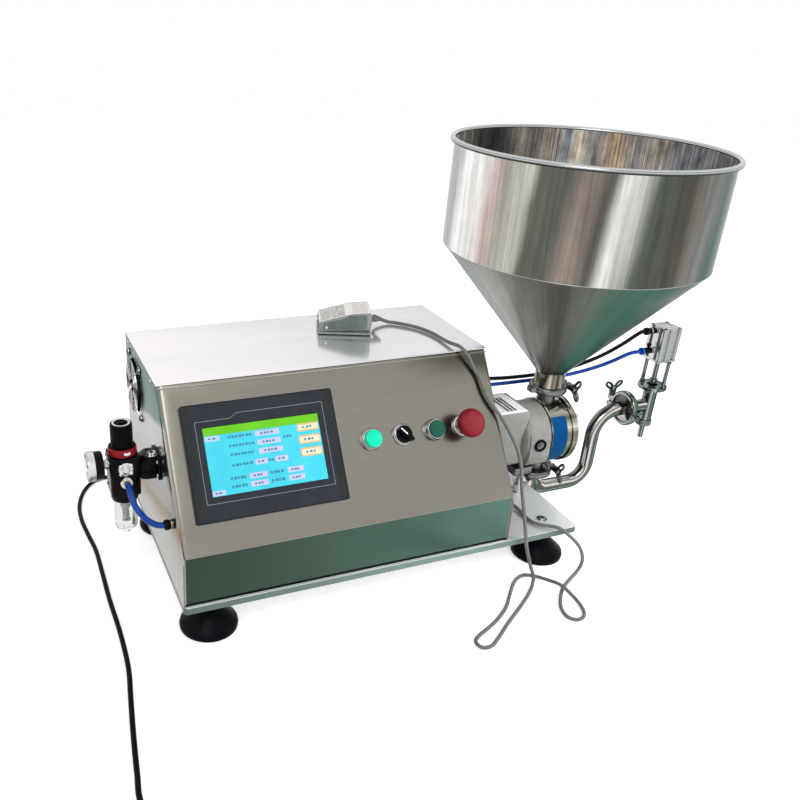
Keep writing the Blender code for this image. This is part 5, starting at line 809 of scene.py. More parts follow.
def hopper():
    bore = HOPPER_R - HOPPER_WALL
    neck_bore = NECK_R - HOPPER_WALL
    under = HOPPER_RIM - 0.001
    bend = (HOPPER_R, HOPPER_BEND + SEAM)
    cone = (HOPPER_R - SEAM, HOPPER_BEND - SEAM)
    throat = (NECK_R + 0.0025, HOPPER_CONE + 0.003)
    neck = [(NECK_R + 0.0004, HOPPER_CONE), (NECK_R, HOPPER_CONE - 0.002), (NECK_R, HOPPER_FOOT + 0.006),
            (FERRULE_R, HOPPER_FOOT + 0.0035), (FERRULE_R, HOPPER_FOOT)]
    turns = (math.radians(195 - 235 * i / 16) for i in range(17))
    rim = [(bore + BEAD_R * (1 + math.cos(a)), HOPPER_RIM + BEAD_R * math.sin(a)) for a in turns]
    bm = bmesh.new()
    for index, *profile in ((0, (HOPPER_R, under), bend),
                            (4, bend, (HOPPER_R + SEAM / 2, HOPPER_BEND), cone),
                            (1, cone, throat),
                            (3, throat, *neck, (neck_bore, HOPPER_FOOT)),
                            (2, (neck_bore, HOPPER_FOOT), (neck_bore, HOPPER_CONE), (bore, HOPPER_BEND),
                             (bore, under)),
                            (4, (bore, under), *rim, (HOPPER_R, under))):
        add_lathe(bm, Matrix.Translation((PORT_X, PUMP_Y, 0)), profile, HOPPER_STEPS, index)
    looks = ("hopper_wall", "hopper_cone", "hopper_inside", "neck_streaks_and_reflections", "bead_steel")
    finish_piece("hopper_shell", bm, looks, stands_for="hopper", angle=math.radians(44))


# Clamps, each in its own frame: ring about Z, bolt lugs at +X, hinge at -X, bolt along -Y
CLAMP_R = 0.029
CLAMP_T = 0.011
CLAMP_BORE = 0.0236
BOLT_OFFSET = 0.0342
BOLT_R = 0.0027
WING_T = 0.0042
WING_HUB_R = 0.0058
WING_HUB_H = 0.018
WING_SEAT = 0.0098
WING_TURN = math.pi / 2
RING_EAR = ((0.0034, 0.003), (0.0062, 0.011), (0.0122, 0.0155), (0.016, 0.0196), (0.0146, 0.0228),
            (0.01, 0.0226), (0.0052, 0.0186), (0.0026, 0.013))
CLAMP_PROFILE = ((CLAMP_BORE, -CLAMP_T / 2), (CLAMP_R - 0.0022, -CLAMP_T / 2), (CLAMP_R - 0.0006, -0.004),
                 (CLAMP_R, -0.0028), (CLAMP_R, 0.0028), (CLAMP_R - 0.0006, 0.004),
                 (CLAMP_R - 0.0022, CLAMP_T / 2), (CLAMP_BORE, CLAMP_T / 2))
CLAMP_SPAN = math.radians(86.5)
CLAMP_STEPS = 30


def clamp_half(bm, matrix, side):
    rings = []
    for i in range(CLAMP_STEPS + 1):
        angle = side * math.pi / 2 + CLAMP_SPAN * (2 * i / CLAMP_STEPS - 1)
        way = Vector((math.cos(angle), math.sin(angle), 0))
        rings.append([bm.verts.new(matrix @ (way * r + Z * h)) for r, h in CLAMP_PROFILE])
    skin(bm, rings)


def clamp_lugs(bm, matrix):
    for side in (-1, 1):
        lug = [(CLAMP_R - 0.004, side * 0.0016), (BOLT_OFFSET + 0.0045, side * 0.0016),
               (BOLT_OFFSET + 0.0045, side * 0.0088), (CLAMP_R - 0.005, side * 0.0104)]
        add_prism(bm, lift(matrix, -0.0042), rounded_outline(lug, 0.0024), 0.0084, 0.0005)
        ear = [(-CLAMP_R - 0.006, side * 0.0007), (-CLAMP_R + 0.004, side * 0.0007),
               (-CLAMP_R + 0.004, side * 0.0085), (-CLAMP_R - 0.006, side * 0.0062)]
        add_prism(bm, lift(matrix, -0.004), rounded_outline(ear, 0.0022), 0.008, 0.0005)
        pin = matrix @ Matrix.Translation((-CLAMP_R - 0.0016, side * 0.0036, -0.005))
        add_disc(bm, pin, 0.0021, 0.01, 0.0006, 16)


def bolt_place(matrix, along=0.0):
    """Frame on the clamp's bolt, with Z along the bolt."""
    return matrix @ Matrix.Translation((BOLT_OFFSET, -along, 0)) @ Matrix.Rotation(math.pi / 2, 4, "X")


def clamp(name, matrix, look, stands_for):
    bm = bmesh.new()
    for side in (-1, 1):
        clamp_half(bm, matrix, side)
    clamp_lugs(bm, matrix)
    threads = [(0.0184 + i * 0.00095, BOLT_R + 0.00025, 0.0005, 0.0002, 20) for i in range(7)]
    add_discs(bm, bolt_place(matrix), (-0.0112, 0.0042, 0.003, 0.0008, 20),
              (-0.0085, BOLT_R, 0.0335, 0.0006, 20), (0.0088, 0.0055, 0.0009, 0.0003, 24), *threads)
    if name == "outlet_clamp_ring":
        add_wing_nut(bm, matrix)
    finish_piece(name, bm, look, stands_for=stands_for)


def add_wing_nut(bm, matrix):
    """Hub with two ring-shaped ears, on the clamp's bolt."""
    hub = bolt_place(matrix, WING_SEAT)
    profile = [(BOLT_R, 0), (WING_HUB_R, 0), (WING_HUB_R - 0.0008, WING_HUB_H * 0.85),
               (BOLT_R + 0.0003, WING_HUB_H * 0.9)]
    add_lathe(bm, hub, closed(profile, 0.0008), 24)
    for side in (0, math.pi):
        ear = hub @ Matrix.Rotation(WING_TURN + side, 4, "Z") @ Matrix.Rotation(math.pi / 2, 4, "X")
        centre = [ear @ Vector((x, z, 0)) for x, z in RING_EAR]
        add_tube(bm, smooth_route([*centre, centre[0]], 4), WING_T / 2, 10)


def wing_nut(name, matrix, look, body, stands_for):
    bm = bmesh.new()
    add_wing_nut(bm, matrix)
    finish_piece(name, bm, look, body, stands_for)


PORT_RISE = 0.073
PIPE_END = Vector((0.7815, 0.14, 0.165))
# Frame whose Z runs along the world's X
ALONG_X = Matrix(((0, 0, 1), (1, 0, 0), (0, 1, 0))).to_4x4()


def clamps():
    top = Matrix.Translation((PORT_X, PUMP_Y, PUMP_Z + PORT_RISE))
    low = Matrix.Translation((PORT_X, PUMP_Y, PUMP_Z - PORT_RISE))
    side = Matrix.Translation(PIPE_END) @ ALONG_X @ Matrix.Rotation(math.pi, 4, "X")
    clamp("hopper_clamp_ring", top, "dark_steel", "hopper_clamp")
    wing_nut("hopper_wings", top, "dark_steel", "hopper_nut", "hopper_wing_nut")
    clamp("outlet_clamp_ring", low, "dark_steel", "outlet_clamp")
    clamp("valve_clamp_ring", side, "valve_steel", "valve_clamp")
    wing_nut("valve_wings", side, "valve_steel", "valve_nut", "valve_wing_nut")


# Touch screen
SCREEN_LEFT = 0.0228
SCREEN_BOTTOM = 0.0365
SCREEN_WIDTH = 0.204
SCREEN_HEIGHT = 0.148
SCREEN_T = 0.0063
GLASS_WIDTH = 0.154
GLASS_HEIGHT = 0.086
GLASS_TOP = 0.006
GLASS_T = 0.0012
SCREEN_MIDDLE = (SCREEN_LEFT + SCREEN_WIDTH / 2, SCREEN_BOTTOM + SCREEN_HEIGHT / 2)
INK = 0.00012
# Patches of the picture: left, right, top and bottom as shares of the glass
PICTURE = {
    "title": ((0.0, 1.0, 0.0, 0.12),),
    "field": ((0.43, 0.64, 0.14, 0.22), (0.44, 0.64, 0.27, 0.35), (0.44, 0.65, 0.4, 0.48),
              (0.395, 0.5, 0.55, 0.63), (0.57, 0.68, 0.55, 0.63), (0.33, 0.48, 0.74, 0.82),
              (0.66, 0.8, 0.74, 0.82), (0.33, 0.48, 0.86, 0.94), (0.66, 0.8, 0.86, 0.94),
              (0.01, 0.13, 0.13, 0.2), (0.0, 0.11, 0.92, 0.99)),
    "mark": ((0.2, 0.41, 0.155, 0.195), (0.2, 0.42, 0.285, 0.325), (0.2, 0.41, 0.415, 0.455),
             (0.2, 0.38, 0.57, 0.61), (0.51, 0.56, 0.57, 0.61), (0.17, 0.31, 0.755, 0.8),
             (0.51, 0.63, 0.755, 0.8), (0.17, 0.31, 0.875, 0.92), (0.51, 0.63, 0.875, 0.92),
             (0.67, 0.75, 0.26, 0.3)),
}
KEYS = ((0.12, 0.24), (0.3, 0.43), (0.49, 0.62))
KEY_SPAN = (0.8, 0.99)
KEY_EDGE = 0.008
DASH_STEP = 0.028
INK_LAYERS = {"cream": 2, "mark": 3}


def glass_patch(left, right, top, bottom):
    """Outline, on the slope, of a patch given in shares of the glass."""
    u = SCREEN_MIDDLE[0] + GLASS_WIDTH * ((left + right) / 2 - 0.5)
    v = SCREEN_MIDDLE[1] + GLASS_HEIGHT * (0.5 - (top + bottom) / 2)
    return rectangle(GLASS_WIDTH * (right - left), GLASS_HEIGHT * (bottom - top), 0.0, (u, v))


def picture_patches():
    for look, patches in PICTURE.items():
        for patch in patches:
            yield look, patch
    for top, bottom in KEYS:
        yield "orange", (*KEY_SPAN, top, bottom)
        yield "cream", (KEY_SPAN[0] + KEY_EDGE, KEY_SPAN[1] - KEY_EDGE, top + 0.02, bottom - 0.02)


def dashed(patches):
    """Splits each dark mark into a row of short dashes and puts such rows on the fields and keys."""
    for look, patch in patches:
        left, right, top, bottom = patch
        if look != "mark":
            yield look, patch
        if look in ("title", "orange"):
            continue
        inset = 0.0 if look == "mark" else (right - left) * 0.22
        height = (bottom - top) * (0.9 if look == "mark" else 0.36)
        middle = (top + bottom) / 2
        count = max(2, round((right - left - 2 * inset) / DASH_STEP))
        step = (right - left - 2 * inset) / count
        for i in range(count):
            start = left + inset + i * step
            end = start + step * (0.55 + 0.2 * (i % 2))
            yield "mark", (start, end, middle - height / 2, middle + height / 2)


def screen_picture():
    bm = bmesh.new()
    looks = ["face"]
    add_prism(bm, on_slope(0, 0, GLASS_TOP - GLASS_T), glass_patch(0, 1, 0, 1), GLASS_T)
    for look, patch in dashed(picture_patches()):
        if look not in looks:
            looks.append(look)
        depth = INK * (1 + INK_LAYERS.get(look, 1))
        add_prism(bm, on_slope(0, 0, GLASS_TOP - INK), glass_patch(*patch), depth, index=looks.index(look))
    finish_piece("screen_picture", bm, ["screen_" + look for look in looks], stands_for="screen_glass")


LINE_MARGIN = 0.0085
LINE_STEP = 0.006
LINE_WIDTH = 0.0007


def screen_trim():
    """Thin stepped line round the glass, and darker strips along the sides of the frame."""
    bm = bmesh.new()
    half_w = GLASS_WIDTH / 2 + LINE_MARGIN
    half_h = GLASS_HEIGHT / 2 + LINE_MARGIN
    path = [(-half_w, -half_h), (half_w, -half_h), (half_w, half_h + LINE_STEP),
            (-half_w + 9.1 * LINE_STEP, half_h + LINE_STEP), (-half_w + 7.6 * LINE_STEP, half_h),
            (-half_w, half_h)]
    middle = on_slope(*SCREEN_MIDDLE, SCREEN_T - INK)
    for start, end in zip(path, path[1:] + path[:1]):
        way = Vector(end) - Vector(start)
        place = middle @ Matrix.Translation((*start, 0)) @ Matrix.Rotation(math.atan2(way.y, way.x), 4, "Z")
        line = rectangle(way.length + LINE_WIDTH, LINE_WIDTH, 0.0, (way.length / 2, 0))
        add_prism(bm, place, line, INK * 2)
    for side in (-1, 1):
        edge_x = side * (SCREEN_WIDTH / 2 - 0.0009)
        edge_y = side * (SCREEN_HEIGHT / 2 - 0.0009)
        for index, outline in (
                (1, rectangle(0.0088, SCREEN_HEIGHT - 0.006, 0.001, (side * (SCREEN_WIDTH / 2 - 0.0062), 0))),
                (2, rectangle(SCREEN_WIDTH - 0.003, 0.0012, 0.0, (0, edge_y))),
                (2, rectangle(0.0012, SCREEN_HEIGHT - 0.003, 0.0, (edge_x, 0)))):
            add_prism(bm, middle, outline, INK * 3, index=index)
    finish_piece("screen_trim", bm, ("screen_line", "screen_side", "screen_edge"))


# Controls
CONTROL_ROW = 0.1095
LAMP_U = 0.2735
SELECTOR_U = 0.3215
START_U = 0.3695
ESTOP_U = 0.4145
BEZEL_R = 0.0148
CAP_R = 0.0118
STEM_R = 0.0085
CAP_STEPS = 56
KNOB_REST = math.radians(-48)


def ring_bezel(name, u, height, stands_for):
    """Turned ring of a 22 mm control, with a stepped flange."""
    bm = bmesh.new()
    profile = [(CAP_R + 0.0004, 0), (BEZEL_R, 0), (BEZEL_R, height * 0.45), (BEZEL_R - 0.0012, height * 0.62),
               (BEZEL_R - 0.0014, height), (CAP_R + 0.0004, height)]
    add_lathe(bm, on_slope(u, CONTROL_ROW), closed(profile, 0.0006), CAP_STEPS)
    finish_piece(name, bm, "chrome", stands_for=stands_for)


def button_cap(name, u, high, dome, look, body, stands_for):
    bm = bmesh.new()
    flat = CAP_R - 0.0005
    top = [(flat * (1 - i / 8), high + dome * math.sin(math.pi / 2 * i / 8)) for i in range(9)]
    profile = [(0, -0.002), (STEM_R, -0.002), (STEM_R, 0.0038), (CAP_R, 0.0038), (CAP_R, high - 0.0005), *top]
    add_lathe(bm, on_slope(u, CONTROL_ROW), profile, CAP_STEPS)
    finish_piece(name, bm, look, body, stands_for, math.radians(60))


def selector():
    bm = bmesh.new()
    place = on_slope(SELECTOR_U, CONTROL_ROW)
    add_disc(bm, lift(place, 0.0005), 0.0122, 0.0062, 0.0012, CAP_STEPS)
    grip = [(-0.0118, -0.0034), (0.0, -0.0044), (0.0128, -0.0026), (0.0142, 0.0), (0.0128, 0.0026),
            (0.0, 0.0044), (-0.0118, 0.0034)]
    turned = place @ Matrix.Rotation(KNOB_REST, 4, "Z")
    add_prism(bm, lift(turned, 0.005), rounded_outline(grip, 0.0022), 0.009, 0.0011, 3)
    add_block(bm, (-0.0108, -0.0008, 0.01395), (0.0012, 0.0008, 0.01415), 0.0, 1, 1, turned)
    finish_piece("selector_grip", bm, ("black_gloss", "white_paint"), "selector", "selector_knob")


def emergency_stop():
    bm = bmesh.new()
    place = on_slope(ESTOP_U, CONTROL_ROW)
    collar = [(0.0092, 0), (BEZEL_R, 0), (BEZEL_R, 0.0034), (0.0133, 0.0044), (0.0128, 0.0118),
              (0.0092, 0.0118)]
    add_lathe(bm, place, closed(collar, 0.0007), CAP_STEPS)
    finish_piece("stop_collar", bm, "chrome", stands_for="estop_collar")
    bm = bmesh.new()
    stem = [(0.0, 0.001), (0.0086, 0.001), (0.0086, 0.0186), (0.015, 0.0192), (0.0186, 0.0204),
            (0.0199, 0.0226), (0.02, 0.027), (0.0194, 0.0296), (0.0178, 0.0312), (0.0166, 0.0316)]
    add_lathe(bm, place, soften(stem, 0.0012), 72)
    add_lathe(bm, place, [(0.0166, 0.0316), (0.016, 0.0326), (0.012, 0.0333), (0.0, 0.0336)], 72, 1)
    finish_piece("stop_head", bm, ("stop_red", "stop_top"), "emergency_stop", "estop_head", math.radians(50))


def controls():
    ring_bezel("lamp_ring", LAMP_U, 0.0075, "lamp_bezel")
    button_cap("lamp_lens", LAMP_U, 0.0125, 0.002, "lamp_green", "lamp_button", "lamp_cap")
    ring_bezel("selector_ring", SELECTOR_U, 0.005, "selector_bezel")
    selector()
    ring_bezel("start_ring", START_U, 0.0105, "start_bezel")
    button_cap("start_push", START_U, 0.0135, 0.0012, "start_green", "start_button", "start_cap")
    emergency_stop()


# Pump
BLOCK_LEFT = 0.4778
BLOCK_RIGHT = 0.5636
BLOCK_HALF = 0.036
BLOCK_UP = 0.055
BLOCK_DOWN = 0.0375
BLOCK_ROOF = PUMP_Z + BLOCK_UP
FLANGE_LEFT = 0.563
FLANGE_R = 0.0495
SIGHT_X = 0.5805
SIGHT_FACE = PUMP_Y - 0.0497
PUMP_LINE = Matrix.Translation((0, PUMP_Y, PUMP_Z)) @ ALONG_X


def side_prism(bm, matrix, outline, low, high, bevel, steps=2, index=0):
    """Extrudes an outline in the X, Z plane across Y."""
    stand = Matrix(((1, 0, 0), (0, 0, 1), (0, 1, 0))).to_4x4()
    add_prism(bm, matrix @ Matrix.Translation((0, low, 0)) @ stand, outline, high - low, bevel, steps, index)


def crescent_outline():
    """Shallow lens of painted shadow where the block runs into the flange, in X and height above the pump's
    axis.
    """
    low, high, bulge = -0.033, 0.042, 0.0058
    curve = [(math.sin(math.pi * i / 14), low + (high - low) * i / 14) for i in range(15)]
    inner = [(FLANGE_LEFT - 0.0008 * s, z) for s, z in curve[-2:0:-1]]
    return [(FLANGE_LEFT - bulge * s, z) for s, z in curve] + inner


def pump_gearbox():
    bm = bmesh.new()
    outline = [(-BLOCK_HALF, -BLOCK_DOWN), (BLOCK_HALF, -BLOCK_DOWN), (BLOCK_HALF, BLOCK_UP),
               (-BLOCK_HALF, BLOCK_UP)]
    add_prism(bm, lift(PUMP_LINE, BLOCK_LEFT), rounded_outline(outline, 0.007, 5),
              BLOCK_RIGHT - BLOCK_LEFT, 0.0012)
    flange = [(0.02, -0.0065), (0.04, -0.0065), (0.0462, -0.003), (FLANGE_R, 0.004), (FLANGE_R, 0.0367),
              (FLANGE_R - 0.0012, 0.0386), (0.02, 0.0386)]
    add_lathe(bm, lift(PUMP_LINE, FLANGE_LEFT), soften(flange, 0.0015), 96)
    wedge = [(-0.044, -BLOCK_DOWN), (-0.03, -BLOCK_DOWN), (-0.03, 0.03), (-0.038, 0.031),
             (-0.0497, 0.01), (-0.0497, -0.024)]
    add_prism(bm, lift(PUMP_LINE, FLANGE_LEFT + 0.0006), rounded_outline(wedge, 0.006), 0.0376, 0.0012)
    face = Matrix.Translation((0, PUMP_Y - BLOCK_HALF - 0.0004, PUMP_Z))
    # Dark lens on the block's front: painted shadow of the step into the flange
    side_prism(bm, face, crescent_outline(), 0.0, 0.001, 0.0003, 1, 2)
    add_block(bm, (0.479, PUMP_Y - 0.034, BLOCK_ROOF - 0.002), (0.559, PUMP_Y + 0.034, BLOCK_ROOF),
              0.0008, 2, 1)
    finish_piece("gearbox_casting", bm, ("cast_grey", "cast_top", "cast_shade"), stands_for="pump_gearbox")


PLATE_PAD = ((0.481, 0.109), (0.517, 0.164))
GRILLE_X = (0.529, 0.5355, 0.542)


def gearbox_top():
    """Blank plate with rivets and a slotted breather on the gearbox."""
    top = BLOCK_ROOF
    bm = bmesh.new()
    (left, front), (right, back) = PLATE_PAD
    add_block(bm, (left, front, top - 0.0002), (right, back, top + 0.0004), 0.0002)
    for x in (left + 0.002, right - 0.002):
        for y in (front + 0.002, back - 0.002):
            add_disc(bm, Matrix.Translation((x, y, top)), 0.001, 0.001, 0.0004, 12, 1)
    for x in GRILLE_X:
        add_block(bm, (x - 0.0014, 0.112, top - 0.0002), (x + 0.0014, 0.158, top + 0.0003), 0.0001, 1, 2)
        add_block(bm, (x - 0.003, 0.111, top - 0.0002), (x - 0.0017, 0.159, top + 0.0007), 0.0003, 1, 1)
    finish_piece("gearbox_plate", bm, ("white_paint", "bright_steel", "slot_black"))


def sight_glass():
    bm = bmesh.new()
    place = turn_to(-Y, (SIGHT_X, SIGHT_FACE + 0.0002, PUMP_Z))
    ring = [(0.0086, 0.0006), (0.0102, 0.0), (0.0102, 0.0028), (0.0094, 0.0036), (0.008, 0.0036),
            (0.0074, 0.0016), (0.0074, 0.0006)]
    add_lathe(bm, place, closed(ring, 0.0004), 48)
    add_disc(bm, lift(place, 0.0004), 0.0076, 0.0011, 0.0003)
    middle = [(0.0, 0.001), (0.0062, 0.001), (0.0062, 0.0026), (0.0048, 0.003), (0.004, 0.0022),
              (0.0, 0.0022)]
    add_lathe(bm, place, soften(middle, 0.0003), 40, 1)
    add_hex(bm, lift(place, 0.0022), 0.0046, 0.0012, 2)
    finish_piece("oil_glass", bm, ("black_gloss", "dark_steel", "neck_dark"), stands_for="sight_glass")


CASE_LEFT = 0.602
CASE_RIGHT = 0.638
CASE_R = 0.052
COVER_R = 0.0544
COVER_LEFT = 0.6383
COVER_RIGHT = 0.6503
BAND_RIGHT = 0.629
BAND_ARC = (134, 236)
BAND_T = 0.00025
STUB_R = 0.014
NUT_CIRCLE = 0.82


def pump_case():
    """Shell of the pump case and its two ports."""
    bm = bmesh.new()
    shell = [(0.024, CASE_LEFT), (CASE_R - 0.001, CASE_LEFT), (CASE_R, CASE_LEFT + 0.001),
             (CASE_R, CASE_RIGHT - 0.001), (CASE_R - 0.001, CASE_RIGHT), (0.048, CASE_RIGHT),
             (0.048, CASE_LEFT + 0.004), (0.024, CASE_LEFT + 0.004), (0.024, CASE_LEFT)]
    add_lathe(bm, PUMP_LINE, shell, 112)
    stub = [(0.009, 0.048), (STUB_R, 0.048), (STUB_R, 0.0655), (FERRULE_R, 0.0692), (FERRULE_R, 0.0727),
            (0.009, 0.0727)]
    # The port stubs take the darker neck steel: painted shade
    for turn in (0, math.pi):
        port = Matrix.Translation((PORT_X, PUMP_Y, PUMP_Z)) @ Matrix.Rotation(turn, 4, "X")
        add_lathe(bm, port, soften(stub, 0.0008), 56, 1)
    finish_piece("case_shell", bm, ("case_steel", "neck_dark"), stands_for="rotor_case")


def case_band():
    """Painted band round the front of the pump case."""
    bm = bmesh.new()
    left = CASE_LEFT + 0.0006
    corners = ((left, CASE_R - 0.0004), (left, CASE_R + BAND_T), (BAND_RIGHT, CASE_R + BAND_T),
               (BAND_RIGHT, CASE_R - 0.0004))
    rings = [[bm.verts.new(point) for point in ring] for ring in
             zip(*(arc((x, PUMP_Y, PUMP_Z), radius, *BAND_ARC, 40, Y) for x, radius in corners))]
    skin(bm, rings)
    finish_piece("case_band", bm, "band_blue")


def pump_cover():
    bm = bmesh.new()
    cover = [(0.012, COVER_LEFT), (COVER_R, COVER_LEFT), (COVER_R, COVER_LEFT + 0.0046),
             (COVER_R - 0.0009, COVER_LEFT + 0.0052), (COVER_R - 0.0009, COVER_LEFT + 0.0062),
             (COVER_R, COVER_LEFT + 0.0068), (COVER_R, COVER_RIGHT - 0.003), (COVER_R - 0.003, COVER_RIGHT),
             (0.03, COVER_RIGHT), (0.027, COVER_RIGHT - 0.0012), (0.0, COVER_RIGHT - 0.0012)]
    add_lathe(bm, PUMP_LINE, soften(cover, 0.0008), 112)
    angles = (math.pi / 12 * k for k in range(7))
    dome = [(0.0042 * math.cos(a), 0.0038 + 0.0036 * math.sin(a)) for a in angles]
    for spot in arc((COVER_RIGHT - 0.0002, PUMP_Y, PUMP_Z), COVER_R * NUT_CIRCLE, 45, 315, 3, Y):
        nut = turn_to(X, spot)
        add_disc(bm, nut, 0.0062, 0.001, 0.0003, 28, 1)
        add_prism(bm, lift(nut, 0.0008), hexagon(0.0092), 0.0032, 0.0003, 1, 1)
        add_lathe(bm, nut, [(0.0, 0.003), (0.0042, 0.003), *dome], 24, 1)
    finish_piece("cover_disc", bm, ("case_steel", "bright_steel"), stands_for="pump_cover")


SUPPORT_LEFT = 0.553
SUPPORT_RIGHT = 0.585
SUPPORT_STUD_X = 0.571
SUPPORT_Z = (0.094, 0.107)


def pump_support():
    """Cross bar under the gearbox on two threaded studs, with nuts above and below."""
    bm = bmesh.new()
    low, high = SUPPORT_Z
    add_block(bm, (SUPPORT_LEFT, PUMP_Y - 0.036, low), (SUPPORT_RIGHT, PUMP_Y + 0.036, high), 0.001)
    threads = [(0.016 + 0.0019 * i, 0.0052, 0.0009, 0.0003, 24, 1) for i in range(9)]
    for y in (PUMP_Y - 0.028, PUMP_Y + 0.028):
        stud = Matrix.Translation((SUPPORT_STUD_X, y, PLATE_TOP + 0.0003))
        add_discs(bm, stud, (0, 0.0049, low - PLATE_TOP, 0.0004, 24, 1),
                  (0, 0.0098, 0.0014, 0.0004, 32, 1), *threads)
        add_hex(bm, lift(stud, 0.0012), 0.0158, 0.0138, 1)
    finish_piece("support_bar", bm, ("dark_steel", "bright_steel"), stands_for="pump_support")


# Outlet pipe
PIPE_R = 0.011
PIPE_LOW = 0.04
RISER_X = 0.725
PIPE_BENDS = (0.026, 0.034, 0.04)


def outlet_pipe():
    first, second, third = PIPE_BENDS
    y = PUMP_Y
    port_z = PUMP_Z - PORT_RISE
    points = [Vector((PORT_X, y, port_z - 0.0005))]
    points += arc((PORT_X + first, y, PIPE_LOW + first), first, 180, 270, 14)
    points += arc((RISER_X - second, y, PIPE_LOW + second), second, -90, 0, 14)
    points += arc((RISER_X + third, y, PIPE_END.z - third), third, 180, 90, 16)
    points.append(PIPE_END - X * 0.0005)
    bm = bmesh.new()
    add_tube(bm, points, PIPE_R, 40)
    flare = [(0.0095, 0.0), (FERRULE_R, 0.0), (FERRULE_R, 0.003), (PIPE_R + 0.0016, 0.0066),
             (PIPE_R - 0.0005, 0.007)]
    for place in (turn_to(-Z, (PORT_X, y, port_z - 0.0003)), turn_to(-X, PIPE_END - X * 0.0003)):
        add_lathe(bm, place, soften(flare, 0.0007), 56)
    finish_piece("pipe_run", bm, "pipe_steel", stands_for="outlet_pipe")


# Filling valve
VALVE_R = 0.011
VALVE_BORE = 0.0085
VALVE_TOP = 0.2025
YOKE_TOP = 0.2512
CYLINDER_LOW = 0.2515
CYLINDER_HIGH = 0.3045
CYLINDER_HALF = 0.018
ROD_CIRCLE = 0.0185
ROD_ANGLE = -71
VALVE_AXIS = Matrix.Translation((VALVE_X, PUMP_Y, 0))


def valve_body():
    bm = bmesh.new()
    tube = [(VALVE_BORE, 0.14), (VALVE_R, 0.14), (VALVE_R, 0.1967), (0.0095, 0.1967)]
    add_lathe(bm, VALVE_AXIS, soften(tube, 0.0006), 56)
    flange = [(VALVE_BORE, 0.1967), (0.0222, 0.1967), (0.023, 0.1977), (0.023, 0.2015), (0.0222, VALVE_TOP),
              (VALVE_BORE, VALVE_TOP)]
    add_lathe(bm, VALVE_AXIS, soften(flange, 0.0005), 64)
    inlet = turn_to(-X, (VALVE_X - VALVE_BORE, PUMP_Y, PIPE_END.z))
    length = VALVE_X - VALVE_BORE - PIPE_END.x - 0.0003
    profile = [(VALVE_BORE, 0.0), (0.0106, 0.0), (0.0106, length - 0.0072), (0.0128, length - 0.0068),
               (FERRULE_R, length - 0.0032), (FERRULE_R, length), (VALVE_BORE, length)]
    add_lathe(bm, inlet, soften(profile, 0.0007), 56, 1)
    for angle in (30, 150, 210, 330):
        spot = arc((VALVE_X, PUMP_Y, 0.1967), 0.0178, angle, angle, 1, X, Y)[0]
        add_hex(bm, turn_to(-Z, spot), 0.0048, 0.0028, 1)
    finish_piece("valve_tube", bm, ("valve_steel", "pipe_steel"), stands_for="valve_body")


def valve_nozzle():
    bm = bmesh.new()
    collar = [(0.0045, 0.1287), (0.0112, 0.1287), (0.0125, 0.13), (0.0125, 0.134), (0.0119, 0.1346),
              (0.0119, 0.1356), (0.0125, 0.1362), (0.0125, 0.1386), (0.0118, 0.1397), (0.0045, 0.1397)]
    add_lathe(bm, VALVE_AXIS, soften(collar, 0.0004), 56)
    spout = [(0.0034, 0.1047), (0.0042, 0.1047), (0.0045, 0.1056), (0.0045, 0.129), (0.0034, 0.129)]
    add_lathe(bm, VALVE_AXIS, closed(spout, 0.0003), 40, 1)
    finish_piece("valve_spout", bm, ("dark_steel", "valve_steel"), stands_for="valve_nozzle")


def valve_yoke():
    """Top plate and two chrome rods between the valve and its cylinder."""
    bm = bmesh.new()
    add_block(bm, (-0.0178, -0.0178, YOKE_TOP - 0.004), (0.0178, 0.0178, YOKE_TOP), 0.0006, 2, 1, VALVE_AXIS)
    for spot in arc((VALVE_X, PUMP_Y, 0), ROD_CIRCLE, ROD_ANGLE, ROD_ANGLE + 180, 1, X, Y):
        add_discs(bm, Matrix.Translation(spot),
                  (VALVE_TOP + 0.0003, 0.003, YOKE_TOP - 0.004 - VALVE_TOP, 0.0003, 24),
                  (VALVE_TOP + 0.0004, 0.0044, 0.0024, 0.0004, 24),
                  (YOKE_TOP - 0.006, 0.004, 0.0022, 0.0004, 24))
    finish_piece("yoke_rods", bm, ("valve_steel", "aluminium"), stands_for="valve_yoke")


GROOVES = (-0.0084, 0.0084)


def cylinder_outline():
    """Square with rounded corners and two grooves in each side."""
    half = CYLINDER_HALF
    side = []
    for place in GROOVES:
        side += [(place - 0.003, -half), (place - 0.002, -half + 0.003), (place + 0.002, -half + 0.003),
                 (place + 0.003, -half)]
    outline = []
    for quarter in range(4):
        turn = Matrix.Rotation(math.pi / 2 * quarter, 2)
        corner = [(-half, -half + 0.0024), (-half + 0.0007, -half + 0.0007), (-half + 0.0024, -half)]
        outline += [tuple(turn @ Vector(p)) for p in corner + side]
    return outline


def valve_cylinder():
    axis = lift(VALVE_AXIS, CYLINDER_LOW)
    height = CYLINDER_HIGH - CYLINDER_LOW
    floor = -CYLINDER_HALF + 0.002
    bm = bmesh.new()
    add_prism(bm, axis, cylinder_outline(), height, 0.0003, 1)
    for quarter in range(4):
        turn = axis @ Matrix.Rotation(math.pi / 2 * quarter, 4, "Z")
        # Grey strips on the groove floors: painted shade in the grooves
        for place in GROOVES:
            add_block(bm, (place - 0.0023, floor, 0.0002), (place + 0.0023, floor + 0.0012, height - 0.0002),
                      0.0, 1, 5, turn)
        add_disc(bm, turn @ Matrix.Translation((0.014, 0.014, height)), 0.0024, 0.0006, 0.0002, 20, 1)
    add_disc(bm, lift(axis, height - 0.0002), 0.0145, 0.0008, 0.0003, 48, 0, 0.0112)
    add_fitting(bm, 0.299, "black")
    add_fitting(bm, 0.265, "blue")
    looks = ("aluminium", "slot_black", "bright_steel", "black_gloss", "hose_blue", "groove_painted_shade")
    finish_piece("cylinder_block", bm, looks, stands_for="valve_cylinder")


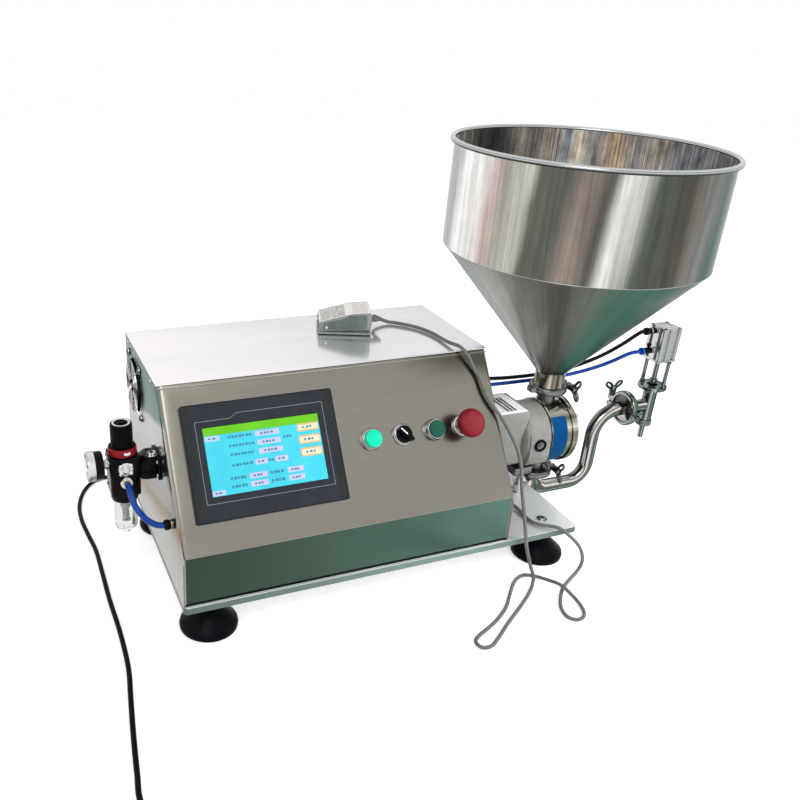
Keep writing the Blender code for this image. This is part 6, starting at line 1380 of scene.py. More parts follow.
def add_fitting(bm, height, kind):
    """Push-in fitting on the cylinder's left side; the blue one carries a small turned stem."""
    place = turn_to(-X, (VALVE_X - CYLINDER_HALF, PUMP_Y, height))
    add_hex(bm, lift(place, -0.001), 0.0088, 0.0048, 2)
    add_discs(bm, place, (0.0036, 0.005, 0.012, 0.0008, 28, 3), (0.015, 0.0043, 0.004, 0.0006, 28, 3),
              (0.0186, 0.0061, 0.0058, 0.0016, 32, 3 if kind == "black" else 4))
    if kind == "black":
        add_disc(bm, lift(place, 0.0116), 0.0052, 0.0016, 0.0004, 28, 2)
        return
    stem = turn_to(Z, (VALVE_X - CYLINDER_HALF - 0.0092, PUMP_Y, height + 0.003))
    add_discs(bm, stem, (0, 0.0024, 0.0056, 0.0004, 20, 3), (0.0048, 0.0036, 0.0044, 0.0008, 20, 3))


# Filter regulator
REG_HALF = 0.019
REG_LOW = 0.168
REG_TOP = 0.223
REG_PORT_Z = 0.191
GAUGE_Z = 0.209
GAUGE_R = 0.0195
GAUGE_FACE = -0.0893
GAUGE_BODY = 0.02
GAUGE_RIM = 0.009
REG_AXIS = Matrix.Translation((REG_X, REG_Y, 0))


def add_ribs(bm, matrix, count, low, high, bevel):
    """Small blocks all round the matrix's Z."""
    for i in range(count):
        add_block(bm, low, high, bevel, 1, 0, matrix @ Matrix.Rotation(2 * math.pi * i / count, 4, "Z"))


def regulator_body():
    bm = bmesh.new()
    outline = rectangle(2 * REG_HALF, 2 * REG_HALF, 0.0062)
    add_prism(bm, lift(REG_AXIS, REG_LOW), outline, REG_TOP - REG_LOW, 0.0018, 3)
    skirt = [(0.012, 0.1574), (0.0166, 0.1574), (0.017, 0.16), (0.017, REG_LOW + 0.002),
             (0.0, REG_LOW + 0.002)]
    add_lathe(bm, REG_AXIS, soften(skirt, 0.0008), 56)
    add_ribs(bm, lift(REG_AXIS, 0.159), 14, (0.016, -0.0011, 0), (0.0174, 0.0011, 0.0088), 0.0004)
    neck = [(0.0, REG_TOP - 0.001), (0.0162, REG_TOP - 0.001), (0.015, 0.2345), (0.0126, 0.235),
            (0.0118, 0.2495), (0.0, 0.2495)]
    add_lathe(bm, REG_AXIS, soften(neck, 0.0006), 48)
    add_ports(bm)
    finish_piece("regulator_block", bm, ("black_gloss", "bright_steel", "brass"), stands_for="regulator_body")


def add_ports(bm):
    """Screwed plate and hose port on the front, stub towards the gauge, bolts beside it."""
    front = turn_to(-Y, (REG_X, REG_Y - REG_HALF, 0.2085))
    add_discs(bm, front, (-0.0004, 0.0092, 0.0014, 0.0004, 40, 1), (0.0008, 0.005, 0.0014, 0.0005, 32, 1))
    add_hex(bm, lift(front, 0.002), 0.0066, 0.0024, 1)
    port = turn_to(-Y, (REG_X, REG_Y - REG_HALF, REG_PORT_Z - 0.0005))
    collar = [(0.0044, 0.0), (0.0084, 0.0), (0.0084, 0.0036), (0.0074, 0.0058), (0.0044, 0.0058)]
    add_lathe(bm, port, soften(collar, 0.0006), 40, 1)
    seat = [(0.004, 0.004), (0.0062, 0.004), (0.0058, 0.0066), (0.0042, 0.0066)]
    add_lathe(bm, port, soften(seat, 0.0005), 40, 2)
    add_hex(bm, lift(turn_to(-X, (REG_X - REG_HALF, REG_Y, GAUGE_Z)), -0.0004), 0.012, 0.0044, 1)
    for sx in (-1, 1):
        for sy in (-1, 1):
            screw = front @ Matrix.Translation((sx * 0.0058, sy * 0.0052, 0.0006))
            add_disc(bm, screw, 0.0031, 0.0018, 0.0007, 24, 1)
        for height in (REG_LOW + 0.006, REG_TOP - 0.006):
            side = turn_to(-X, (REG_X - REG_HALF, REG_Y + sx * 0.0128, height))
            add_disc(bm, side, 0.0024, 0.001, 0.0004, 20, 1)


def regulator_top():
    """Red ring with a blank oval badge, and the ribbed knob with its slotted cap."""
    bm = bmesh.new()
    ring = [(0.0166, 0.2236), (0.0178, 0.2236), (0.018, 0.225), (0.018, 0.2318), (0.0172, 0.2334),
            (0.0166, 0.2336)]
    add_lathe(bm, REG_AXIS, closed(ring, 0.0005), 64)
    oval = [(0.0046 * math.cos(a), 0.0027 * math.sin(a)) for a in (2 * math.pi * i / 28 for i in range(28))]
    spot = turn_to((0.18, -0.95, 0.25), (REG_X + 0.003, REG_Y - 0.0172, 0.2292))
    add_prism(bm, lift(spot, -0.0006), oval, 0.0014, 0.0003, 1, 1)
    finish_piece("red_ring", bm, ("ring_red", "bright_steel"), stands_for="regulator_ring")
    bm = bmesh.new()
    knob = [(0.0124, 0.235), (0.0136, 0.235), (0.0138, 0.2372), (0.0138, 0.263), (0.0132, 0.265),
            (0.0116, 0.2655)]
    add_lathe(bm, REG_AXIS, soften(knob, 0.0006), 64)
    add_lathe(bm, REG_AXIS, [(0.0116, 0.2655), (0.0112, 0.2652), (0.0088, 0.2652)], 64, 1)
    add_lathe(bm, REG_AXIS, [(0.0088, 0.2652), (0.0082, 0.264), (0.0, 0.264)], 64, 0)
    add_ribs(bm, lift(REG_AXIS, 0.2384), 36, (0.0132, -0.0005, 0), (0.0139, 0.0005, 0.0226), 0.0002)
    slot = REG_AXIS @ Matrix.Rotation(math.radians(12), 4, "Z")
    add_block(bm, (-0.0068, -0.0014, 0.2636), (0.0068, 0.0014, 0.2654), 0.0004, 1, 0, slot)
    finish_piece("knob_cap", bm, ("black_plastic", "bright_steel"), "pressure_knob", "regulator_knob")


def pressure_gauge():
    place = turn_to(-X, (REG_X - REG_HALF - 0.004, REG_Y, GAUGE_Z))
    depth = REG_X - REG_HALF - 0.004 - GAUGE_FACE
    back = depth - GAUGE_BODY
    rim_back = depth - GAUGE_RIM
    bm = bmesh.new()
    add_disc(bm, lift(place, 0.0002), 0.0048, depth - 0.014, 0.0004, 28, 2)
    shell = [(0.0, back), (GAUGE_R - 0.0024, back), (GAUGE_R - 0.0008, back + 0.0012),
             (GAUGE_R - 0.0008, rim_back), (0.0, rim_back)]
    add_lathe(bm, place, soften(shell, 0.0009), 64, 0)
    rim = [(GAUGE_R - 0.003, rim_back - 0.0004), (GAUGE_R, rim_back - 0.0004), (GAUGE_R, depth - 0.0012),
           (GAUGE_R - 0.001, depth), (GAUGE_R - 0.0034, depth), (GAUGE_R - 0.0038, depth - 0.0016)]
    add_lathe(bm, place, soften(rim, 0.0005), 64, 1)
    add_lathe(bm, place, [(GAUGE_R - 0.0038, depth - 0.0016), (0.0, depth - 0.0016)], 64, 3)
    add_scale(bm, lift(place, depth - 0.0017))
    looks = ("black_gloss", "bright_steel", "chrome", "white_paint", "slot_black", "stop_red")
    finish_piece("gauge_case", bm, looks, stands_for="pressure_gauge")


def add_scale(bm, face):
    """Dial marks round the gauge and its needle."""
    for i in range(11):
        turn = face @ Matrix.Rotation(math.radians(225 - 27 * i), 4, "Z")
        length = 0.003 if i % 5 == 0 else 0.0018
        add_block(bm, (0.0146 - length, -0.0002, 0), (0.0146, 0.0002, 0.0002), 0.0, 1, 4, turn)
    needle = face @ Matrix.Rotation(math.radians(150), 4, "Z")
    outline = [(-0.0035, -0.0007), (0.0118, -0.0001), (0.0118, 0.0001), (-0.0035, 0.0007)]
    add_prism(bm, lift(needle, 0.0003), outline, 0.0003, index=5)
    add_disc(bm, face, 0.0013, 0.001, 0.0003, 16, 4)


BOWL_R = 0.015


def filter_bowl():
    bm = bmesh.new()
    bowl = [(BOWL_R, 0.1566), (BOWL_R, 0.12), (0.0138, 0.115), (0.011, 0.1122), (0.0052, 0.111),
            (0.0046, 0.1096), (0.0046, 0.105), (0.0026, 0.105), (0.0026, 0.112), (0.0098, 0.1138),
            (0.0122, 0.1162), (0.0134, 0.1204), (0.0134, 0.1566)]
    add_lathe(bm, REG_AXIS, closed(bowl, 0.001), 56)
    fins = [(0.1264 + 0.0026 * i, 0.0044, 0.0014, 0.0004, 36, 1) for i in range(7)]
    add_discs(bm, REG_AXIS, (0.144, 0.0066, 0.0124, 0.0005, 40, 1), *fins,
              (0.125, 0.003, 0.02, 0.0004, 24, 1), (0.1232, 0.0058, 0.0012, 0.0004, 36, 2))
    finish_piece("bowl_clear", bm, ("clear_bowl", "filter_grey", "bright_steel"), stands_for="filter_bowl")


BRACKET_Y = (0.111, 0.139)
BRACKET_Z = (0.186, 0.217)


def regulator_bracket():
    bm = bmesh.new()
    left, right = REG_X + REG_HALF + 0.0003, -0.0003
    low, high = BRACKET_Z
    front, back = BRACKET_Y
    arm = [(left, low + 0.002), (left + 0.008, low), (right - 0.003, low), (right - 0.003, high),
           (left + 0.01, high), (left, high - 0.007)]
    side_prism(bm, Matrix(), rounded_outline(arm, 0.002), front, back, 0.0009)
    add_block(bm, (right - 0.0032, front - 0.007, low), (right, back + 0.006, high), 0.0007)
    for y in (front - 0.003, back + 0.0024):
        for height in (low + 0.006, high - 0.006):
            add_disc(bm, turn_to(-X, (right - 0.003, y, height)), 0.0027, 0.002, 0.0008, 24, 1)
    for x in (left + 0.014, right - 0.0068):
        bolt = Matrix.Translation((x, (front + back) / 2 - 0.007, high - 0.0006))
        add_disc(bm, bolt, 0.0052, 0.0014, 0.0003, 28, 1)
        add_hex(bm, lift(bolt, 0.001), 0.0084, 0.0044, 1)
    finish_piece("bracket_arm", bm, ("black_gloss", "bright_steel"), stands_for="regulator_bracket")


INLET = Vector((-0.0003, 0.054, 0.151))


def inlet_fitting():
    """Silver fitting in the cabinet's left side with the black collar that grips the blue hose."""
    place = turn_to(-X, INLET + X * 0.0002)
    bm = bmesh.new()
    add_hex(bm, place, 0.0112, 0.0018, 1, 0.0042)
    neck = [(0.0042, 0.0014), (0.0056, 0.0014), (0.0056, 0.0034), (0.0042, 0.0034)]
    add_lathe(bm, place, soften(neck, 0.0004), 32)
    collar = [(0.0042, 0.003), (0.0068, 0.003), (0.0068, 0.008), (0.0054, 0.01), (0.0042, 0.01)]
    add_lathe(bm, place, soften(collar, 0.0006), 36)
    finish_piece("inlet_fitting", bm, ("black_gloss", "bright_steel"))


# Foot pedal, in its own frame: X towards the cord, Y across, Z up
PEDAL_PLACE = Vector((0.261, 0.2288, CAB_TOP))
PEDAL_TURN = Matrix.Rotation(math.radians(-19.75), 4, "Z")
PEDAL_FRAME = Matrix.Translation(PEDAL_PLACE) @ PEDAL_TURN
PEDAL_LENGTH = 0.077
PEDAL_WIDTH = 0.0555
PEDAL_MARGIN = 0.0046


def pedal_base():
    bm = bmesh.new()
    for margin, low, high, bevel, steps, look in ((0.0006, 0.0004, 0.0016, 0.0004, 1, 1),
                                                  (0.0002, 0.0014, 0.0048, 0.0012, 3, 2)):
        far = (PEDAL_LENGTH - margin, PEDAL_WIDTH - margin, high)
        add_block(bm, (margin, margin, low), far, bevel, steps, look, PEDAL_FRAME)
    body = [(0.05, 0.0044), (PEDAL_LENGTH - 0.003, 0.0044), (PEDAL_LENGTH - 0.0022, 0.016),
            (PEDAL_LENGTH - 0.004, 0.0246), (0.05, 0.0234)]
    lug = [(0.0052, 0.0044), (0.015, 0.0044), (0.0138, 0.013), (0.0064, 0.013)]
    for outline, bevel in ((body, 0.0012), (lug, 0.0008)):
        side_prism(bm, PEDAL_FRAME, outline, PEDAL_MARGIN, PEDAL_WIDTH - PEDAL_MARGIN, bevel)
    place = PEDAL_FRAME @ Matrix.Translation((PEDAL_LENGTH - 0.004, PEDAL_WIDTH / 2, 0.017))
    boss = [(0.0028, 0.0), (0.0058, 0.0), (0.0054, 0.006), (0.0042, 0.0072), (0.0038, 0.0152),
            (0.0028, 0.0152)]
    add_lathe(bm, place @ Matrix.Rotation(math.pi / 2, 4, "Y"), soften(boss, 0.0008), 36)
    finish_piece("pedal_foot", bm, ("pedal_grey", "black_rubber", "pedal_pale"), stands_for="pedal_base")


TREADLE_TOP = ((0.0012, 0.0192), (0.0308, 0.0281), (0.0493, 0.033), (PEDAL_LENGTH - 0.0018, 0.0352))
TREADLE_SIDE = ((0.0006, 0.006), (PEDAL_LENGTH - 0.0014, 0.0098), (PEDAL_LENGTH + 0.0002, 0.02),
                *reversed(TREADLE_TOP))
TREADLE_T = 0.0022
# Coarse pad, bare strip and plain pad: start, end and margin on each flat of the treadle's top, look
TREADLE_PADS = ((0.0025, 0.0309, 0.004, 3), (-0.0001, 0.008, 0.004, 3), (0.0006, 0.0215, 0.0036, 4))


def pedal_treadle():
    bm = bmesh.new()
    inner = [(x + 0.006 if x < 0.04 else x - 0.006, z * 0.86 + 0.0022) for x, z in TREADLE_SIDE]
    for low, edge in ((0.0, -0.0001), (PEDAL_WIDTH - TREADLE_T, PEDAL_WIDTH - TREADLE_T / 2)):
        side_prism(bm, PEDAL_FRAME, rounded_outline(TREADLE_SIDE, 0.0022), low, low + TREADLE_T, 0.0007, 2, 5)
        side_prism(bm, PEDAL_FRAME, rounded_outline(inner, 0.002), edge, edge + 0.0012, 0.0003, 1)
    lid = [*TREADLE_TOP, *((x, z - TREADLE_T) for x, z in reversed(TREADLE_TOP))]
    side_prism(bm, PEDAL_FRAME, lid, 0.001, PEDAL_WIDTH - 0.001, 0.0005, 2, 1)
    end = [(PEDAL_LENGTH - 0.0022, 0.0272), (PEDAL_LENGTH - 0.0002, 0.0272), (PEDAL_LENGTH - 0.0016, 0.035),
           (PEDAL_LENGTH - 0.004, 0.035)]
    side_prism(bm, PEDAL_FRAME, end, 0.0012, PEDAL_WIDTH - 0.0012, 0.0004, 1)
    pin = PEDAL_FRAME @ Matrix.Translation((0.0118, 0.0002, 0.0118)) @ Matrix.Rotation(math.pi / 2, 4, "X")
    add_disc(bm, pin, 0.0021, 0.0007, 0.0003, 24, 2)
    for (x, z), (next_x, next_z), pad in zip(TREADLE_TOP, TREADLE_TOP[1:], TREADLE_PADS):
        start, stop, margin, look = pad
        tilt = Matrix.Rotation(-math.atan2(next_z - z, next_x - x), 4, "Y")
        add_block(bm, (start, margin, -0.0004), (stop, PEDAL_WIDTH - margin, 0.0006), 0.0003, 1, look,
                  PEDAL_FRAME @ Matrix.Translation((x, 0, z)) @ tilt)
    looks = ("pedal_grey", "pedal_white", "bright_steel", "pedal_pad", "pedal_plate", "pedal_pale")
    finish_piece("treadle_cover", bm, looks, "foot_treadle", "pedal_treadle")


# Feet and base
FOOT_SPOTS = {"foot_front_left": (0.0405, 0.031), "foot_front_right": (0.5595, 0.031),
              "foot_back_left": (0.0405, 0.281), "foot_back_right": (0.5595, 0.281)}
FOOT_PROFILE = ((0.0, 0.0004), (0.037, 0.0004), (0.0384, 0.0016), (0.0388, 0.005), (0.038, 0.0088),
                (0.0362, 0.0108), (0.033, 0.0136), (0.028, 0.0184), (0.022, 0.0238), (0.016, 0.0284),
                (0.0138, 0.0298), (0.011, 0.0302), (0.0, 0.0302))


def foot(node, place):
    axis = Matrix.Translation((*place, 0))
    bm = bmesh.new()
    add_lathe(bm, axis, FOOT_PROFILE, 72, 0)
    collar = [(0.0, 0.0296), (0.0098, 0.0296), (0.0098, 0.033), (0.0, 0.0334)]
    add_lathe(bm, axis, soften(collar, 0.0008), 32, 1)
    threads = [(0.0338 + 0.0016 * i, 0.0051, 0.0008, 0.0003, 24, 1) for i in range(5)]
    add_discs(bm, axis, (0.0325, 0.0048, 0.0305, 0.0006, 24, 1), *threads,
              (0.0482, 0.0094, 0.0014, 0.0004, 32, 1))
    add_hex(bm, lift(axis, 0.0417), 0.016, 0.0066, 1)
    if place[0] > 0.5:
        add_disc(bm, lift(axis, PLATE_TOP + 0.0002), 0.008, 0.0008, 0.0003, 32, 1, 0.0052)
    finish_piece(f"{node}_pad", bm, ("black_rubber", "bright_steel"), stands_for=node, angle=math.radians(40))


def feet():
    for node, place in FOOT_SPOTS.items():
        foot(node, place)


SKIRT_FACE = 0.0018
SKIRT_LEFT = 0.0023
SKIRT_RIGHT = 0.4752
SKIRT_Z = (0.0603, 0.1326)
STRIP = 0.0014


def skirt_painted_light_lines():
    """Painted highlights along the sheet edges round the skirt, a black strip of painted shadow in the gap
    above the plate, and at the slope's top a painted shadow line under a painted highlight line.
    """
    bm = bmesh.new()
    low, high = SKIRT_Z
    for left, right, foot_z, top_z, look in ((SKIRT_LEFT, SKIRT_RIGHT, high - STRIP, high, 0),
                                             (SKIRT_LEFT, SKIRT_LEFT + STRIP, low + 0.003, high, 0),
                                             (SKIRT_RIGHT - STRIP, SKIRT_RIGHT, low + 0.003, high, 0),
                                             (SKIRT_LEFT, SKIRT_RIGHT, low, low + 0.0026, 1)):
        add_block(bm, (left, SKIRT_FACE - 0.0007, foot_z), (right, SKIRT_FACE + 0.0001, top_z),
                  0.0002, 1, look)
    # At the slope's top: a painted shadow line under a painted highlight line
    for v, width, look in ((0.2086, 0.0006, 2), (0.2094, 0.001, 0)):
        add_block(bm, (0.0006, 0, -0.0003), (CAB_WIDTH - 0.0006, width, 0.00015),
                  0.0, 1, look, on_slope(0, v))
    finish_piece("skirt_painted_light_lines", bm, ("skirt_edge_highlight", "slot_black", "cast_shade"))


def cover_screws():
    """Button head screws along both sides of the cover's lip and in the rear panel."""
    bm = bmesh.new()
    head = [(0.0, 0.0), (0.0026, 0.0), (0.0022, 0.001), (0.001, 0.0014), (0.0, 0.0014)]
    for y in (0.15, 0.29):
        for x, way in ((-0.00005, -X), (CAB_WIDTH + 0.00005, X)):
            add_lathe(bm, turn_to(way, (x, y, 0.3055)), head, 20)
    head = [(0.0, 0.0), (0.003, 0.0), (0.0026, 0.0012), (0.0012, 0.0017), (0.0, 0.0017)]
    for x in (0.012, 0.2388, 0.4655):
        for height in (0.074, 0.296):
            add_lathe(bm, turn_to(Y, (x, 0.31195, height)), head, 24)
    finish_piece("cover_screws", bm, "bright_steel", angle=math.radians(50))


# Fan guard
FAN_PLACE = Vector((0, 0.254, 0.255))
GUARD_X = -0.0045
WIRE_R = 0.001
GUARD_RINGS = (0.0125, 0.0173, 0.0221, 0.0269, 0.0317, 0.0365)
GUARD_LEG = 0.0357


def fan_guard():
    """Chromed wire guard: rings, four legs to the screws and the screws."""
    bm = bmesh.new()
    middle = FAN_PLACE + X * GUARD_X
    for radius in GUARD_RINGS:
        sweep_ring(bm, middle, radius, 48, WIRE_R * 1.05)
    head = [(0.0, 0.0), (0.004, 0.0), (0.004, 0.0014), (0.003, 0.0032), (0.0, 0.0038)]
    for i in range(4):
        angle = math.radians(45 + 90 * i)
        way = Vector((0, math.cos(angle), math.sin(angle)))
        corner = FAN_PLACE + way * GUARD_LEG * math.sqrt(2)
        legs = [middle + X * 0.0004 + way * 0.0125, middle + X * 0.0004 + way * 0.0375,
                corner - X * 0.0024 - way * 0.0068, corner - X * 0.0012 - way * 0.004]
        add_tube(bm, smooth_route(legs, 5), WIRE_R * 1.15, 10)
        sweep_ring(bm, corner - X * 0.0012, 0.0046, 20, WIRE_R)
        add_lathe(bm, turn_to(-X, corner - X * 0.0004), head, 20, 1)
    add_disc(bm, turn_to(-X, middle + X * 0.0012), 0.003, 0.0016, 0.0004, 24)
    finish_piece("guard_wires", bm, ("guard_steel", "dark_steel"), stands_for="fan_guard")


def sweep_ring(bm, centre, radius, count, wire, steps=10):
    """Closed round wire in a circle across X."""
    angles = [2 * math.pi * k / steps for k in range(steps)]
    rings = []
    for point in arc(centre, radius, 0, 360, count, Y, Z)[:-1]:
        out = (point - centre).normalized()
        rings.append([bm.verts.new(point + (out * math.cos(a) + X * math.sin(a)) * wire) for a in angles])
    skin(bm, [*rings, rings[0]], caps=False)


# Glands
PEDAL_CORD_R = 0.0026
MAINS_R = 0.0033
GLAND_PROFILE = ((0.0034, 0.0), (0.0085, 0.0), (0.0085, 0.003), (0.0078, 0.0036), (0.0078, 0.0104),
                 (0.0066, 0.014), (0.0056, 0.0178), (0.0034, 0.0178))


def gland(name, place, axis, cord_r, stands_for):
    """Cable gland with a ribbed nut; it reaches into the cabinet as the node does."""
    bm = bmesh.new()
    head = turn_to(axis, place)
    add_lathe(bm, head, soften([(max(r, cord_r + 0.0002), h) for r, h in GLAND_PROFILE], 0.0006), 40)
    add_prism(bm, lift(head, 0.0002), hexagon(0.0146), 0.003, 0.0004)
    add_ribs(bm, lift(head, 0.004), 18, (0.0072, -0.0005, 0), (0.0083, 0.0005, 0.006), 0.0002)
    add_disc(bm, lift(head, -0.0095), 0.0058, 0.01, 0.0004, 28)
    finish_piece(name, bm, "black_gloss", stands_for=stands_for)


def glands():
    gland("pedal_gland_nut", (CAB_WIDTH + 0.0003, 0.095, 0.074), X, PEDAL_CORD_R, "pedal_gland")
    gland("mains_gland_nut", (0.06, 0.3123, 0.095), Y, MAINS_R, "mains_gland")


# Cords and hoses; their routes are in tenths of a millimetre
def smooth_route(route, steps):
    """Points on a smooth curve through the route's points, with that many steps between two of them."""
    knots = [Vector(p) for p in route]
    knots = [2 * knots[0] - knots[1]] + knots + [2 * knots[-1] - knots[-2]]
    fine = []
    for before, start, end, after in zip(knots, knots[1:], knots[2:], knots[3:]):
        for step in range(steps):
            t = step / steps
            fine.append(0.5 * (2 * start + (end - before) * t
                               + (2 * before - 5 * start + 4 * end - after) * t ** 2
                               + (3 * start - before - 3 * end + after) * t ** 3))
    fine.append(knots[-2])
    return fine


def line_length(points):
    return sum((b - a).length for a, b in zip(points, points[1:]))


def metres(route):
    return [Vector([value / 10000 for value in point]) for point in route]


def cord_curve(name, points, radius, material, sides=4):
    data = bpy.data.curves.new(name, "CURVE")
    data.dimensions = "3D"
    data.bevel_depth = radius
    data.bevel_resolution = sides
    data.use_fill_caps = True
    spline = data.splines.new("POLY")
    spline.points.add(len(points) - 1)
    for knot, point in zip(spline.points, points):
        knot.co = (*point, 1)
    data.materials.append(LOOKS[material])
    obj = add_object(name, data)
    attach(obj, "machine")
    return obj


PEDAL_BOSS_TIP = Vector((0.0885, 0.02775, 0.017))
PEDAL_GLAND_END = Vector((0.4958, 0.095, 0.074))
PEDAL_CORD_ROUTE = (
    (3600, 2500, 3250), (3780, 2460, 3165), (3950, 2350, 3152), (4140, 2130, 3152), (4245, 1850, 3152),
    (4272, 1550, 3156), (4285, 1370, 3172), (4325, 1210, 3182), (4380, 1120, 3120), (4430, 1070, 3030),
    (4490, 1010, 2890), (4545, 935, 2790), (4580, 820, 2620), (4650, 720, 2475), (4760, 610, 2310),
    (4860, 490, 2120), (4940, 340, 1890), (4970, 225, 1660), (4960, 110, 1360), (4975, 0, 1050),
    (5000, -80, 760), (5030, -120, 540), (5080, -160, 330), (5120, -210, 165), (5105, -310, 95),
    (5020, -420, 55), (4890, -540, 29), (4620, -740, 29), (4230, -1000, 29), (3910, -1230, 29),
    (3740, -1330, 29), (3610, -1310, 29), (3590, -1190, 29), (3700, -1100, 29), (3900, -1010, 29),
    (4130, -890, 29), (4380, -710, 29), (4600, -480, 29), (4810, -270, 29), (5010, -170, 29),
    (5170, -230, 29), (5270, -420, 70), (5340, -640, 118), (5400, -850, 65), (5410, -1030, 29),
    (5330, -1210, 29), (5190, -1270, 29), (5080, -1180, 29), (5100, -1010, 29), (5210, -830, 29),
    (5400, -630, 29), (5620, -490, 29), (5800, -400, 50), (5920, -350, 150), (5945, -300, 280),
    (5880, -245, 430), (5740, -165, 580), (5620, -80, 670), (5520, 10, 675), (5420, 110, 655),
    (5360, 240, 640), (5350, 420, 635), (5360, 600, 645), (5320, 760, 665), (5220, 880, 705),
    (5090, 940, 735),
)


def pedal_cord():
    turn = PEDAL_TURN.to_3x3()
    start = ORIGIN + PEDAL_PLACE + turn @ PEDAL_BOSS_TIP
    end = ORIGIN + PEDAL_GLAND_END
    route = [start + turn @ X * 0.006, *(ORIGIN + p for p in metres(PEDAL_CORD_ROUTE)), end + X * 0.006]
    points = [start, *smooth_route(route, 6), end]
    cord = cord_curve("pedal_lead", points, PEDAL_CORD_R, "cord_grey")
    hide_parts("pedal_cord")


MAINS_GLAND_END = Vector((0.06, 0.3303, 0.095))
MAINS_ROUTE = (
    (600, 3440, 935), (585, 3580, 800), (540, 3760, 510), (460, 3960, 220), (330, 4150, 60),
    (120, 4320, 35), (-150, 4430, 35), (-430, 4360, 35), (-640, 4080, 35), (-770, 3680, 35),
    (-800, 3250, 35), (-765, 2780, 35), (-725, 2350, 35), (-730, 1740, 35), (-738, 1160, 35),
    (-728, 580, 35), (-738, 60, 35), (-763, -290, 35), (-825, -700, 35), (-905, -1250, 35),
    (-975, -1800, 35), (-1010, -2200, 35),
)
COIL_CENTRE = Vector((-0.133, -0.3, 0))
COIL_TURNS = 3
COIL_STEPS = 40
COIL_MID_R = 0.0385
COIL_PITCH = 0.0074
COIL_LAYER = 0.0072
COIL_ENTRY = 0.0066
COIL_TAIL = 0.04
COIL_Z = 0.0036


def coil_radius(turn):
    half = COIL_TURNS / 2
    return COIL_MID_R + COIL_PITCH * (abs(turn - half) - half / 2)


def coil_points():
    """Loops that spiral in to the middle turn and out again a layer higher, then a straight tail."""
    half = COIL_TURNS / 2
    points = [COIL_CENTRE + Vector((coil_radius(0), COIL_ENTRY, COIL_Z))]
    for step in range(COIL_TURNS * COIL_STEPS + 1):
        turn = step / COIL_STEPS
        angle = -2 * math.pi * turn
        climb = min(max((turn - half + 0.25) / 0.5, 0), 1)
        radius = coil_radius(turn)
        points.append(COIL_CENTRE + Vector((radius * math.cos(angle), radius * math.sin(angle),
                                            COIL_Z + COIL_LAYER * climb)))
    points.append(points[-1] - Y * COIL_TAIL)
    return points


def mains_lead():
    coil = coil_points()
    route = [MAINS_GLAND_END + Y * 0.006, *metres(MAINS_ROUTE), coil[0] + Y * 0.006]
    line = [MAINS_GLAND_END, *smooth_route(route, 6), *coil]
    points = [ORIGIN + p for p in line]
    lead = cord_curve("mains_lead", points, MAINS_R, "cord_black")
    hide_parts("mains_cord", "mains_coil")
    strain_relief(line)
    coil_tie()
    plug_trim(coil[-1])


SLEEVE_RINGS = 9
SLEEVE_PITCH = 0.0031
SLEEVE_R = (0.0056, 0.0039)


def strain_relief(line):
    """Tapered ribbed sleeve where the mains lead leaves its gland."""
    count = 2
    while line_length(line[:count]) <= SLEEVE_RINGS * SLEEVE_PITCH:
        count += 1
    fine = smooth_route(line[:count], 8)
    shares = [i / (len(fine) - 1) for i in range(len(fine))]
    low, high = SLEEVE_R
    radii = [low + (high - low) * s + (0.0005 if int(s * SLEEVE_RINGS * 2) % 2 == 0 else 0.0) for s in shares]
    bm = bmesh.new()
    add_tube(bm, fine, radii, 24)
    finish_piece("lead_sleeve", bm, "black_rubber", angle=math.radians(60))


TIE_WIDTH = 0.006
TIE_T = 0.0009


def coil_tie():
    """Flat strap round the coil's loops, opposite the plug."""
    middle = COIL_CENTRE + Vector((-(COIL_MID_R + 0.0012), 0, COIL_Z + COIL_LAYER / 2))
    half_x = 0.0104
    half_z = COIL_LAYER / 2 + MAINS_R + 0.0003
    outer = rectangle(2 * half_x, 2 * half_z, 0.0034)
    inner = [(x * (1 - TIE_T / half_x), z * (1 - TIE_T / half_z)) for x, z in outer]
    bm = bmesh.new()
    rows = []
    for outline, y in ((outer, -1), (outer, 1), (inner, 1), (inner, -1)):
        rows.append([bm.verts.new(middle + Vector((x, y * TIE_WIDTH / 2, z))) for x, z in outline])
    skin(bm, [*rows, rows[0]], caps=False)
    add_block(bm, (-0.004, -0.0036, half_z - 0.0002), (0.004, 0.0036, half_z + 0.0012), 0.0004,
              matrix=Matrix.Translation(middle))
    finish_piece("coil_tie", bm, "slot_black")


def plug_trim(tip):
    """Grip ribs on the plug's flanks."""
    bm = bmesh.new()
    for side in (-1, 1):
        for i in range(6):
            rib = Matrix.Translation(tip + Vector((side * 0.013, -0.0203 - 0.0034 * i, 0)))
            add_block(bm, (-0.0004, -0.0008, -0.0062), (0.0004, 0.0008, 0.0062), 0.0003, 1, 0, rib)
    finish_piece("plug_grip", bm, "cord_black")


def lay_hose(name, line, radius, look, node, sides=4):
    points = [ORIGIN + p for p in line]
    hose = cord_curve(name, points, radius, look, sides)
    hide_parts(node)


HOSE_R = 0.003
HOSE_SIDE = Vector((CAB_WIDTH, 0.182, 0))
HOSE_INSIDE = 0.008
HOSE_STRAIGHT = 0.006
FITTING_TIP = 0.7875
# Places of the air hoses between the cabinet and the cylinder, as shares of the way in X, Y and Z
BLACK_HOSE_SHARES = (
    (0.073, 0, -0.032), (0.208, 0, -0.121), (0.34, 0, -0.161),
    (0.492, 0, -0.169), (0.627, 0.012, -0.121), (0.737, 0.095, 0),
    (0.84, 0.333, 0.258), (0.911, 0.667, 0.605), (0.953, 0.917, 0.887),
)
BLUE_HOSE_SHARES = (
    (0.073, 0, -0.011), (0.215, 0, -0.045), (0.385, 0, -0.068),
    (0.524, 0, -0.08), (0.666, 0.024, -0.045), (0.789, 0.19, 0.148),
    (0.879, 0.524, 0.5), (0.944, 0.845, 0.886),
)


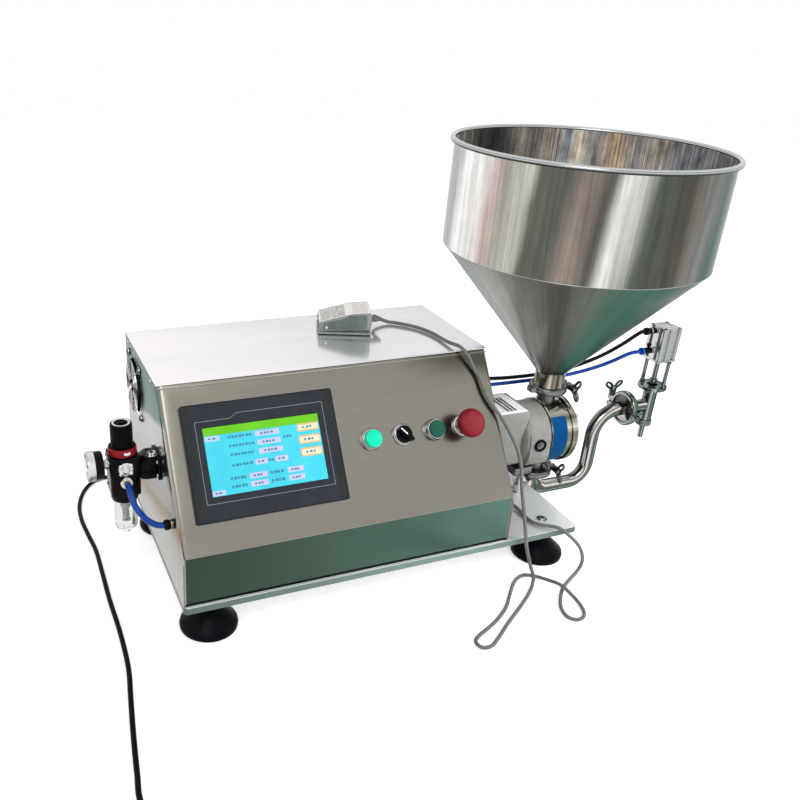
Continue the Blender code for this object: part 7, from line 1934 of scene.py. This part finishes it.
def air_hose(name, shares, hole_z, end_z, look, node):
    hole = HOSE_SIDE + Z * hole_z
    end = Vector((FITTING_TIP - 0.0003, PUMP_Y, end_z))
    route = [hole + (end - hole) * Vector(share) for share in shares]
    ends = (hole - X * HOSE_INSIDE, hole + X * HOSE_INSIDE, end - X * HOSE_STRAIGHT, end)
    lay_hose(name, smooth_route([*ends[:2], *route, *ends[2:]], 8), HOSE_R, look, node)
    bm = bmesh.new()
    grommet = [(HOSE_R + 0.0002, 0), (0.0058, 0), (0.0056, 0.0018), (0.0044, 0.003), (HOSE_R + 0.0002, 0.003)]
    add_lathe(bm, turn_to(X, hole - X * 0.0002), soften(grommet, 0.0005), 32)
    finish_piece(f"{name}_grommet", bm, "black_rubber")


REG_HOSE_R = 0.004
REG_HOSE_ROUTE = (
    (-440, 860, 1885), (-408, 722, 1745), (-310, 605, 1610), (-200, 555, 1535),
)


def regulator_hose():
    start = Vector((REG_X, REG_Y - REG_HALF - 0.0003, REG_PORT_Z - 0.0005))
    route = [start, start - Y * 0.008, *metres(REG_HOSE_ROUTE), INLET - X * 0.0095, INLET - X * 0.004]
    lay_hose("supply_hose", smooth_route(route, 8), REG_HOSE_R, "hose_blue", "regulator_hose", 6)


def hoses():
    air_hose("black_hose", BLACK_HOSE_SHARES, 0.237, 0.299, "hose_black", "air_hose_black")
    air_hose("blue_hose", BLUE_HOSE_SHARES, 0.221, 0.265, "hose_blue", "air_hose_blue")
    regulator_hose()


# The looks, the surroundings and then the pieces
for make in (cabinet_sheet, skirt_sheet, top_sheet, plate_sheet, clear_bowl, rough_pad, make_metals,
             make_plastics, make_paints, dress_nodes, add_camera, add_world, add_floor, add_lamps, hopper,
             clamps, screen_picture, screen_trim, controls, pump_gearbox, gearbox_top, sight_glass, pump_case,
             case_band, pump_cover, pump_support, outlet_pipe, valve_body, valve_nozzle, valve_yoke,
             valve_cylinder, regulator_body, regulator_top, pressure_gauge, filter_bowl, regulator_bracket,
             inlet_fitting, pedal_base, pedal_treadle, feet, skirt_painted_light_lines, cover_screws, fan_guard, glands,
             hoses, pedal_cord, mains_lead):
    make()
bpy.context.scene.view_settings.view_transform = "Standard"
